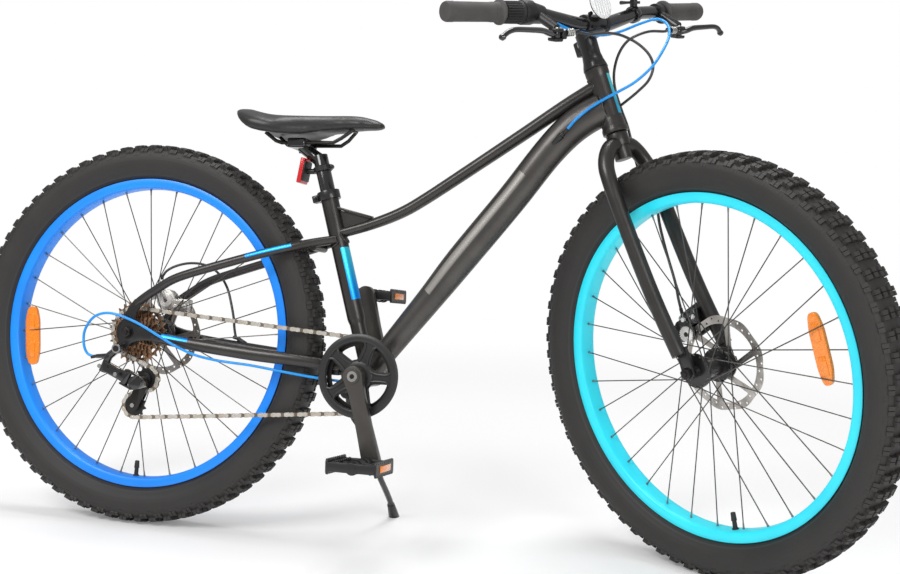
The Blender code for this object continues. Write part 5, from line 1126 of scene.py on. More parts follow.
@dataclass
class Wheel:
    """One wheel: a knobbly tyre, a painted rim, laced spokes, a hub and a brake disc."""

    end: str
    body: Body
    rim_finish: WheelFinish
    rubber: TyreRubber
    flanges: tuple[float, float]
    flange_radius: float
    shell: Outline
    rotor_place: float
    valve_angle: float
    reflector_angle: float
    reflector_radius: float
    reflector_half: float = 0.0145
    spoke_radius: float = 0.001
    spoke_cross: float = math.radians(67.5)
    spoke_phase: float = 0.04
    tread_rows: int = 71
    bolts: int = 6
    waves: int = 9

    def build(self) -> None:
        """Build and dress the whole wheel."""
        self.tyre()
        self.rim()
        self.hub()
        self.rotor()
        self.valve()
        self.reflector()

    def knob(self, form: Form, along: float, radius: float, lean: float, size: Point, turn: float) -> None:
        """Add one tread block of two halves with a slit between them, and its twin across the tyre.

        Args:
            form: The tread.
            along: How far from the tyre's middle the block stands.
            radius: Where its foot is.
            lean: How far it leans outwards.
            size: Its length round the tyre, width and height.
            turn: Its place round the tyre.
        """
        length, width, height = size
        for side in (-1, 1):
            for half in (-1, 1):
                bm = bmesh.new()
                shape = Matrix.Diagonal((length * 0.48, width, height, 1))
                bmesh.ops.create_cube(bm, size=1.0, matrix=shape)
                top = [vert for vert in bm.verts if vert.co.z > 0]
                bmesh.ops.scale(bm, vec=(0.9, 0.84, 1), verts=top)
                place = Matrix.Translation((half * length * 0.252, 0, height / 2 - 0.0012))
                tip = Matrix.Rotation(-side * lean, 4, "X")
                out = Matrix.Translation((0, side * along, radius))
                spin = Matrix.Rotation(turn, 4, "Y")
                form.take(bm, spin @ out @ tip @ place)

    def tyre(self) -> None:
        """The casing with its smooth walls, and the tread in alternate rows of blocks."""
        half = [
            (0.2812, 0.0145), (0.287, 0.0152), (0.29, 0.0195), (0.2918, 0.0222), (0.293, 0.0237),
            (0.2944, 0.0243), (0.2985, 0.028), (0.306, 0.0318), (0.314, 0.0338), (0.3205, 0.0344),
            (0.327, 0.0338), (0.333, 0.0318), (0.3364, 0.0286), (0.3396, 0.0243), (0.3418, 0.019),
            (0.3432, 0.012), (0.3438, 0.005),
        ]
        tread = Form()
        pitch = 2 * math.pi / self.tread_rows
        self.knob(tread, 0.0072, 0.3446, 0.1, (0.017, 0.0108, 0.0073), 0)
        self.knob(tread, 0.0192, 0.3418, 0.34, (0.015, 0.0104, 0.0082), pitch * 0.04)
        self.knob(tread, 0.0262, 0.3362, 0.78, (0.015, 0.011, 0.0056), pitch * 0.54)
        self.knob(tread, 0.0308, 0.331, 1.15, (0.012, 0.0075, 0.003), pitch * 0.06)
        tread.row_round(self.tread_rows)
        tread.turned(mirrored(half), sides=192)
        tread.into(f"{self.end}_tyre_tread", self.rubber, self.body, f"{self.end}_tyre")

    def rim(self) -> None:
        """The painted rim with rounded flanges and a spoke bed in its middle."""
        half = [
            (0.2811, 0.0156), (0.2858, 0.016), (0.2864, 0.0168), (0.2862, 0.0178), (0.285, 0.0184),
            (0.279, 0.0184), (0.273, 0.0178), (0.2702, 0.0164), (0.2688, 0.0138),
            (RIM_BED + GAP, 0.009), (RIM_BED, 0.004),
        ]
        form = Form().turned(mirrored(half), sides=192)
        form.into(f"{self.end}_rim_channel", self.rim_finish, self.body, f"{self.end}_rim")

    def hub(self) -> None:
        """The hub shell, its spokes laced three cross with hooked heads, and the nipples at the rim."""
        shell = Form().turned(self.shell, sides=40)
        lacing = Form()
        nipples = Form()
        start_radius = self.flange_radius - 0.003
        end_radius = RIM_BED - GAP
        for i in range(SPOKES):
            lead = 1 if (i // 2) % 2 else -1
            angle = 2 * math.pi * i / SPOKES + self.spoke_phase
            start = angle + lead * self.spoke_cross
            foot = around(start_radius, start, self.flanges[i % 2] + lead * 0.0027)
            tip = around(end_radius, angle, lead * 0.0015)
            way = (tip - foot).normalized()
            lacing.rod(foot, tip, self.spoke_radius, sides=8)
            head = foot - LEFT * lead * 0.0054
            lacing.rod(foot + LEFT * lead * 0.0006, head, self.spoke_radius, sides=8)
            lacing.rod(head, head - LEFT * lead * 0.0012, 0.0019, 0.0012, sides=10)
            nipples.rod(tip - way * 0.0105, tip - way * 0.0015, 0.0013, 0.0017, sides=8)
            nipples.rod(tip - way * 0.0018, tip + way * 0.0006, 0.0022, 0.0019, sides=10)
        shell.into(f"{self.end}_hub_shell", BLACK_PAINT, self.body, f"{self.end}_hub")
        lacing.into(f"{self.end}_spokes", SPOKE_STEEL, self.body)
        nipples.into(f"{self.end}_nipples", GREY_ALLOY, self.body)

    def rotor(self) -> None:
        """The wavy brake disc, drilled in two rows, on a carrier with six bolts."""
        sixth = 2 * math.pi / self.bolts
        angles = [2 * math.pi * i / 108 for i in range(108)]
        outline = [polar(0.08 - 0.0014 * (1 - math.cos(self.waves * angle)), angle) for angle in angles]
        holes = [circle(0.01, 16)]
        for i in range(self.bolts):
            start = sixth * i
            far = circle(0.066, 7, start + 0.1 * sixth, 0.84 * sixth)
            near = circle(0.027, 5, start + 0.5 * sixth, -0.64 * sixth)
            holes.append(rounded(far + near, 0.0035))
        for i in range(36):
            angle = 2 * math.pi * (i + 0.5) / 36
            holes.append(circle(0.0021, 8, angle, centre=polar(0.0755 - (i % 2) * 0.0052, angle)))
        form = Form().plate(outline, 0.0018, self.rotor_place, holes)
        name = f"{self.end} brake disc steel"
        steel = replace(ROTOR_STEEL, name=name, centre=self.rubber.centre, axle=self.rubber.axle)
        form.into(f"{self.end}_brake_disc", steel, self.body, f"{self.end}_rotor")
        bolts = Form()
        face = self.rotor_place + 0.0009
        bolts.rod((0.0205, face - 0.0004, 0), (0.0205, face + 0.0018, 0), 0.0036, 0.003, 12)
        bolts.row_round(self.bolts)
        bolts.into(f"{self.end}_disc_bolts", BLACK_STEEL, self.body)

    def valve(self) -> None:
        """The car-type valve with its rubber stem and cap."""
        out = around(1, self.valve_angle)
        form = Form()
        form.rod(out * 0.27, out * 0.252, 0.0042, 0.0036, 16)
        form.rod(out * 0.254, out * 0.24, 0.0048, 0.004, 16, 0.0008)
        form.rod(out * 0.269, out * 0.266, 0.0062, 0.0052, 16)
        form.into(f"{self.end}_valve", BLACK_RUBBER, self.body)

    def reflector(self) -> None:
        """The orange reflector clipped between two spokes."""
        long_half, wide_half = 0.056, self.reflector_half
        corners = (
            (-0.62, -1), (0.55, -1), (1, -0.55), (1, 0.55), (0.55, 1), (-0.62, 1), (-1, 0.55), (-1, -0.55)
        )
        outline = [(wide_half * x, long_half * z) for x, z in corners]
        reach = Matrix.Translation((self.reflector_radius, 0, 0))
        spin = Matrix.Rotation(-self.reflector_angle, 4, "Y")
        form = Form().plate(rounded(outline, 0.008), 0.0075, 0, bevel=0.0016, segments=3)
        for step in (-1, 1):
            form.block((0, 0, step * 0.026), (0.013, 0.01, 0.03), bevel=0.0012)
        matrix = self.body.place() @ spin @ reach
        form.into(f"{self.end}_wheel_reflector", ORANGE_LENS, self.body, matrix=matrix)


def wheels() -> list[Wheel]:
    """The two wheels of the bike.

    Returns:
        The front wheel and the rear wheel.
    """
    front_shell = (
        (0.0053, -0.0465), (0.009, -0.0465), (0.0105, -0.038), (0.018, -0.0372), (0.028, -0.036),
        (0.0284, -0.032), (0.0175, -0.03), (0.0168, 0.016), (0.028, 0.0182), (0.028, 0.0218),
        (0.016, 0.0235), (0.021, 0.03), (0.0212, 0.0352), (0.0095, 0.0353), (0.0095, 0.0465),
        (0.0053, 0.0465),
    )
    rear_shell = (
        (0.0053, -0.058), (0.0165, -0.058), (0.0165, -0.0262), (0.0253, -0.0246), (0.0253, -0.0204),
        (0.0168, -0.019), (0.0165, 0.0325), (0.0253, 0.034), (0.0253, 0.038), (0.0168, 0.0395),
        (0.0208, 0.046), (0.021, 0.0517), (0.0095, 0.0518), (0.0095, 0.0645), (0.0053, 0.0645),
    )
    return [
        Wheel(
            "front", Body.FRONT_WHEEL, CYAN_RIM, FRONT_RUBBER, (-0.034, 0.02), 0.0282, front_shell,
            0.0365, -1.785, -0.122, 0.2146, 0.0125,
        ),
        Wheel(
            "rear", Body.REAR_WHEEL, BLUE_RIM, REAR_RUBBER, (-0.0225, 0.036), 0.0255, rear_shell,
            0.053, -1.6, 3.218, 0.2478,
        ),
    ]


# Drivetrain


class ChainLine:
    """The line of the chain's pins round its four pitch circles."""

    def __init__(self) -> None:
        """Work out where the line meets and leaves each circle."""
        ring, cog = pitch_radius(RING_TEETH), pitch_radius(COG_TEETH[COG_IN_USE])
        small = pitch_radius(PULLEY_TEETH)
        self.circles = [
            (BRACKET.x, BRACKET.z, ring, 1), (REAR_AXLE.x, REAR_AXLE.z, cog, 1),
            (GUIDE_PULLEY.x, GUIDE_PULLEY.z, small, -1), (TENSION_PULLEY.x, TENSION_PULLEY.z, small, 1),
        ]
        headings, runs = [], []
        for (x1, z1, r1, s1), (x2, z2, r2, s2) in zip(self.circles, self.circles[1:] + self.circles[:1]):
            apart = math.hypot(x2 - x1, z2 - z1)
            offset = s2 * r2 - s1 * r1
            headings.append(math.atan2(z2 - z1, x2 - x1) - math.asin(offset / apart))
            runs.append(math.sqrt(apart**2 - offset**2))
        self.headings, self.runs = headings, runs
        self.arrivals = [headings[i - 1] - c[3] * math.pi / 2 for i, c in enumerate(self.circles)]
        self.wraps = [
            (headings[i] - headings[i - 1]) * c[3] % (2 * math.pi) for i, c in enumerate(self.circles)
        ]
        self.length = sum(c[2] * wrap for c, wrap in zip(self.circles, self.wraps)) + sum(runs)
        self.pins = 2 * round(self.length / CHAIN_PITCH / 2)

    def spot(self, distance: float) -> Vector:
        """A point of the line, in the bike's frame.

        Args:
            distance: How far along the line it is, from where the chain meets the ring.

        Returns:
            The point.
        """
        left = distance % self.length
        for i, (x, z, radius, sense) in enumerate(self.circles):
            arc = radius * self.wraps[i]
            angle = self.arrivals[i] + sense * min(left, arc) / radius
            point = Vector((x + radius * math.cos(angle), -CHAIN_LINE, z + radius * math.sin(angle)))
            if left <= arc:
                return point
            left -= arc
            if left <= self.runs[i]:
                return point + around(1, self.headings[i]) * left
            left -= self.runs[i]
        return point

    def phase(self, number: int) -> float:
        """The angle of a pin on one of the circles, which a gap between its teeth matches.

        Args:
            number: Which circle.

        Returns:
            The angle.
        """
        before = sum(self.circles[i][2] * self.wraps[i] + self.runs[i] for i in range(number))
        step = self.length / self.pins
        rest = math.ceil(before / step) * step - before
        return self.arrivals[number] + self.circles[number][3] * rest / self.circles[number][2]


def toothed(teeth: int, start: float = 0.0, tip: float = 0.0024) -> Loop:
    """The outline of a sprocket with a round seat for a roller between each pair of teeth.

    Args:
        teeth: How many teeth it has.
        start: The angle of one seat.
        tip: How far the teeth stand over the pitch circle.

    Returns:
        The outline.
    """
    rows = ((0, -0.004), (0.2, -0.0034), (0.34, -0.001), (0.44, tip))
    rows += ((0.56, tip), (0.66, -0.001), (0.8, -0.0034))
    outline = []
    for i in range(teeth):
        for turn, reach in rows:
            angle = start + 2 * math.pi * (i + turn) / teeth
            outline.append(polar(pitch_radius(teeth) + reach, angle))
    return outline


def windows(count: int, inner: float, outer: float, corner: float) -> list[Loop]:
    """Windows between the arms of a disc.

    Args:
        count: How many.
        inner: Their inner radius.
        outer: Their outer radius.
        corner: How far their corners are rounded.

    Returns:
        Their outlines.
    """
    share = 2 * math.pi / count
    holes = []
    for i in range(count):
        far = circle(outer, 9, share * (i + 0.13), 0.74 * share)
        near = circle(inner, 4, share * (i + 0.66), -0.32 * share)
        holes.append(rounded(far + near, corner))
    return holes


@dataclass
class Drivetrain:
    """Chain, sprockets, chain guard, cranks, pedals and derailleur."""

    line: ChainLine
    crank_offset: float = 0.071
    crank_thickness: float = 0.0135
    guard_radius: float = 0.0735
    pedal_length: float = 0.09
    pedal_width: float = 0.09
    pedal_height: float = 0.026

    def build(self) -> None:
        """Build and dress the whole drivetrain."""
        self.chain()
        self.sprockets()
        self.chainring()
        self.guard()
        for side in Side:
            self.crank(side)
            self.pedal(side)
        self.derailleur()

    def link(self, spread: float, pin: float) -> Form:
        """One chain link lying along X: two waisted plates, a roller and its pin.

        Args:
            spread: How far its plates lie from the middle.
            pin: How far the pin reaches from the middle.

        Returns:
            The link.
        """
        first = circle(0.0041, 4, math.radians(70), math.radians(220))
        last = circle(0.0041, 4, math.radians(250), math.radians(220), (CHAIN_PITCH, 0))
        outline = [*first, (CHAIN_PITCH / 2, -0.0029), *last, (CHAIN_PITCH / 2, 0.0029)]
        form = Form()
        for side in Side:
            form.plate(outline, 0.0009, side * spread)
        form.rod((0, -0.0019, 0), (0, 0.0019, 0), 0.0038, sides=8)
        form.rod((0, -pin, 0), (0, pin, 0), 0.0017, sides=6)
        return form

    def chain(self) -> None:
        """The chain, inner and outer links in turn along its line, the inner links darker as painted shade.
        """
        links = (self.link(0.0019, 0.0019), self.link(0.0029, 0.0037))
        step = self.line.length / self.line.pins
        forms = (Form(), Form())
        for i in range(self.line.pins):
            here, there = self.line.spot(i * step), self.line.spot((i + 1) * step)
            way = (there - here).normalized()
            turn = Matrix.Rotation(-math.atan2(way.z, way.x), 4, "Y")
            forms[i % 2].add(links[i % 2], Matrix.Translation(here) @ turn)
        # The inner links' darker steel is painted shade.
        forms[0].into("chain_inner_links", ROLLER_STEEL_DARKENED_AS_PAINTED_SHADE, Body.FRAME)
        forms[1].into("chain_outer_links", CHAIN_STEEL, Body.FRAME, "chain")

    def sprockets(self) -> None:
        """Seven toothed sprockets with spacers, on the freewheel's body with its lock ring."""
        form = Form()
        body = Form()
        for i, teeth in enumerate(COG_TEETH):
            place = -(CHAIN_LINE + (i - COG_IN_USE) * COG_SPACING)
            start = self.line.phase(1) if i == COG_IN_USE else 0.07 * i
            holes = [circle(0.0228, 20)]
            reach = pitch_radius(teeth) - 0.0085
            if reach > 0.036:
                holes += windows(6, 0.0275, reach, 0.003)
            form.plate(toothed(teeth, start), 0.0018, place, holes)
            ring = [(0.018, -0.0014), (0.0262, -0.0014), (0.0262, 0.0014), (0.018, 0.0014)]
            body.turned(ring, (0, place - COG_SPACING / 2, 0), sides=32)
        first = -(CHAIN_LINE - COG_IN_USE * COG_SPACING) + 0.0035
        last = first - 0.0035 - (len(COG_TEETH) - 1) * COG_SPACING - 0.0014
        body.turned([(0.0168, first), (0.0225, first), (0.0225, last), (0.0168, last)], sides=32)
        body.turned(
            [(0.009, last), (0.02, last), (0.0195, last - 0.0008), (0.009, last - 0.0008)], sides=32
        )
        form.into("sprocket_set", BRONZE_STEEL, Body.SPROCKETS, "freewheel")
        body.into("freewheel_core", BLACK_STEEL, Body.SPROCKETS)

    def chainring(self) -> None:
        """The steel chainring behind the guard."""
        start = self.line.phase(0) + CRANK_ANGLE
        holes = [circle(0.0163, 24), *windows(5, 0.027, 0.0525, 0.004)]
        form = Form().plate(toothed(RING_TEETH, start), 0.0024, -CHAIN_LINE, holes, 0.0003)
        form.into("chainring_teeth", BLACK_STEEL, Body.CRANKS, "chainring")

    def guard(self) -> None:
        """The plastic chain guard: a raised rim and hub, five arms with ribs along their edges."""
        form = Form()
        outline = circle(self.guard_radius - 0.001, 72)
        holes = [circle(0.0163, 24), *windows(5, 0.029, 0.0585, 0.0085)]
        form.plate(outline, 0.0025, -0.056, holes, 0.0005)
        rim = [
            (0.0598, -0.057), (0.0604, -0.0592), (0.062, -0.06), (0.07, -0.0594), (0.0728, -0.058),
            (0.0735, -0.056), (0.073, -0.0545), (0.061, -0.0545),
        ]
        form.turned(rim, sides=96)
        boss = [(0.0163, -0.0585), (0.024, -0.0585), (0.0262, -0.057), (0.0262, -0.0548), (0.0163, -0.0548)]
        form.turned(boss, sides=48)
        share = 2 * math.pi / 5
        rib = ((0.025, 0.27), (0.033, 0.155), (0.044, 0.105), (0.054, 0.1), (0.0615, 0.16))
        for i in range(5):
            for edge in (-1, 1):
                route = [around(radius, share * (i + edge * turn), -0.0572) for radius, turn in rib]
                form.tube(smooth_route(route, 3), 0.0021, 8)
        form.into("chain_guard_cover", GUARD_PLASTIC, Body.CRANKS, "chain_guard")

    def crank(self, side: Side) -> None:
        """One forged crank with its dust cap and the pedal's axle.

        Args:
            side: Which side of the bike.
        """
        middle = side * (self.crank_offset + self.crank_thickness / 2)
        sign = -side
        reach = sign * CRANK_LENGTH
        away = sign * math.pi / 2
        outline = circle(0.0176, 15, away, math.pi)
        outline += [(sign * 0.03, -sign * 0.0134), (sign * 0.09, -sign * 0.0134)]
        outline += circle(0.0158, 13, away + math.pi, math.pi, (reach, 0))
        outline += [(sign * 0.09, sign * 0.0134), (sign * 0.03, sign * 0.0134)]
        name = side.name.lower()
        form = Form().plate(outline, self.crank_thickness, middle, bevel=0.0032, segments=3)
        form.rod((0, side * 0.037, 0), (0, middle, 0), 0.016, sides=32)
        face = side * (self.crank_offset + self.crank_thickness)
        form.rod((0, face - side * 0.001, 0), (0, face + side * 0.0012, 0), 0.0138, 0.0128, 32)
        # The crank's paler paint is painted light.
        form.into(f"crank_arm_{name}", CRANK_PAINT_PALED_AS_PAINTED_LIGHT, Body.CRANKS, f"crank_{name}")
        cap = Form()
        cap.rod((0, face, 0), (0, face + side * 0.0018, 0), 0.0098, 0.009, 32)
        cap.rod((reach, face - side * 0.002, 0), (reach, face + side * 0.006, 0), 0.0076, 0.0066, 6)
        end = face + side * (self.pedal_length + 0.001)
        cap.rod((reach, middle, 0), (reach, end, 0), 0.0056, sides=20)
        cap.into(f"crank_bolt_{name}", BRIGHT_STEEL, Body.CRANKS)
        socket = Form().rod((0, face + side * 0.0005, 0), (0, face + side * 0.0021, 0), 0.0046, sides=6)
        socket.into(f"crank_socket_{name}", BLACK_STEEL, Body.CRANKS)

    def pedal(self, side: Side) -> None:
        """A cage pedal with toothed edges, a ribbed barrel and an orange reflector front and back.

        Args:
            side: Which side of the bike.
        """
        body = Body.PEDAL_RIGHT if side is Side.RIGHT else Body.PEDAL_LEFT
        name = side.name.lower()
        inner = side * (self.crank_offset + self.crank_thickness + 0.0075)
        middle = inner + side * self.pedal_length / 2
        half = self.pedal_length / 2 - 0.001
        edge, height = self.pedal_width / 2, self.pedal_height / 2
        form = Form()
        form.rod((0, inner, 0), (0, inner + side * self.pedal_length, 0), 0.0105, 0.0095, 24, 0.0008)
        for ring in (0.01, 0.03, 0.06, 0.08):
            start = inner + side * ring
            form.rod((0, start, 0), (0, start + side * 0.0035, 0), 0.012, sides=24)
        teeth = []
        for i in range(9):
            along = -half + 2 * half * i / 9
            step = 2 * half / 9
            teeth += [(along, 0.0088), (along + step * 0.3, height), (along + step * 0.62, height)]
            teeth += [(along + step * 0.86, 0.0088)]
        outline = teeth + [(-y, -z) for y, z in teeth]
        quarter = Matrix.Rotation(math.pi / 2, 4, "Z")
        for end in (-1, 1):
            place = Matrix.Translation((end * (edge - 0.0028), middle, 0))
            form.plate(outline, 0.0044, bevel=0.0006, matrix=place @ quarter)
            lip = Matrix.Translation((end * (edge - 0.013), middle, 0))
            form.plate([(y * 0.96, z * 0.72) for y, z in outline], 0.0026, matrix=lip @ quarter)
        for along in (inner + side * 0.0045, inner + side * (self.pedal_length - 0.0045)):
            form.block((0, along, 0), (self.pedal_width - 0.006, 0.0075, 0.016), bevel=0.0018)
        form.block((0, middle, 0), (self.pedal_width - 0.01, 0.006, 0.011), bevel=0.0015)
        form.into(f"pedal_cage_{name}", BLACK_PLASTIC, body, f"pedal_{name}")
        lens = Form()
        for end in (-1, 1):
            lens.block((end * (edge - 0.0002), middle, 0), (0.002, 0.052, 0.011), bevel=0.0006)
        lens.into(f"pedal_reflectors_{name}", ORANGE_LENS, body)

    def derailleur(self) -> None:
        """The derailleur's moving pieces with their bolts, and its two pulleys."""
        dress_solid("derailleur_body", GLOSS_BLACK, Body.FRAME, 0.0009)
        dress_solid("derailleur_link", GLOSS_BLACK, Body.LINK, 0.0012)
        dress_solid("derailleur_knuckle", GLOSS_BLACK, Body.KNUCKLE, 0.0009)
        dress_solid("derailleur_cage", BLACK_STEEL, Body.CAGE, 0.0003)
        bolts = Form()
        hanger = REAR_AXLE + Vector((-0.011, -0.091, -0.0305))
        bolts.rod(hanger, hanger - LEFT * 0.0018, 0.0088, 0.0082, 32)
        bolts.into("hanger_bolt", BRIGHT_STEEL, Body.FRAME)
        socket = Form().rod(hanger - LEFT * 0.001, hanger - LEFT * 0.0022, 0.006, 0.0058, 24)
        socket.into("hanger_bolt_socket", BLACK_STEEL, Body.FRAME)
        pins = Form()
        for spot in (LINK_START, LINK_START + Vector((0.033, 0, -0.013))):
            start = Vector((spot.x, -0.103, spot.z))
            pins.rod(start, start - LEFT * 0.0014, 0.004, 0.0036, 20)
        pins.into("derailleur_pins", BRIGHT_STEEL, Body.LINK)
        caps = Form()
        for centre in (GUIDE_PULLEY, TENSION_PULLEY):
            start = centre - LEFT * 0.009
            caps.rod(start, start - LEFT * 0.0018, 0.0044, 0.004, 20)
        caps.into("pulley_bolts", BRIGHT_STEEL, Body.CAGE)
        for number, name, centre, body in (
            (2, "guide_pulley", GUIDE_PULLEY, Body.GUIDE),
            (3, "tension_pulley", TENSION_PULLEY, Body.TENSION),
        ):
            form = Form()
            hole = circle(0.0031, 14)
            outline = toothed(PULLEY_TEETH, self.line.phase(number), 0.001)
            form.plate(outline, 0.003, 0, [hole], 0.0003)
            form.turned([(0.0031, -0.004), (0.0075, -0.004), (0.0075, 0.004), (0.0031, 0.004)])
            matrix = Stance.bike() @ Matrix.Translation(centre)
            form.into(f"{name}_wheel", BLACK_PLASTIC, body, name, matrix)


# Frame


def bowed(start: Point, end: Point, rows: Sequence[Sequence[float]]) -> list[Vector]:
    """Points beside the line from start to end, each with its radius as a fourth number.

    Args:
        start: The line's start.
        end: The line's end.
        rows: For each point a fraction along the line, a rise, a Y and a radius.

    Returns:
        The points.
    """
    start, end = Vector(start), Vector(end)
    run = (end - start).normalized()
    rise = Vector((-run.z, 0, run.x))
    made = []
    for along, height, spread, radius in rows:
        spot = start.lerp(end, along) + rise * height + LEFT * spread
        made.append(Vector((*spot, radius)))
    return made


def swept(form: Form, rows: Sequence[Vector], sides: int = 32, flatten: float = 1.0) -> Form:
    """Add a tube along a smooth curve through rows of three coordinates and a radius."""
    fine = smooth_route(rows, 5)
    return form.tube([spot.to_3d() for spot in fine], [spot.w for spot in fine], sides, flatten)


def bead(
    form: Form, start: Vector, way: Vector, radius: float, post: Vector, post_way: Vector,
    post_radius: float, flatten: float = 1.0,
) -> None:
    """Add the rippled weld where a round tube meets a round post.

    Args:
        form: What the weld is added to.
        start: A point on the tube's axis, outside the post.
        way: The tube's direction towards the post.
        radius: The tube's radius.
        post: A point on the post's axis.
        post_way: The post's direction.
        post_radius: The post's radius.
        flatten: How much the tube's section is stretched along Y.
    """
    way, post_way = way.normalized(), post_way.normalized()
    up = way.cross(LEFT).normalized()
    if up.length < 0.5:
        up = Vector((0, 0, 1))
    across = up.cross(way).normalized()
    route = []
    count = 72
    for i in range(count):
        angle = 2 * math.pi * i / count
        edge = start + across * (radius * flatten * math.cos(angle)) + up * (radius * math.sin(angle))
        offset = edge - post
        gap = offset - post_way * offset.dot(post_way)
        step = way - post_way * way.dot(post_way)
        a, b, c = step.length_squared, gap.dot(step), gap.length_squared - post_radius**2
        inside = b * b - a * c
        if inside < 0:
            continue
        route.append(edge + way * ((-b - math.sqrt(inside)) / a))
    radii = [0.0021 + 0.0005 * (i % 3 == 0) for i in range(len(route))]
    if len(route) > 8:
        form.tube(route, radii, 8, closed=len(route) == count)


@dataclass
class FrameSet:
    """The welded frame: tubes, stays, dropouts, gusset, cable bosses, collar and stand mount."""

    head_radius: float = 0.0205
    seat_radius: float = 0.0159
    bracket_radius: float = 0.0205
    stay_radius: float = 0.01134

    def build(self) -> None:
        """Build and dress the whole frame."""
        self.head_tube()
        self.top_tube()
        self.down_tube()
        self.seat_tube()
        for side in Side:
            self.chain_stay(side)
        self.seat_stays()
        self.welds()
        dress_solid("seat_collar", BLACK_PAINT, Body.FRAME, 0.0006)
        dress_solid("kickstand_mount", BLACK_PAINT, Body.FRAME, 0.001)
        self.rear_axle()

    def head_tube(self) -> None:
        """The head tube with flared ends and the headset's lower cup."""
        waist = self.head_radius - 0.0012
        cup = HEAD_START - CUP_HEIGHT
        profile = [
            (0.0148, cup), (0.0206, cup), (0.022, cup + 0.001), (0.022, HEAD_START - 0.0035),
            (0.0206, HEAD_START - 0.0008), (0.0203, HEAD_START + 0.0005),
            (self.head_radius, HEAD_START + 0.01), (waist + 0.0003, HEAD_START + 0.013),
            (waist, HEAD_START + 0.018), (waist, HEAD_END - 0.018), (waist + 0.0003, HEAD_END - 0.013),
            (self.head_radius, HEAD_END - 0.01), (self.head_radius, HEAD_END - 0.0008),
            (self.head_radius - 0.0008, HEAD_END), (0.0148, HEAD_END),
        ]
        form = Form().turned(profile, STEER_FOOT, STEER_UP, 64)
        form.into("head_tube_skin", BADGED_HEAD, Body.FRAME, "head_tube")

    def top_tube(self) -> None:
        """The curved top tube, oval across, with the gusset that braces the seat tube."""
        low = TOP_TUBE_FOOT
        rows = (
            (0, -0.001, 0, 0.0093), (0.119, -0.0161, 0, 0.0095), (0.226, -0.0245, 0, 0.0098),
            (0.326, -0.0245, 0, 0.0101), (0.521, -0.0175, 0, 0.0105), (0.716, -0.0098, 0, 0.011),
            (0.875, -0.003, 0, 0.0114), (1, 0, 0, 0.0116),
        )
        form = swept(Form(), bowed(up_seat_tube(low), TOP_TUBE_END, rows), 36, 1.3)
        foot, tip = up_seat_tube(low + 0.0431, -0.014), up_seat_tube(low + 0.0116, -0.069)
        slope = (tip - foot).normalized()
        turn = Matrix.Rotation(math.atan2(-slope.z, slope.x), 4, "Y")
        form.block((foot + tip) / 2, ((tip - foot).length + 0.004, 0.016, 0.005), turn, 0.0012)
        outline = [up_seat_tube(low + 0.0415, -0.01), tip, up_seat_tube(low - 0.004, -0.069)]
        outline += [up_seat_tube(low - 0.0044, -0.01)]
        form.plate([(spot.x, spot.z) for spot in outline], 0.0048, bevel=0.0004)
        form.into("top_tube_skin", CHARCOAL_PAINT, Body.FRAME, "top_tube")

    def down_tube(self) -> None:
        """The large curved down tube with a cable boss on each side."""
        rows = (
            (0.03, 0.0016, 0, 0.0198), (0.095, 0.005, 0, 0.0205), (0.279, 0.0099, 0, 0.0235),
            (0.423, 0.015, 0, 0.0265), (0.639, 0.02, 0, 0.0268), (0.781, 0.0262, 0, 0.027),
            (0.865, 0.0262, 0, 0.028), (0.928, 0.0204, 0, 0.029), (0.993, 0.0066, 0, 0.029),
        )
        form = swept(Form(), bowed(BRACKET, DOWN_TUBE_END, rows), 48, 0.86)
        # The down tube's paler paint is painted light; its stripe is print.
        form.into("down_tube_skin", STRIPED_DOWN_TUBE_PALED_AS_PAINTED_LIGHT, Body.FRAME, "down_tube")
        ports = Form()
        for side in Side:
            spot, way = cable_port(side)
            run = way.normalized()
            ports.rod(spot, spot + way, 0.0042, 0.0052, 20, 0.0008)
            ports.rod(spot + run * 0.006, spot + run * 0.024, 0.0062, 0.004, 20, 0.001)
        ports.into("cable_ports", BLACK_PLASTIC, Body.FRAME)

    def seat_tube(self) -> None:
        """The seat tube, swaged at its foot, on the bottom bracket shell with its bearing rings."""
        profile = [
            (0.013, 0.01), (0.013, 0.088), (0.0134, 0.092), (0.0153, 0.1), (self.seat_radius, 0.104),
            (self.seat_radius, SEAT_TUBE_LENGTH), (0.0141, SEAT_TUBE_LENGTH), (0.0141, 0.12),
        ]
        form = Form().turned(profile, BRACKET, SEAT_UP, 48)
        reach = LEFT * 0.034
        form.rod(BRACKET - reach, BRACKET + reach, self.bracket_radius, sides=48, bevel=0.001)
        form.into("seat_tube_skin", STRIPED_SEAT_TUBE, Body.FRAME, "seat_tube")
        rings = Form()
        for side in Side:
            start = BRACKET + LEFT * side * 0.0338
            rings.rod(start, start + LEFT * side * 0.0026, 0.018, 0.0172, 32, 0.0005)
        rings.into("bracket_rings", BLACK_STEEL, Body.FRAME)

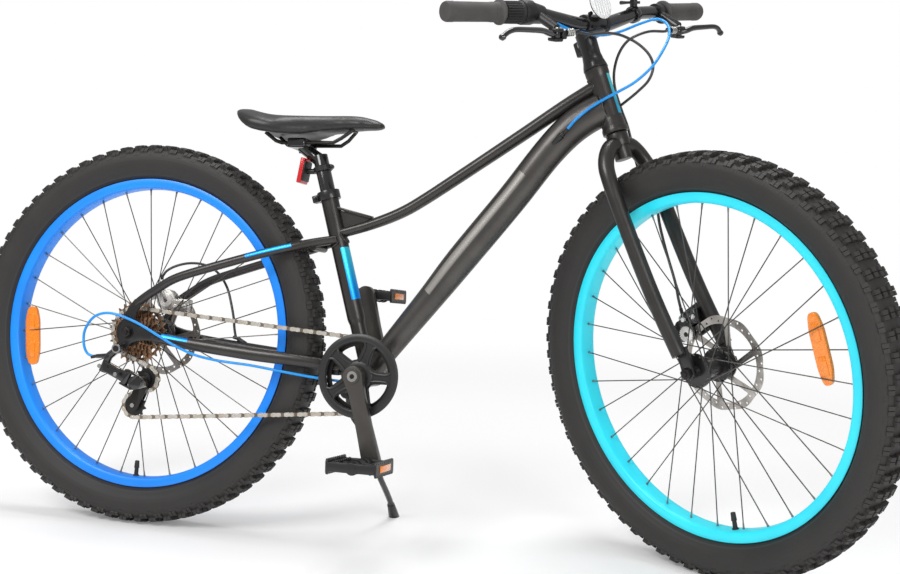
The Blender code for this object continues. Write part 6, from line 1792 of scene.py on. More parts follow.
    def chain_stay(self, side: Side) -> None:
        """One flattened chain stay with its dropout plate.

        Args:
            side: Which side of the bike.
        """
        half = side * STAY_HALF
        rows = (
            (0.108, -0.0008, 0.985 * half, 0.84), (0.16, -0.0009, 0.96 * half, 0.88),
            (0.272, -0.0011, 0.912 * half, 0.95), (0.533, 0.0017, 0.824 * half, 1),
            (0.678, 0.005, 0.735 * half, 1), (0.768, 0.0063, 0.632 * half, 0.96),
            (0.852, 0.0072, 0.47 * half, 0.9), (0.96, 0.006, 0.35 * half, 0.86),
        )
        rows = [(along, rise, y, self.stay_radius * size) for along, rise, y, size in rows]
        name = side.name.lower()
        finish = STRIPED_CHAIN_STAY if side is Side.RIGHT else CHARCOAL_PAINT
        form = swept(Form(), bowed(REAR_AXLE, BRACKET, rows), 32, 0.78)
        form.into(f"chain_stay_{name}_skin", finish, Body.FRAME, f"chain_stay_{name}")
        outline = [(0.064, 0.0045), (0.064, -0.0125), (0.024, -0.014), (0.008, -0.019)]
        if side is Side.RIGHT:
            outline += circle(0.01, 9, 0.2, -1.25 * math.pi, (-0.011, -0.0305))
        else:
            outline += [(-0.004, -0.02), (-0.013, -0.016)]
        outline += [(-0.0165, -0.006), (-0.015, 0.009), (-0.0095, 0.026), (-0.002, 0.044)]
        outline += [(0.012, 0.062), (0.024, 0.052), (0.014, 0.034), (0.0125, 0.019)]
        outline += [(0.022, 0.01)]
        outline = rounded([(x, TYRE_RADIUS + z) for x, z in outline], 0.0035)
        plate = Form().plate(outline, 0.006, side * 0.071, bevel=0.001, segments=2)
        plate.into(f"dropout_{name}", BLACK_PAINT, Body.FRAME)
        if side is Side.LEFT:
            port = Form().rod(STAY_PORT, STAY_PORT + STAY_PORT_WAY, 0.004, 0.005, 20, 0.0006)
            port.into("brake_cable_port", BLACK_PLASTIC, Body.FRAME)

    def seat_stays(self) -> None:
        """Both seat stays and the bridge between them."""
        top = up_seat_tube(SEAT_STAY_TOP)
        form = Form()
        for side in Side:
            half = side * STAY_HALF
            rows = (
                (0.079, 0.0418, 0.985 * half), (0.135, 0.0465, 0.985 * half), (0.194, 0.0496, 0.978 * half),
                (0.303, 0.0529, 0.963 * half), (0.5, 0.0415, 0.87 * half), (0.7, 0.0277, 0.765 * half),
                (0.829, 0.0175, 0.618 * half), (0.915, 0.0105, 0.42 * half), (1, 0.002, 0.19 * half),
            )
            swept(form, bowed(REAR_AXLE, top, [(*row, 0.008) for row in rows]), 28)
        bridge = REAR_AXLE.lerp(top, 0.915) + Vector((-0.007, 0, 0.002))
        form.rod(bridge - LEFT * 0.0272, bridge + LEFT * 0.0272, 0.007, sides=24)
        form.into("seat_stays_skin", STRIPED_STAYS, Body.FRAME, "seat_stays")

    def welds(self) -> None:
        """The weld beads where the tubes meet the head tube, the seat tube and each other."""
        form = Form()
        start = TOP_TUBE_END - Vector((0.06, 0, 0.0245))
        bead(form, start, TOP_TUBE_END - start, 0.0115, STEER_FOOT, STEER_UP, 0.0186, 1.3)
        start = DOWN_TUBE_END + Vector((-0.052, 0, -0.036))
        bead(form, start, DOWN_TUBE_END - start, 0.029, STEER_FOOT, STEER_UP, 0.0188, 0.86)
        low = up_seat_tube(TOP_TUBE_FOOT)
        start = low + Vector((0.05, 0, -0.012))
        bead(form, start, low - start, 0.0095, BRACKET, SEAT_UP, 0.016, 1.3)
        for side in Side:
            start = low + Vector((-0.05, side * 0.026, -0.034))
            end = up_seat_tube(SEAT_STAY_TOP) + LEFT * side * 0.011
            bead(form, start, end - start, 0.008, BRACKET, SEAT_UP, 0.016)
        form.into("weld_beads", CHARCOAL_PAINT, Body.FRAME)

    def rear_axle(self) -> None:
        """The rear axle with its nuts, washers and hollow bolt end."""
        dress_solid("rear_axle", BLACK_STEEL, Body.FRAME, 0.0005)
        washers = Form()
        for side in Side:
            start = REAR_AXLE + LEFT * side * 0.0742
            washers.rod(start, start + LEFT * side * 0.0014, 0.0118, 0.0112, 32)
        washers.into("rear_washers", BLACK_STEEL, Body.FRAME)


def cable_port(side: int) -> tuple[Vector, Vector]:
    """The end of a cable boss on the down tube, and the way the boss runs into the tube."""
    spot = STEER_FOOT + STEER_UP * (HEAD_START + 0.013) - STEER_FORWARD * 0.0805
    return spot + LEFT * side * 0.0275, Vector((-0.019, -side * 0.0085, -0.0175))


# Fork and cockpit


def bar_rise(y: float) -> float:
    """How far up its bend the handlebar is at a distance to the left, from 0 to 1."""
    return min(max((abs(y) - 0.035) / 0.095, 0), 1)


def bar_point(y: float) -> Vector:
    """The handlebar's centre at a distance to the left, in the steering frame."""
    sweep = max((abs(y) - BAR_BEND) / (BAR_HALF - BAR_BEND), 0)
    return Vector((BAR_AHEAD - 0.0107 * sweep, y, BAR_HEIGHT + 0.022 * bar_rise(y) + 0.007 * sweep))


def lever_pivot(side: Side) -> Vector:
    """Where a brake lever's pin stands, in the steering frame."""
    place = -(SHIFT_END + GAP) - 0.03 if side is Side.RIGHT else BAR_HALF - GRIP_LENGTH - 0.014
    return bar_point(side * place) + Vector((0.03, 0, -0.052))


def adjuster(side: Side) -> tuple[Vector, Vector]:
    """The end of a brake lever's cable adjuster, and the way it points, in the steering frame."""
    end = lever_pivot(side) + Vector((0.01, -side * 0.032, -0.0005))
    return end, Vector((0.124, -side * 0.992, 0))


@dataclass
class Fork:
    """The rigid fork with its crown, two swept legs, dropouts and brake tab."""

    hub_half: float = 0.05

    def build(self) -> None:
        """Build and dress the fork."""
        form = Form()
        top = CROWN_TOP
        form.rod((0, 0, top - 0.046), (0, 0, top), 0.015, sides=48, bevel=0.001)
        profile = [(0, top - 0.025), (0.0172, top - 0.0235), (0.0185, top - 0.019), (0.0185, top - 0.003)]
        profile += [(0.0178, top - 0.0008), (0, top - 0.0006)]
        form.turned(profile, axis=(0, 0, 1), closed=False)
        for side in Side:
            spread = side * (self.hub_half + 0.009)
            rows = (
                (0, 0.14, top - 0.018, 1), (0, 0.5, top - 0.026, 1), (0, 0.8, top - 0.05, 1),
                (0.08, 0.93, top - 0.085, 0.98), (0.24, 0.965, 0.7 * TYRE_RADIUS, 0.96),
                (0.44, 0.98, 0.45 * TYRE_RADIUS, 0.95), (0.64, 0.99, 0.28 * TYRE_RADIUS, 0.94),
                (0.84, 1, 0.15 * TYRE_RADIUS, 0.93), (0.93, 1, 0.088 * TYRE_RADIUS, 0.92),
            )
            line = [Vector((FORK_RAKE * u, spread * out, w, 0.0135 * size)) for u, out, w, size in rows]
            swept(form, line, 32)
        tab_turn = Matrix.Rotation(-0.25, 4, "Y")
        form.block((0.006, 0.0535, 0.082), (0.034, 0.0055, 0.052), tab_turn, 0.0015)
        form.into("fork_skin", CHARCOAL_PAINT, Body.STEERER, "fork")
        plates = Form()
        for side in Side:
            outline = circle(0.0115, 13, -math.pi, math.pi, (FORK_RAKE, 0))
            outline += [(FORK_RAKE + 0.0105, 0.12 * TYRE_RADIUS), (FORK_RAKE - 0.0095, 0.12 * TYRE_RADIUS)]
            plates.plate(outline, 0.006, side * 0.053, bevel=0.0009, segments=2)
        plates.into("fork_dropouts", BLACK_PAINT, Body.STEERER)
        dress_solid("front_axle", BLACK_STEEL, Body.STEERER, 0.0005)


@dataclass
class Cockpit:
    """Handlebar, stem, grips, twist shifter, brake levers, bell and front reflector."""

    clamp_radius: float = 0.0127
    taper: float = 0.0016
    ribs: int = 26
    blade: float = 0.142
    left_blade: float = 0.62

    def build(self) -> None:
        """Build and dress the whole cockpit."""
        self.bar()
        self.stem()
        for side in Side:
            self.grip(side)
            self.lever(side)
        self.shifter()
        self.bell()
        self.reflector()

    def bar(self) -> None:
        """The handlebar, thick at the clamp, with rounded bends."""
        places = [BAR_HALF, 0.22, 0.15, 0.12, 0.0825, 0.045, 0.028, 0]
        rows = []
        for y in [-place for place in places] + places[-2::-1]:
            rows.append(Vector((*bar_point(y), self.clamp_radius - self.taper * bar_rise(y))))
        form = swept(Form(), rows, 32)
        form.into("handlebar_skin", GLOSS_BLACK, Body.STEERER, "handlebar")

    def stem(self) -> None:
        """The stem's column, clamp and face plate with its bolts."""
        dress_solid("stem", BLACK_PAINT, Body.STEERER, 0.0012)
        bolts = Form()
        for y in (-0.014, 0.014):
            for up in (-0.0125, 0.0125):
                start = Vector((BAR_AHEAD + 0.014, y, BAR_HEIGHT + up))
                bolts.rod(start, start + Vector((0.0055, 0, 0)), 0.0036, 0.0032, 16)
        start = Vector((0, 0, HEAD_END + 0.0735))
        bolts.rod(start, start + Vector((0, 0, 0.0018)), 0.005, 0.0046, 20)
        bolts.into("stem_bolts", BLACK_STEEL, Body.STEERER)

    def grip(self, side: Side) -> None:
        """One soft grip: a flange, a plain barrel with fine grooves and a rounded end.

        Args:
            side: Which side of the bike.
        """
        inner = bar_point(side * (BAR_HALF - GRIP_LENGTH))
        outer = bar_point(side * (BAR_HALF + 0.0035))
        length = (outer - inner).length
        profile = [(0, length - 0.004), (0.0114, length - 0.004), (0.0114, 0), (0.019, 0)]
        profile += [(0.0205, 0.001), (0.0205, 0.0038), (0.0192, 0.0052), (0.0164, 0.007)]
        for groove in range(4):
            along = 0.0085 + groove * 0.003
            profile += [(0.0162, along), (0.0155, along + 0.0009), (0.0162, along + 0.0018)]
        profile += [(0.0156, 0.026), (0.0158, length - 0.018), (0.0163, length - 0.015)]
        profile += [(0.0163, length - 0.0045), (0.015, length - 0.0012), (0.011, length)]
        profile += [(0, length + 0.0004)]
        name = side.name.lower()
        form = Form().turned(profile, inner, outer - inner, 48, closed=False)
        form.into(f"grip_{name}_sleeve", GRIP_RUBBER, Body.STEERER, f"grip_{name}")

    def shifter(self) -> None:
        """The ribbed twist grip and the shifter's housing beside it."""
        start, end = bar_point(SHIFT_START), bar_point(SHIFT_END)
        length = (end - start).length
        form = Form()
        form.rod((0, 0, 0.003), (0, 0, length - 0.006), 0.0017, 0.0019, 8)
        for vert in form.bm.verts:
            vert.co.x += 0.0166
        form.row_round(self.ribs, (0, 0, 1))
        profile = [(0.0118, 0), (0.0172, 0), (0.0178, 0.001), (0.0166, 0.003)]
        profile += [(0.0172, length - 0.006), (0.0184, length - 0.003), (0.0184, length), (0.0118, length)]
        form.turned(profile, axis=(0, 0, 1))
        matrix = Stance.steering() @ facing(end - start, start)
        form.into("shift_grip_sleeve", BLACK_RUBBER, Body.TWIST_GRIP, "shift_grip", matrix)
        dress_solid("shifter_housing", BLACK_PLASTIC, Body.STEERER, 0.001)

    def lever(self, side: Side) -> None:
        """One brake lever: a slim curved blade with a ball end, its bracket and cable adjuster.

        Args:
            side: Which side of the bike.
        """
        name = side.name.lower()
        pivot = lever_pivot(side)
        pin = Vector((0.5, 0, math.cos(math.radians(30))))
        reach = side * self.blade * (1.0 if side is Side.RIGHT else self.left_blade)
        rows = (
            (0, 0, 0, 0.0044), (0.14, 0.007, -0.001, 0.005), (0.3, 0.014, 0.001, 0.0048),
            (0.55, 0.021, -0.0005, 0.0044), (0.78, 0.026, -0.002, 0.0042), (0.9, 0.026, -0.005, 0.0042),
            (0.98, 0.0235, -0.0105, 0.0042),
        )
        line = [Vector((*(pivot + Vector((u, along * reach, w))), size)) for along, u, w, size in rows]
        form = swept(Form(), line, 20)
        tip = pivot + Vector((0.0225, reach, -0.0125))
        form.turned(
            [(0, -0.0056), (0.0038, -0.0044), (0.0056, 0), (0.0038, 0.0044), (0, 0.0056)],
            tip, closed=False, sides=24,
        )
        form.rod(pivot - pin * 0.0048, pivot + pin * 0.0048, 0.0074, sides=24, bevel=0.0006)
        body = Body.LEVER_RIGHT if side is Side.RIGHT else Body.LEVER_LEFT
        form.into(f"lever_blade_{name}", GLOSS_BLACK, body, f"brake_lever_{name}")
        if side is Side.LEFT:
            dress_solid("lever_perch_left", BLACK_PAINT, Body.STEERER, 0.001)
        end, way = adjuster(side)
        barrel = Form()
        for step in range(3):
            start = end - way * (0.0135 - step * 0.0042)
            barrel.rod(start, start + way * 0.0032, 0.0064, sides=14, bevel=0.0004)
        barrel.rod(end - way * 0.015, end - way * 0.0004, 0.005, sides=20)
        barrel.into(f"cable_adjuster_{name}", BRIGHT_STEEL, Body.STEERER)
        screw = Form().rod(pivot + pin * 0.01, pivot + pin * 0.0122, 0.0042, 0.0038, 20)
        screw.into(f"lever_screw_{name}", BRIGHT_STEEL, Body.STEERER)

    def bell(self) -> None:
        """The dome bell on its post and clamp band, with its thumb striker."""
        root = bar_point(0.115)
        way = Vector((0.42, 0, 0.91)).normalized()
        centre = root + way * 0.026
        form = Form()
        profile = [(0, 0), (0.0193, 0), (0.0205, 0.0006), (0.021, 0.0022), (0.0205, 0.005)]
        profile += [(0.0193, 0.0092), (0.0165, 0.0128), (0.012, 0.0158), (0.006, 0.0175), (0, 0.018)]
        form.turned(profile, centre, way, 48, closed=False)
        form.rod(root, centre + way * 0.004, 0.0065, sides=24)
        along = (bar_point(0.121) - bar_point(0.109)).normalized()
        band = [(0.0116, -0.006), (0.0143, -0.006), (0.015, -0.005), (0.015, 0.005), (0.0143, 0.006)]
        form.turned([*band, (0.0116, 0.006)], root, along)
        form.into("bell_dome", GLOSS_BLACK, Body.STEERER, "bell")
        dress_solid("bell_striker", BLACK_PLASTIC, Body.STRIKER, 0.0006)

    def reflector(self) -> None:
        """The oval front reflector: a shallow holder with a ribbed clear lens."""
        centre = Vector((BAR_AHEAD + 0.03, 0, BAR_HEIGHT + 0.023))
        tilt = Matrix.Rotation(math.radians(3), 4, "Y")
        along = Matrix.Rotation(math.pi / 2, 4, "Y") @ Matrix.Diagonal((1.12, 1, 1, 1))
        place = Matrix.Translation(centre) @ tilt
        holder = Form()
        shell = [(0, -0.004), (0.0185, -0.004), (0.0215, -0.002), (0.0222, 0.0012), (0, 0.0012)]
        holder.turned(shell, axis=(0, 0, 1), closed=False)
        bmesh.ops.transform(holder.bm, matrix=place @ along, verts=holder.bm.verts[:])
        ring = bar_point(0.0262)
        holder.rod(ring - LEFT * 0.004, ring + LEFT * 0.004, 0.0172, sides=32, bevel=0.001)
        arm = ring + Vector((0.015, 0, 0.011))
        holder.rod(arm, centre + Vector((-0.003, 0.008, -0.006)), 0.0045, sides=16)
        holder.into("front_reflector_holder", BLACK_PLASTIC, Body.STEERER, "front_reflector")
        lens = Form()
        dome = [(0, 0.0012), (0.0233, 0.0012), (0.0235, 0.0028), (0.0215, 0.0038), (0, 0.004)]
        lens.turned(dome, axis=(0, 0, 1), closed=False)
        for step in range(-3, 4):
            y = step * 0.006
            reach = math.sqrt(0.0208**2 - y**2)
            lens.rod((-reach, y, 0.003), (reach, y, 0.003), 0.0024, sides=16, bevel=0.0005)
        matrix = Stance.steering() @ place @ along
        lens.into("front_reflector_lens", WHITE_LENS, Body.STEERER, matrix=matrix)


@dataclass
class Brakes:
    """The two disc calipers with their cast bodies, bolts and cable arms."""

    dial_radius: float = 0.0134
    knurls: int = 24

    def build(self) -> None:
        """Build and dress both calipers."""
        dress_solid("front_caliper", GLOSS_BLACK, Body.STEERER, 0.001)
        dress_solid("rear_caliper", ALLOY, Body.FRAME, 0.001)
        self.details("front", Body.STEERER, Stance.steering(), (-0.006, 0.025, 0.063), (0.0125, 0.0248))
        self.details("rear", Body.FRAME, Stance.rear_wheel(), (0.01, 0.0405, 0.063), (0.03, -0.011))
        for end, arm in (("front", Body.ARM_FRONT), ("rear", Body.ARM_REAR)):
            dress_solid(f"caliper_arm_{end}", BRIGHT_STEEL, arm, 0.0004)

    def details(self, end: str, body: Body, matrix: Matrix, face: Point, reach: Point) -> None:
        """One caliper's adjuster dial on the wheel's side, with its screw and two mounting bolts.

        Args:
            end: Which end of the bike.
            body: The body that the caliper rides on.
            matrix: The frame that the places are drawn in.
            face: The middle of the barrel's wheel-side face.
            reach: How far the bolts stand from it along X and Z.
        """
        middle = Vector(face)
        dial = Form().rod(middle, middle - LEFT * 0.0022, self.dial_radius, 0.0128, 32, 0.0004)
        for i in range(self.knurls):
            angle = 2 * math.pi * i / self.knurls
            spot = middle + around(0.0132, angle, -0.0011)
            dial.block(spot, (0.0012, 0.002, 0.0012), Matrix.Rotation(-angle, 4, "Y"))
        for step in (-1, 1):
            spot = middle + Vector((reach[0] + step * 0.01, -0.0004, reach[1]))
            dial.rod(spot + LEFT * 0.002, spot - LEFT * 0.0024, 0.0042, 0.0038, 6)
        dial.into(f"{end}_caliper_dial", DIAL_STEEL, body, matrix=matrix)
        screw = Form().rod(middle - LEFT * 0.0018, middle - LEFT * 0.0027, 0.0046, sides=6)
        screw.into(f"{end}_dial_screw", BLACK_STEEL, body, matrix=matrix)


@dataclass
class SideStand:
    """The side stand's leg with its rubber foot."""

    edge: float = 0.0006

    def build(self) -> None:
        """Dress the stand."""
        dress_solid("kickstand", BLACK_PAINT, Body.STAND, self.edge)


# Seat


@dataclass
class Seat:
    """The seat post, the padded saddle on its rails and the red reflector."""

    clamp: Vector
    voxel: float = 0.0045
    swell: float = 0.0035

    def build(self) -> None:
        """Build and dress the whole seat."""
        dress_solid("seat_post", GLOSS_BLACK, Body.SEAT, 0.0008)
        dress_solid("saddle_rails", BLACK_STEEL, Body.SEAT, 0)
        self.pad()
        self.reflector()

    def ring(self, x: float, half: float, top: float, low: float) -> list[Vector]:
        """One closed section across the saddle.

        Args:
            x: Where it lies.
            half: Half its width.
            top: The height of its top.
            low: The height of its skirt's edge.

        Returns:
            The section's points.
        """
        middle = (top + low) / 2
        under = max(low, top - 0.024)
        right = [(0, top), (0.35 * half, top - 0.0003), (0.62 * half, top - 0.0018)]
        right += [(0.84 * half, top - 0.006), (0.97 * half, middle), (0.95 * half, low)]
        right += [(0.8 * half, low + 0.0008), (0.6 * half, under), (0, under)]
        left = [(-y, z) for y, z in reversed(right[1:-1])]
        return [self.clamp + Vector((x, y, z)) for y, z in right + left]

    def pad(self) -> None:
        """The saddle's cushion: skinned over its sections, inflated a little as cloth, then smoothed."""
        rows = (
            (-0.12, 0.031, 0.0675, 0.0565), (-0.108, 0.057, 0.064, 0.0395), (-0.085, 0.073, 0.0555, 0.0205),
            (-0.055, 0.077, 0.048, 0.012), (-0.025, 0.071, 0.0455, 0.009), (0.005, 0.058, 0.046, 0.009),
            (0.035, 0.044, 0.047, 0.0145), (0.065, 0.033, 0.0482, 0.0225), (0.095, 0.027, 0.049, 0.0275),
            (0.123, 0.023, 0.0478, 0.03), (0.148, 0.019, 0.0455, 0.03), (0.16, 0.011, 0.0415, 0.031),
        )
        bm = bmesh.new()
        rings = []
        for row in smooth_route([Vector(row) for row in rows], 3):
            verts = [bm.verts.new(point) for point in self.ring(*row)]
            pairs = zip(verts, verts[1:] + verts[:1])
            rings.append([bm.edges.new(pair) for pair in pairs])
        for one, other in zip(rings, rings[1:]):
            bmesh.ops.bridge_loops(bm, edges=one + other)
        bmesh.ops.edgeloop_fill(bm, edges=rings[0])
        bmesh.ops.edgeloop_fill(bm, edges=rings[-1])
        bmesh.ops.recalc_face_normals(bm, faces=bm.faces[:])
        bmesh.ops.transform(bm, matrix=Stance.bike(), verts=bm.verts[:])
        mesh = bpy.data.meshes.new("saddle_cushion")
        bm.to_mesh(mesh)
        bm.free()
        piece = linked("saddle_cushion", mesh)
        remesh = piece.modifiers.new("even skin", "REMESH")
        remesh.mode = "VOXEL"
        remesh.voxel_size = self.voxel
        smooth = piece.modifiers.new("soft edges", "SMOOTH")
        smooth.factor = 0.5
        smooth.iterations = 6
        apply_modifiers(piece)
        inflate(piece, self.swell)
        settle = piece.modifiers.new("settled cover", "SMOOTH")
        settle.factor = 0.5
        settle.iterations = 12
        fine = piece.modifiers.new("fine skin", "SUBSURF")
        fine.levels = fine.render_levels = 1
        apply_modifiers(piece)
        piece.data.shade_smooth()
        piece.data.materials.clear()
        piece.data.materials.append(SADDLE_COVER.material())
        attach(piece, Body.SEAT.value)
        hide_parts("saddle")
        log.info("saddle_cushion: %d faces", len(piece.data.polygons))

    def reflector(self) -> None:
        """The red reflector in its black holder, on an arm from a band round the post."""
        band = SEAT_TUBE_LENGTH + 0.041
        middle = up_seat_tube(band + 0.0095, 0.0325)
        lean = Matrix.Rotation(math.radians(9), 4, "Y")
        rearward = lean.to_3x3() @ Vector((-1, 0, 0))
        holder = Form()
        profile = [(0.0139, 0), (0.016, 0), (0.0169, 0.001), (0.0169, 0.009), (0.016, 0.01)]
        holder.turned([*profile, (0.0139, 0.01)], up_seat_tube(band), SEAT_UP)
        holder.rod(up_seat_tube(band + 0.005, 0.0155), middle, 0.005, sides=20)
        holder.block(middle - rearward * 0.0005, (0.004, 0.032, 0.036), lean, 0.0015)
        screw = up_seat_tube(band + 0.005, -0.0165)
        holder.rod(screw - LEFT * 0.0045, screw + LEFT * 0.0045, 0.0044, sides=20, bevel=0.0006)
        holder.into("rear_reflector_holder", BLACK_PLASTIC, Body.SEAT, "rear_reflector")
        lens = Form().block(middle + rearward * 0.0042, (0.0078, 0.036, 0.046), lean, 0.0016, 3)
        lens.into("rear_reflector_lens", RED_LENS, Body.SEAT)


def apply_modifiers(piece: bpy.types.Object) -> None:
    """Make a piece's modified shape its own mesh.

    Args:
        piece: The piece.
    """
    graph = bpy.context.evaluated_depsgraph_get()
    mesh = bpy.data.meshes.new_from_object(piece.evaluated_get(graph))
    piece.modifiers.clear()
    piece.data = mesh


def inflate(piece: bpy.types.Object, most: float) -> None:
    """Let cloth pressure swell a piece, no point by more than the most allowed.

    Args:
        piece: The piece.
        most: The largest movement of a point.
    """
    scene = bpy.context.scene
    before = [vert.co.copy() for vert in piece.data.vertices]
    cloth = piece.modifiers.new("pressure", "CLOTH")
    cloth.settings.use_pressure = True
    cloth.settings.uniform_pressure_force = 4.0
    cloth.settings.effector_weights.gravity = 0.0
    for number in range(1, 21):
        scene.frame_set(number)
    apply_modifiers(piece)
    for vert, start in zip(piece.data.vertices, before):
        move = vert.co - start
        if move.length > most:
            vert.co = start + move.normalized() * most
    scene.frame_set(1)


# Cables


@dataclass
class Cables:
    """The brake and gear cables, each held along its whole way."""

    radius: float = 0.0024

    def build(self) -> None:
        """Build and dress every cable."""
        low = Stance.bike() @ (STEER_FOOT + STEER_UP * (HEAD_START + 0.03))
        high = Stance.bike() @ (STEER_FOOT + STEER_UP * (HEAD_END + 0.045))
        across = (Body.FRAME, Body.STEERER, low, high)
        for name, route, finish, body, blend in (
            ("shift_cable_front", self.shift_front(), BLUE_CASING, Body.STEERER, across),
            ("rear_brake_cable_front", self.rear_brake_front(), BLACK_CASING, Body.STEERER, across),
            ("front_brake_cable", self.front_brake(), BLACK_CASING, Body.STEERER, None),
            ("shift_cable_rear", self.shift_rear(), BLUE_CASING, Body.FRAME, None),
            ("rear_brake_cable_rear", self.rear_brake_rear(), BLACK_CASING, Body.FRAME, None),
        ):
            self.cable(name, route, finish, body, blend)

    def cable(self, name: str, route: list[Point], finish: Finish, body: Body, blend: Span | None) -> None:
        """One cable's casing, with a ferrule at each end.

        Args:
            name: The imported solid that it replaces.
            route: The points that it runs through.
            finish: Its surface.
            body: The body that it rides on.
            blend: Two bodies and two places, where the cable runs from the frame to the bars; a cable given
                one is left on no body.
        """
        fine = smooth_route(route, 6)
        form = Form().tube(fine, self.radius, 14)
        caps = Form()
        for end, after in ((fine[0], fine[2]), (fine[-1], fine[-3])):
            way = (after - end).normalized()
            caps.rod(end + way * 0.0002, end + way * 0.0095, self.radius + 0.0007, sides=14)
        form.into(f"{name}_casing", finish, body, name, blend=blend)
        caps.into(f"{name}_ferrules", BLACK_PLASTIC, body, blend=blend)

    def adjuster(self, side: Side, beyond: float = CABLE_END_GAP) -> Vector:
        """A point this far beyond a brake lever's cable adjuster, in the steering frame."""
        end, way = adjuster(side)
        return end + way * beyond

    def port(self, side: int, beyond: float = CABLE_END_GAP) -> Vector:
        """A point this far outside a down tube port, seen from the turned steering frame.

        Args:
            side: Which side of the bike.
            beyond: How far outside.

        Returns:
            The point, in the steering frame.
        """
        spot, way = cable_port(side)
        spot = spot - way.normalized() * beyond - STEER_FOOT
        straight = Vector((spot.dot(STEER_FORWARD), spot.y, spot.dot(STEER_UP)))
        return Matrix.Rotation(-Stance.steer, 3, "Z") @ straight

    def outlet(self, beyond: float = CABLE_END_GAP) -> Vector:
        """A point on the shifter's cable outlet, this far beyond its end, in the steering frame."""
        end = bar_point(SHIFT_END + GAP + 0.046) + Vector((0.0125, 0.004, -0.015))
        return end + Vector((-0.02, 0.93, -0.36)) * beyond

    def shift_front(self) -> list[Point]:
        """The gear cable's way from the shifter to the down tube."""
        return [
            self.outlet(), self.outlet(0.006), (0.03, -0.085, 0.603), (0.0265, -0.05, 0.5945),
            (0.031, 0, 0.585), (0.04, 0.04, 0.5865), (0.048, 0.09, 0.5975), (0.062, 0.12, 0.5995),
            (0.077, 0.123, 0.583), (0.086, 0.108, 0.56), (0.087, 0.083, 0.536), (0.078, 0.05, 0.508),
            (0.056, 0.022, 0.49), (0.033, -0.002, 0.482), (0.015, -0.0205, 0.477),
            (-0.0057, -0.0403, 0.4695), (-0.0262, -0.0572, 0.459), self.port(-1, 0.006), self.port(-1),
        ]

    def rear_brake_front(self) -> list[Point]:
        """The rear brake cable's way from the right lever to the down tube."""
        return [
            self.adjuster(Side.RIGHT), self.adjuster(Side.RIGHT, 0.007), (0.06, -0.06, 0.574),
            (0.057, -0.02, 0.577), (0.055, 0.005, 0.577), (0.0545, 0.03, 0.572), (0.06, 0.052, 0.556),
            (0.064, 0.067, 0.534), (0.062, 0.07, 0.512), (0.05, 0.0625, 0.493), (0.028, 0.053, 0.482),
            (0.003, 0.044, 0.474), (-0.022, 0.032, 0.466), (-0.046, 0.014, 0.457), self.port(1, 0.009),
            self.port(1),
        ]

    def front_brake(self) -> list[Point]:
        """The front brake cable's way from the left lever down inside the left leg."""
        return [
            self.adjuster(Side.LEFT), self.adjuster(Side.LEFT, 0.007), (0.064, 0.126, 0.5755),
            (0.058, 0.095, 0.5785), (0.047, 0.068, 0.575), (0.033, 0.054, 0.568), (0.013, 0.049, 0.553),
            (-0.006, 0.049, 0.53), (-0.015, 0.05, 0.503), (-0.017, 0.052, 0.469),
            (-0.0165, 0.0535, 0.436), (-0.0185, 0.0525, 0.4), (-0.0185, 0.049, 0.368),
            (-0.012, 0.044, 0.338), (-0.002, 0.0405, 0.312), (0.0035, 0.039, 0.285),
            (-0.004, 0.0405, 0.25), (-0.0125, 0.0465, 0.205), (-0.016, 0.049, 0.155),
            (-0.0187, 0.047, 0.125), (-0.0187, 0.0446, 0.0985 + CABLE_END_GAP),
        ]

    def shift_rear(self) -> list[Point]:
        """The gear cable's way under the right chain stay and round to the derailleur.

        Returns:
            The route.
        """
        run = Vector((0.064, 0, -0.027)).normalized()
        pin = Vector((-run.z, 0, run.x))
        stop = LINK_START + Vector((-0.0165, -0.003, 0.0165))
        way = (stop - (LINK_START + pin * 0.02)).normalized()
        bracket_rows = (
            (-0.0193, -0.03, -0.0129), (-0.045, -0.037, -0.0115), (-0.0815, -0.043, -0.0085),
            (-0.12, -0.049, -0.004), (-0.16, -0.053, 0.001),
        )
        axle_rows = (
            (0.237, -0.056, -0.0465), (0.203, -0.059, -0.044), (0.171, -0.0625, -0.041),
            (0.136, -0.0705, -0.034), (0.102, -0.0775, -0.021), (0.067, -0.081, -0.0035),
            (0.028, -0.084, 0.016), (-0.009, -0.086, 0.029), (-0.039, -0.087, 0.0325),
            (-0.064, -0.0875, 0.023), (-0.079, -0.0885, -0.001), (-0.079, -0.089, -0.026),
            (-0.071, -0.089, -0.042),
        )
        route = [BRACKET + Vector(row) for row in bracket_rows]
        route += [REAR_AXLE + Vector(row) for row in axle_rows]
        return [*route, stop + way * 0.006, stop + way * CABLE_END_GAP]

    def rear_brake_rear(self) -> list[Point]:
        """The rear brake cable's way from the left chain stay over the seat stay to the caliper.

        Returns:
            The route.
        """
        way = STAY_PORT_WAY.normalized()
        rows = (
            (0.145, 0.064, 0.015), (0.14, 0.068, 0.036), (0.13, 0.075, 0.062), (0.119, 0.081, 0.087),
            (0.106, 0.083, 0.107), (0.09, 0.08, 0.124), (0.068, 0.073, 0.134), (0.044, 0.064, 0.135),
            (0.022, 0.0555, 0.129), (0.0055, 0.049, 0.119), (-0.0025, 0.0463, 0.107),
            (-0.0035, 0.046, 0.1 + CABLE_END_GAP),
        )
        ends = [STAY_PORT - way * CABLE_END_GAP, STAY_PORT - way * 0.0055]
        return ends + [REAR_AXLE + Vector(row) for row in rows]


# Studio


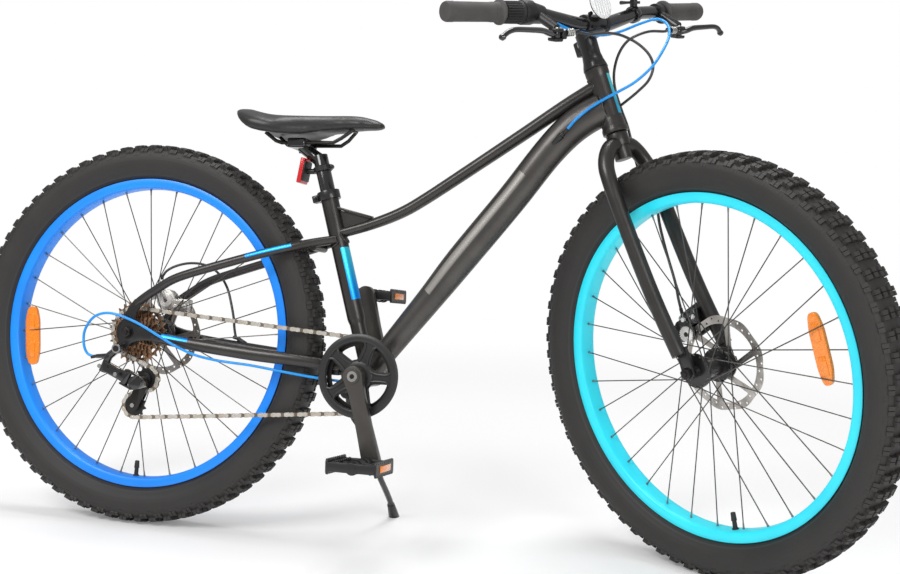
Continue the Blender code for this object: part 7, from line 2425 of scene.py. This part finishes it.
@dataclass
class Studio:
    """Camera, soft lights, white surroundings and a pale floor that keeps the shadow."""

    eye: Point = (0.69566, -2.12462, 0.6906)
    right: Point = (0.95964, 0.28085, 0.01458)
    up: Point = (-0.0439, 0.09837, 0.99418)
    lens: float = 50.068

    def build(self) -> None:
        """Set up the studio."""
        self.camera()
        self.lights()
        self.floor()
        bpy.context.scene.view_settings.view_transform = "Standard"

    def camera(self) -> None:
        """The camera at the photograph's place and angle."""
        data = bpy.data.cameras.new("camera")
        data.lens = self.lens
        data.sensor_width = 36.0
        camera = linked("camera", data)
        right, up = Vector(self.right), Vector(self.up)
        turn = Matrix((right, up, right.cross(up))).transposed().to_4x4()
        camera.matrix_world = Matrix.Translation(self.eye) @ turn
        bpy.context.scene.camera = camera

    def lights(self) -> None:
        """Three large soft lamps and a white world that the camera and mirrors see at full strength."""
        for name, place, size, power in (
            ("key", (-1.4, -2.4, 3), 1.6, 72), ("fill", (2.6, -2.6, 1.6), 1.6, 40),
            ("top", (0, 0.5, 3.2), 1.4, 50),
        ):
            data = bpy.data.lights.new(name, "AREA")
            data.shape = "SQUARE"
            data.size = size
            data.energy = power
            lamp = linked(name, data)
            away = (Vector(place) - Vector((0, 0, 0.4))).normalized()
            lamp.matrix_world = facing(away, place)
        world = bpy.data.worlds.new("studio")
        bpy.context.scene.world = world
        world.use_nodes = True
        tree = world.node_tree
        background = tree.nodes["Background"]
        background.inputs["Color"].default_value = (1, 1, 1, 1)
        path = tree.nodes.new("ShaderNodeLightPath")
        strength = tree.nodes.new("ShaderNodeMapRange")
        strength.inputs["To Min"].default_value = 0.45
        strength.inputs["To Max"].default_value = 1.0
        tree.links.new(path.outputs["Is Camera Ray"], strength.inputs["Value"])
        tree.links.new(strength.outputs[0], background.inputs["Strength"])

    def floor(self) -> None:
        """The floor: pale with the bike's soft shadow near it, plain white further out."""
        sheet = NodeSheet("studio floor")
        place = sheet.place()
        sheet.shade(base_color=(0.93, 0.925, 0.925), roughness=0.75)
        away = sheet.vectors("LENGTH", place, (0, 0, 0), "Value")
        glow = sheet.node("ShaderNodeEmission", {}, {"Color": (1, 1, 1), "Strength": 1.0})
        seen = sheet.node("ShaderNodeLightPath", output="Is Camera Ray")
        factor = (away.step(0.9, 2.4) * 0.85 + 0.15) * seen
        inputs = {0: factor, 1: Wire(sheet, sheet.shader.outputs[0]), 2: glow}
        mixed = sheet.node("ShaderNodeMixShader", {}, inputs)
        sheet.join(sheet.tree.nodes["Material Output"].inputs["Surface"], mixed)
        bm = bmesh.new()
        bmesh.ops.create_grid(bm, x_segments=1, y_segments=1, size=40.0)
        mesh = bpy.data.meshes.new("floor")
        bm.to_mesh(mesh)
        bm.free()
        mesh.materials.append(sheet.material)
        linked("floor", mesh)


def main() -> None:
    """Build the studio and every part of the bike."""
    logging.basicConfig(level=logging.INFO, format="%(name)s: %(message)s")
    Studio().build()
    for wheel in wheels():
        wheel.build()
    Drivetrain(ChainLine()).build()
    FrameSet().build()
    Fork().build()
    Cockpit().build()
    Brakes().build()
    SideStand().build()
    clamp = up_seat_tube(SEAT_TUBE_LENGTH + 0.071 + 0.0295, 0.029)
    Seat(clamp).build()
    Cables().build()


if __name__ == "__main__":
    main()
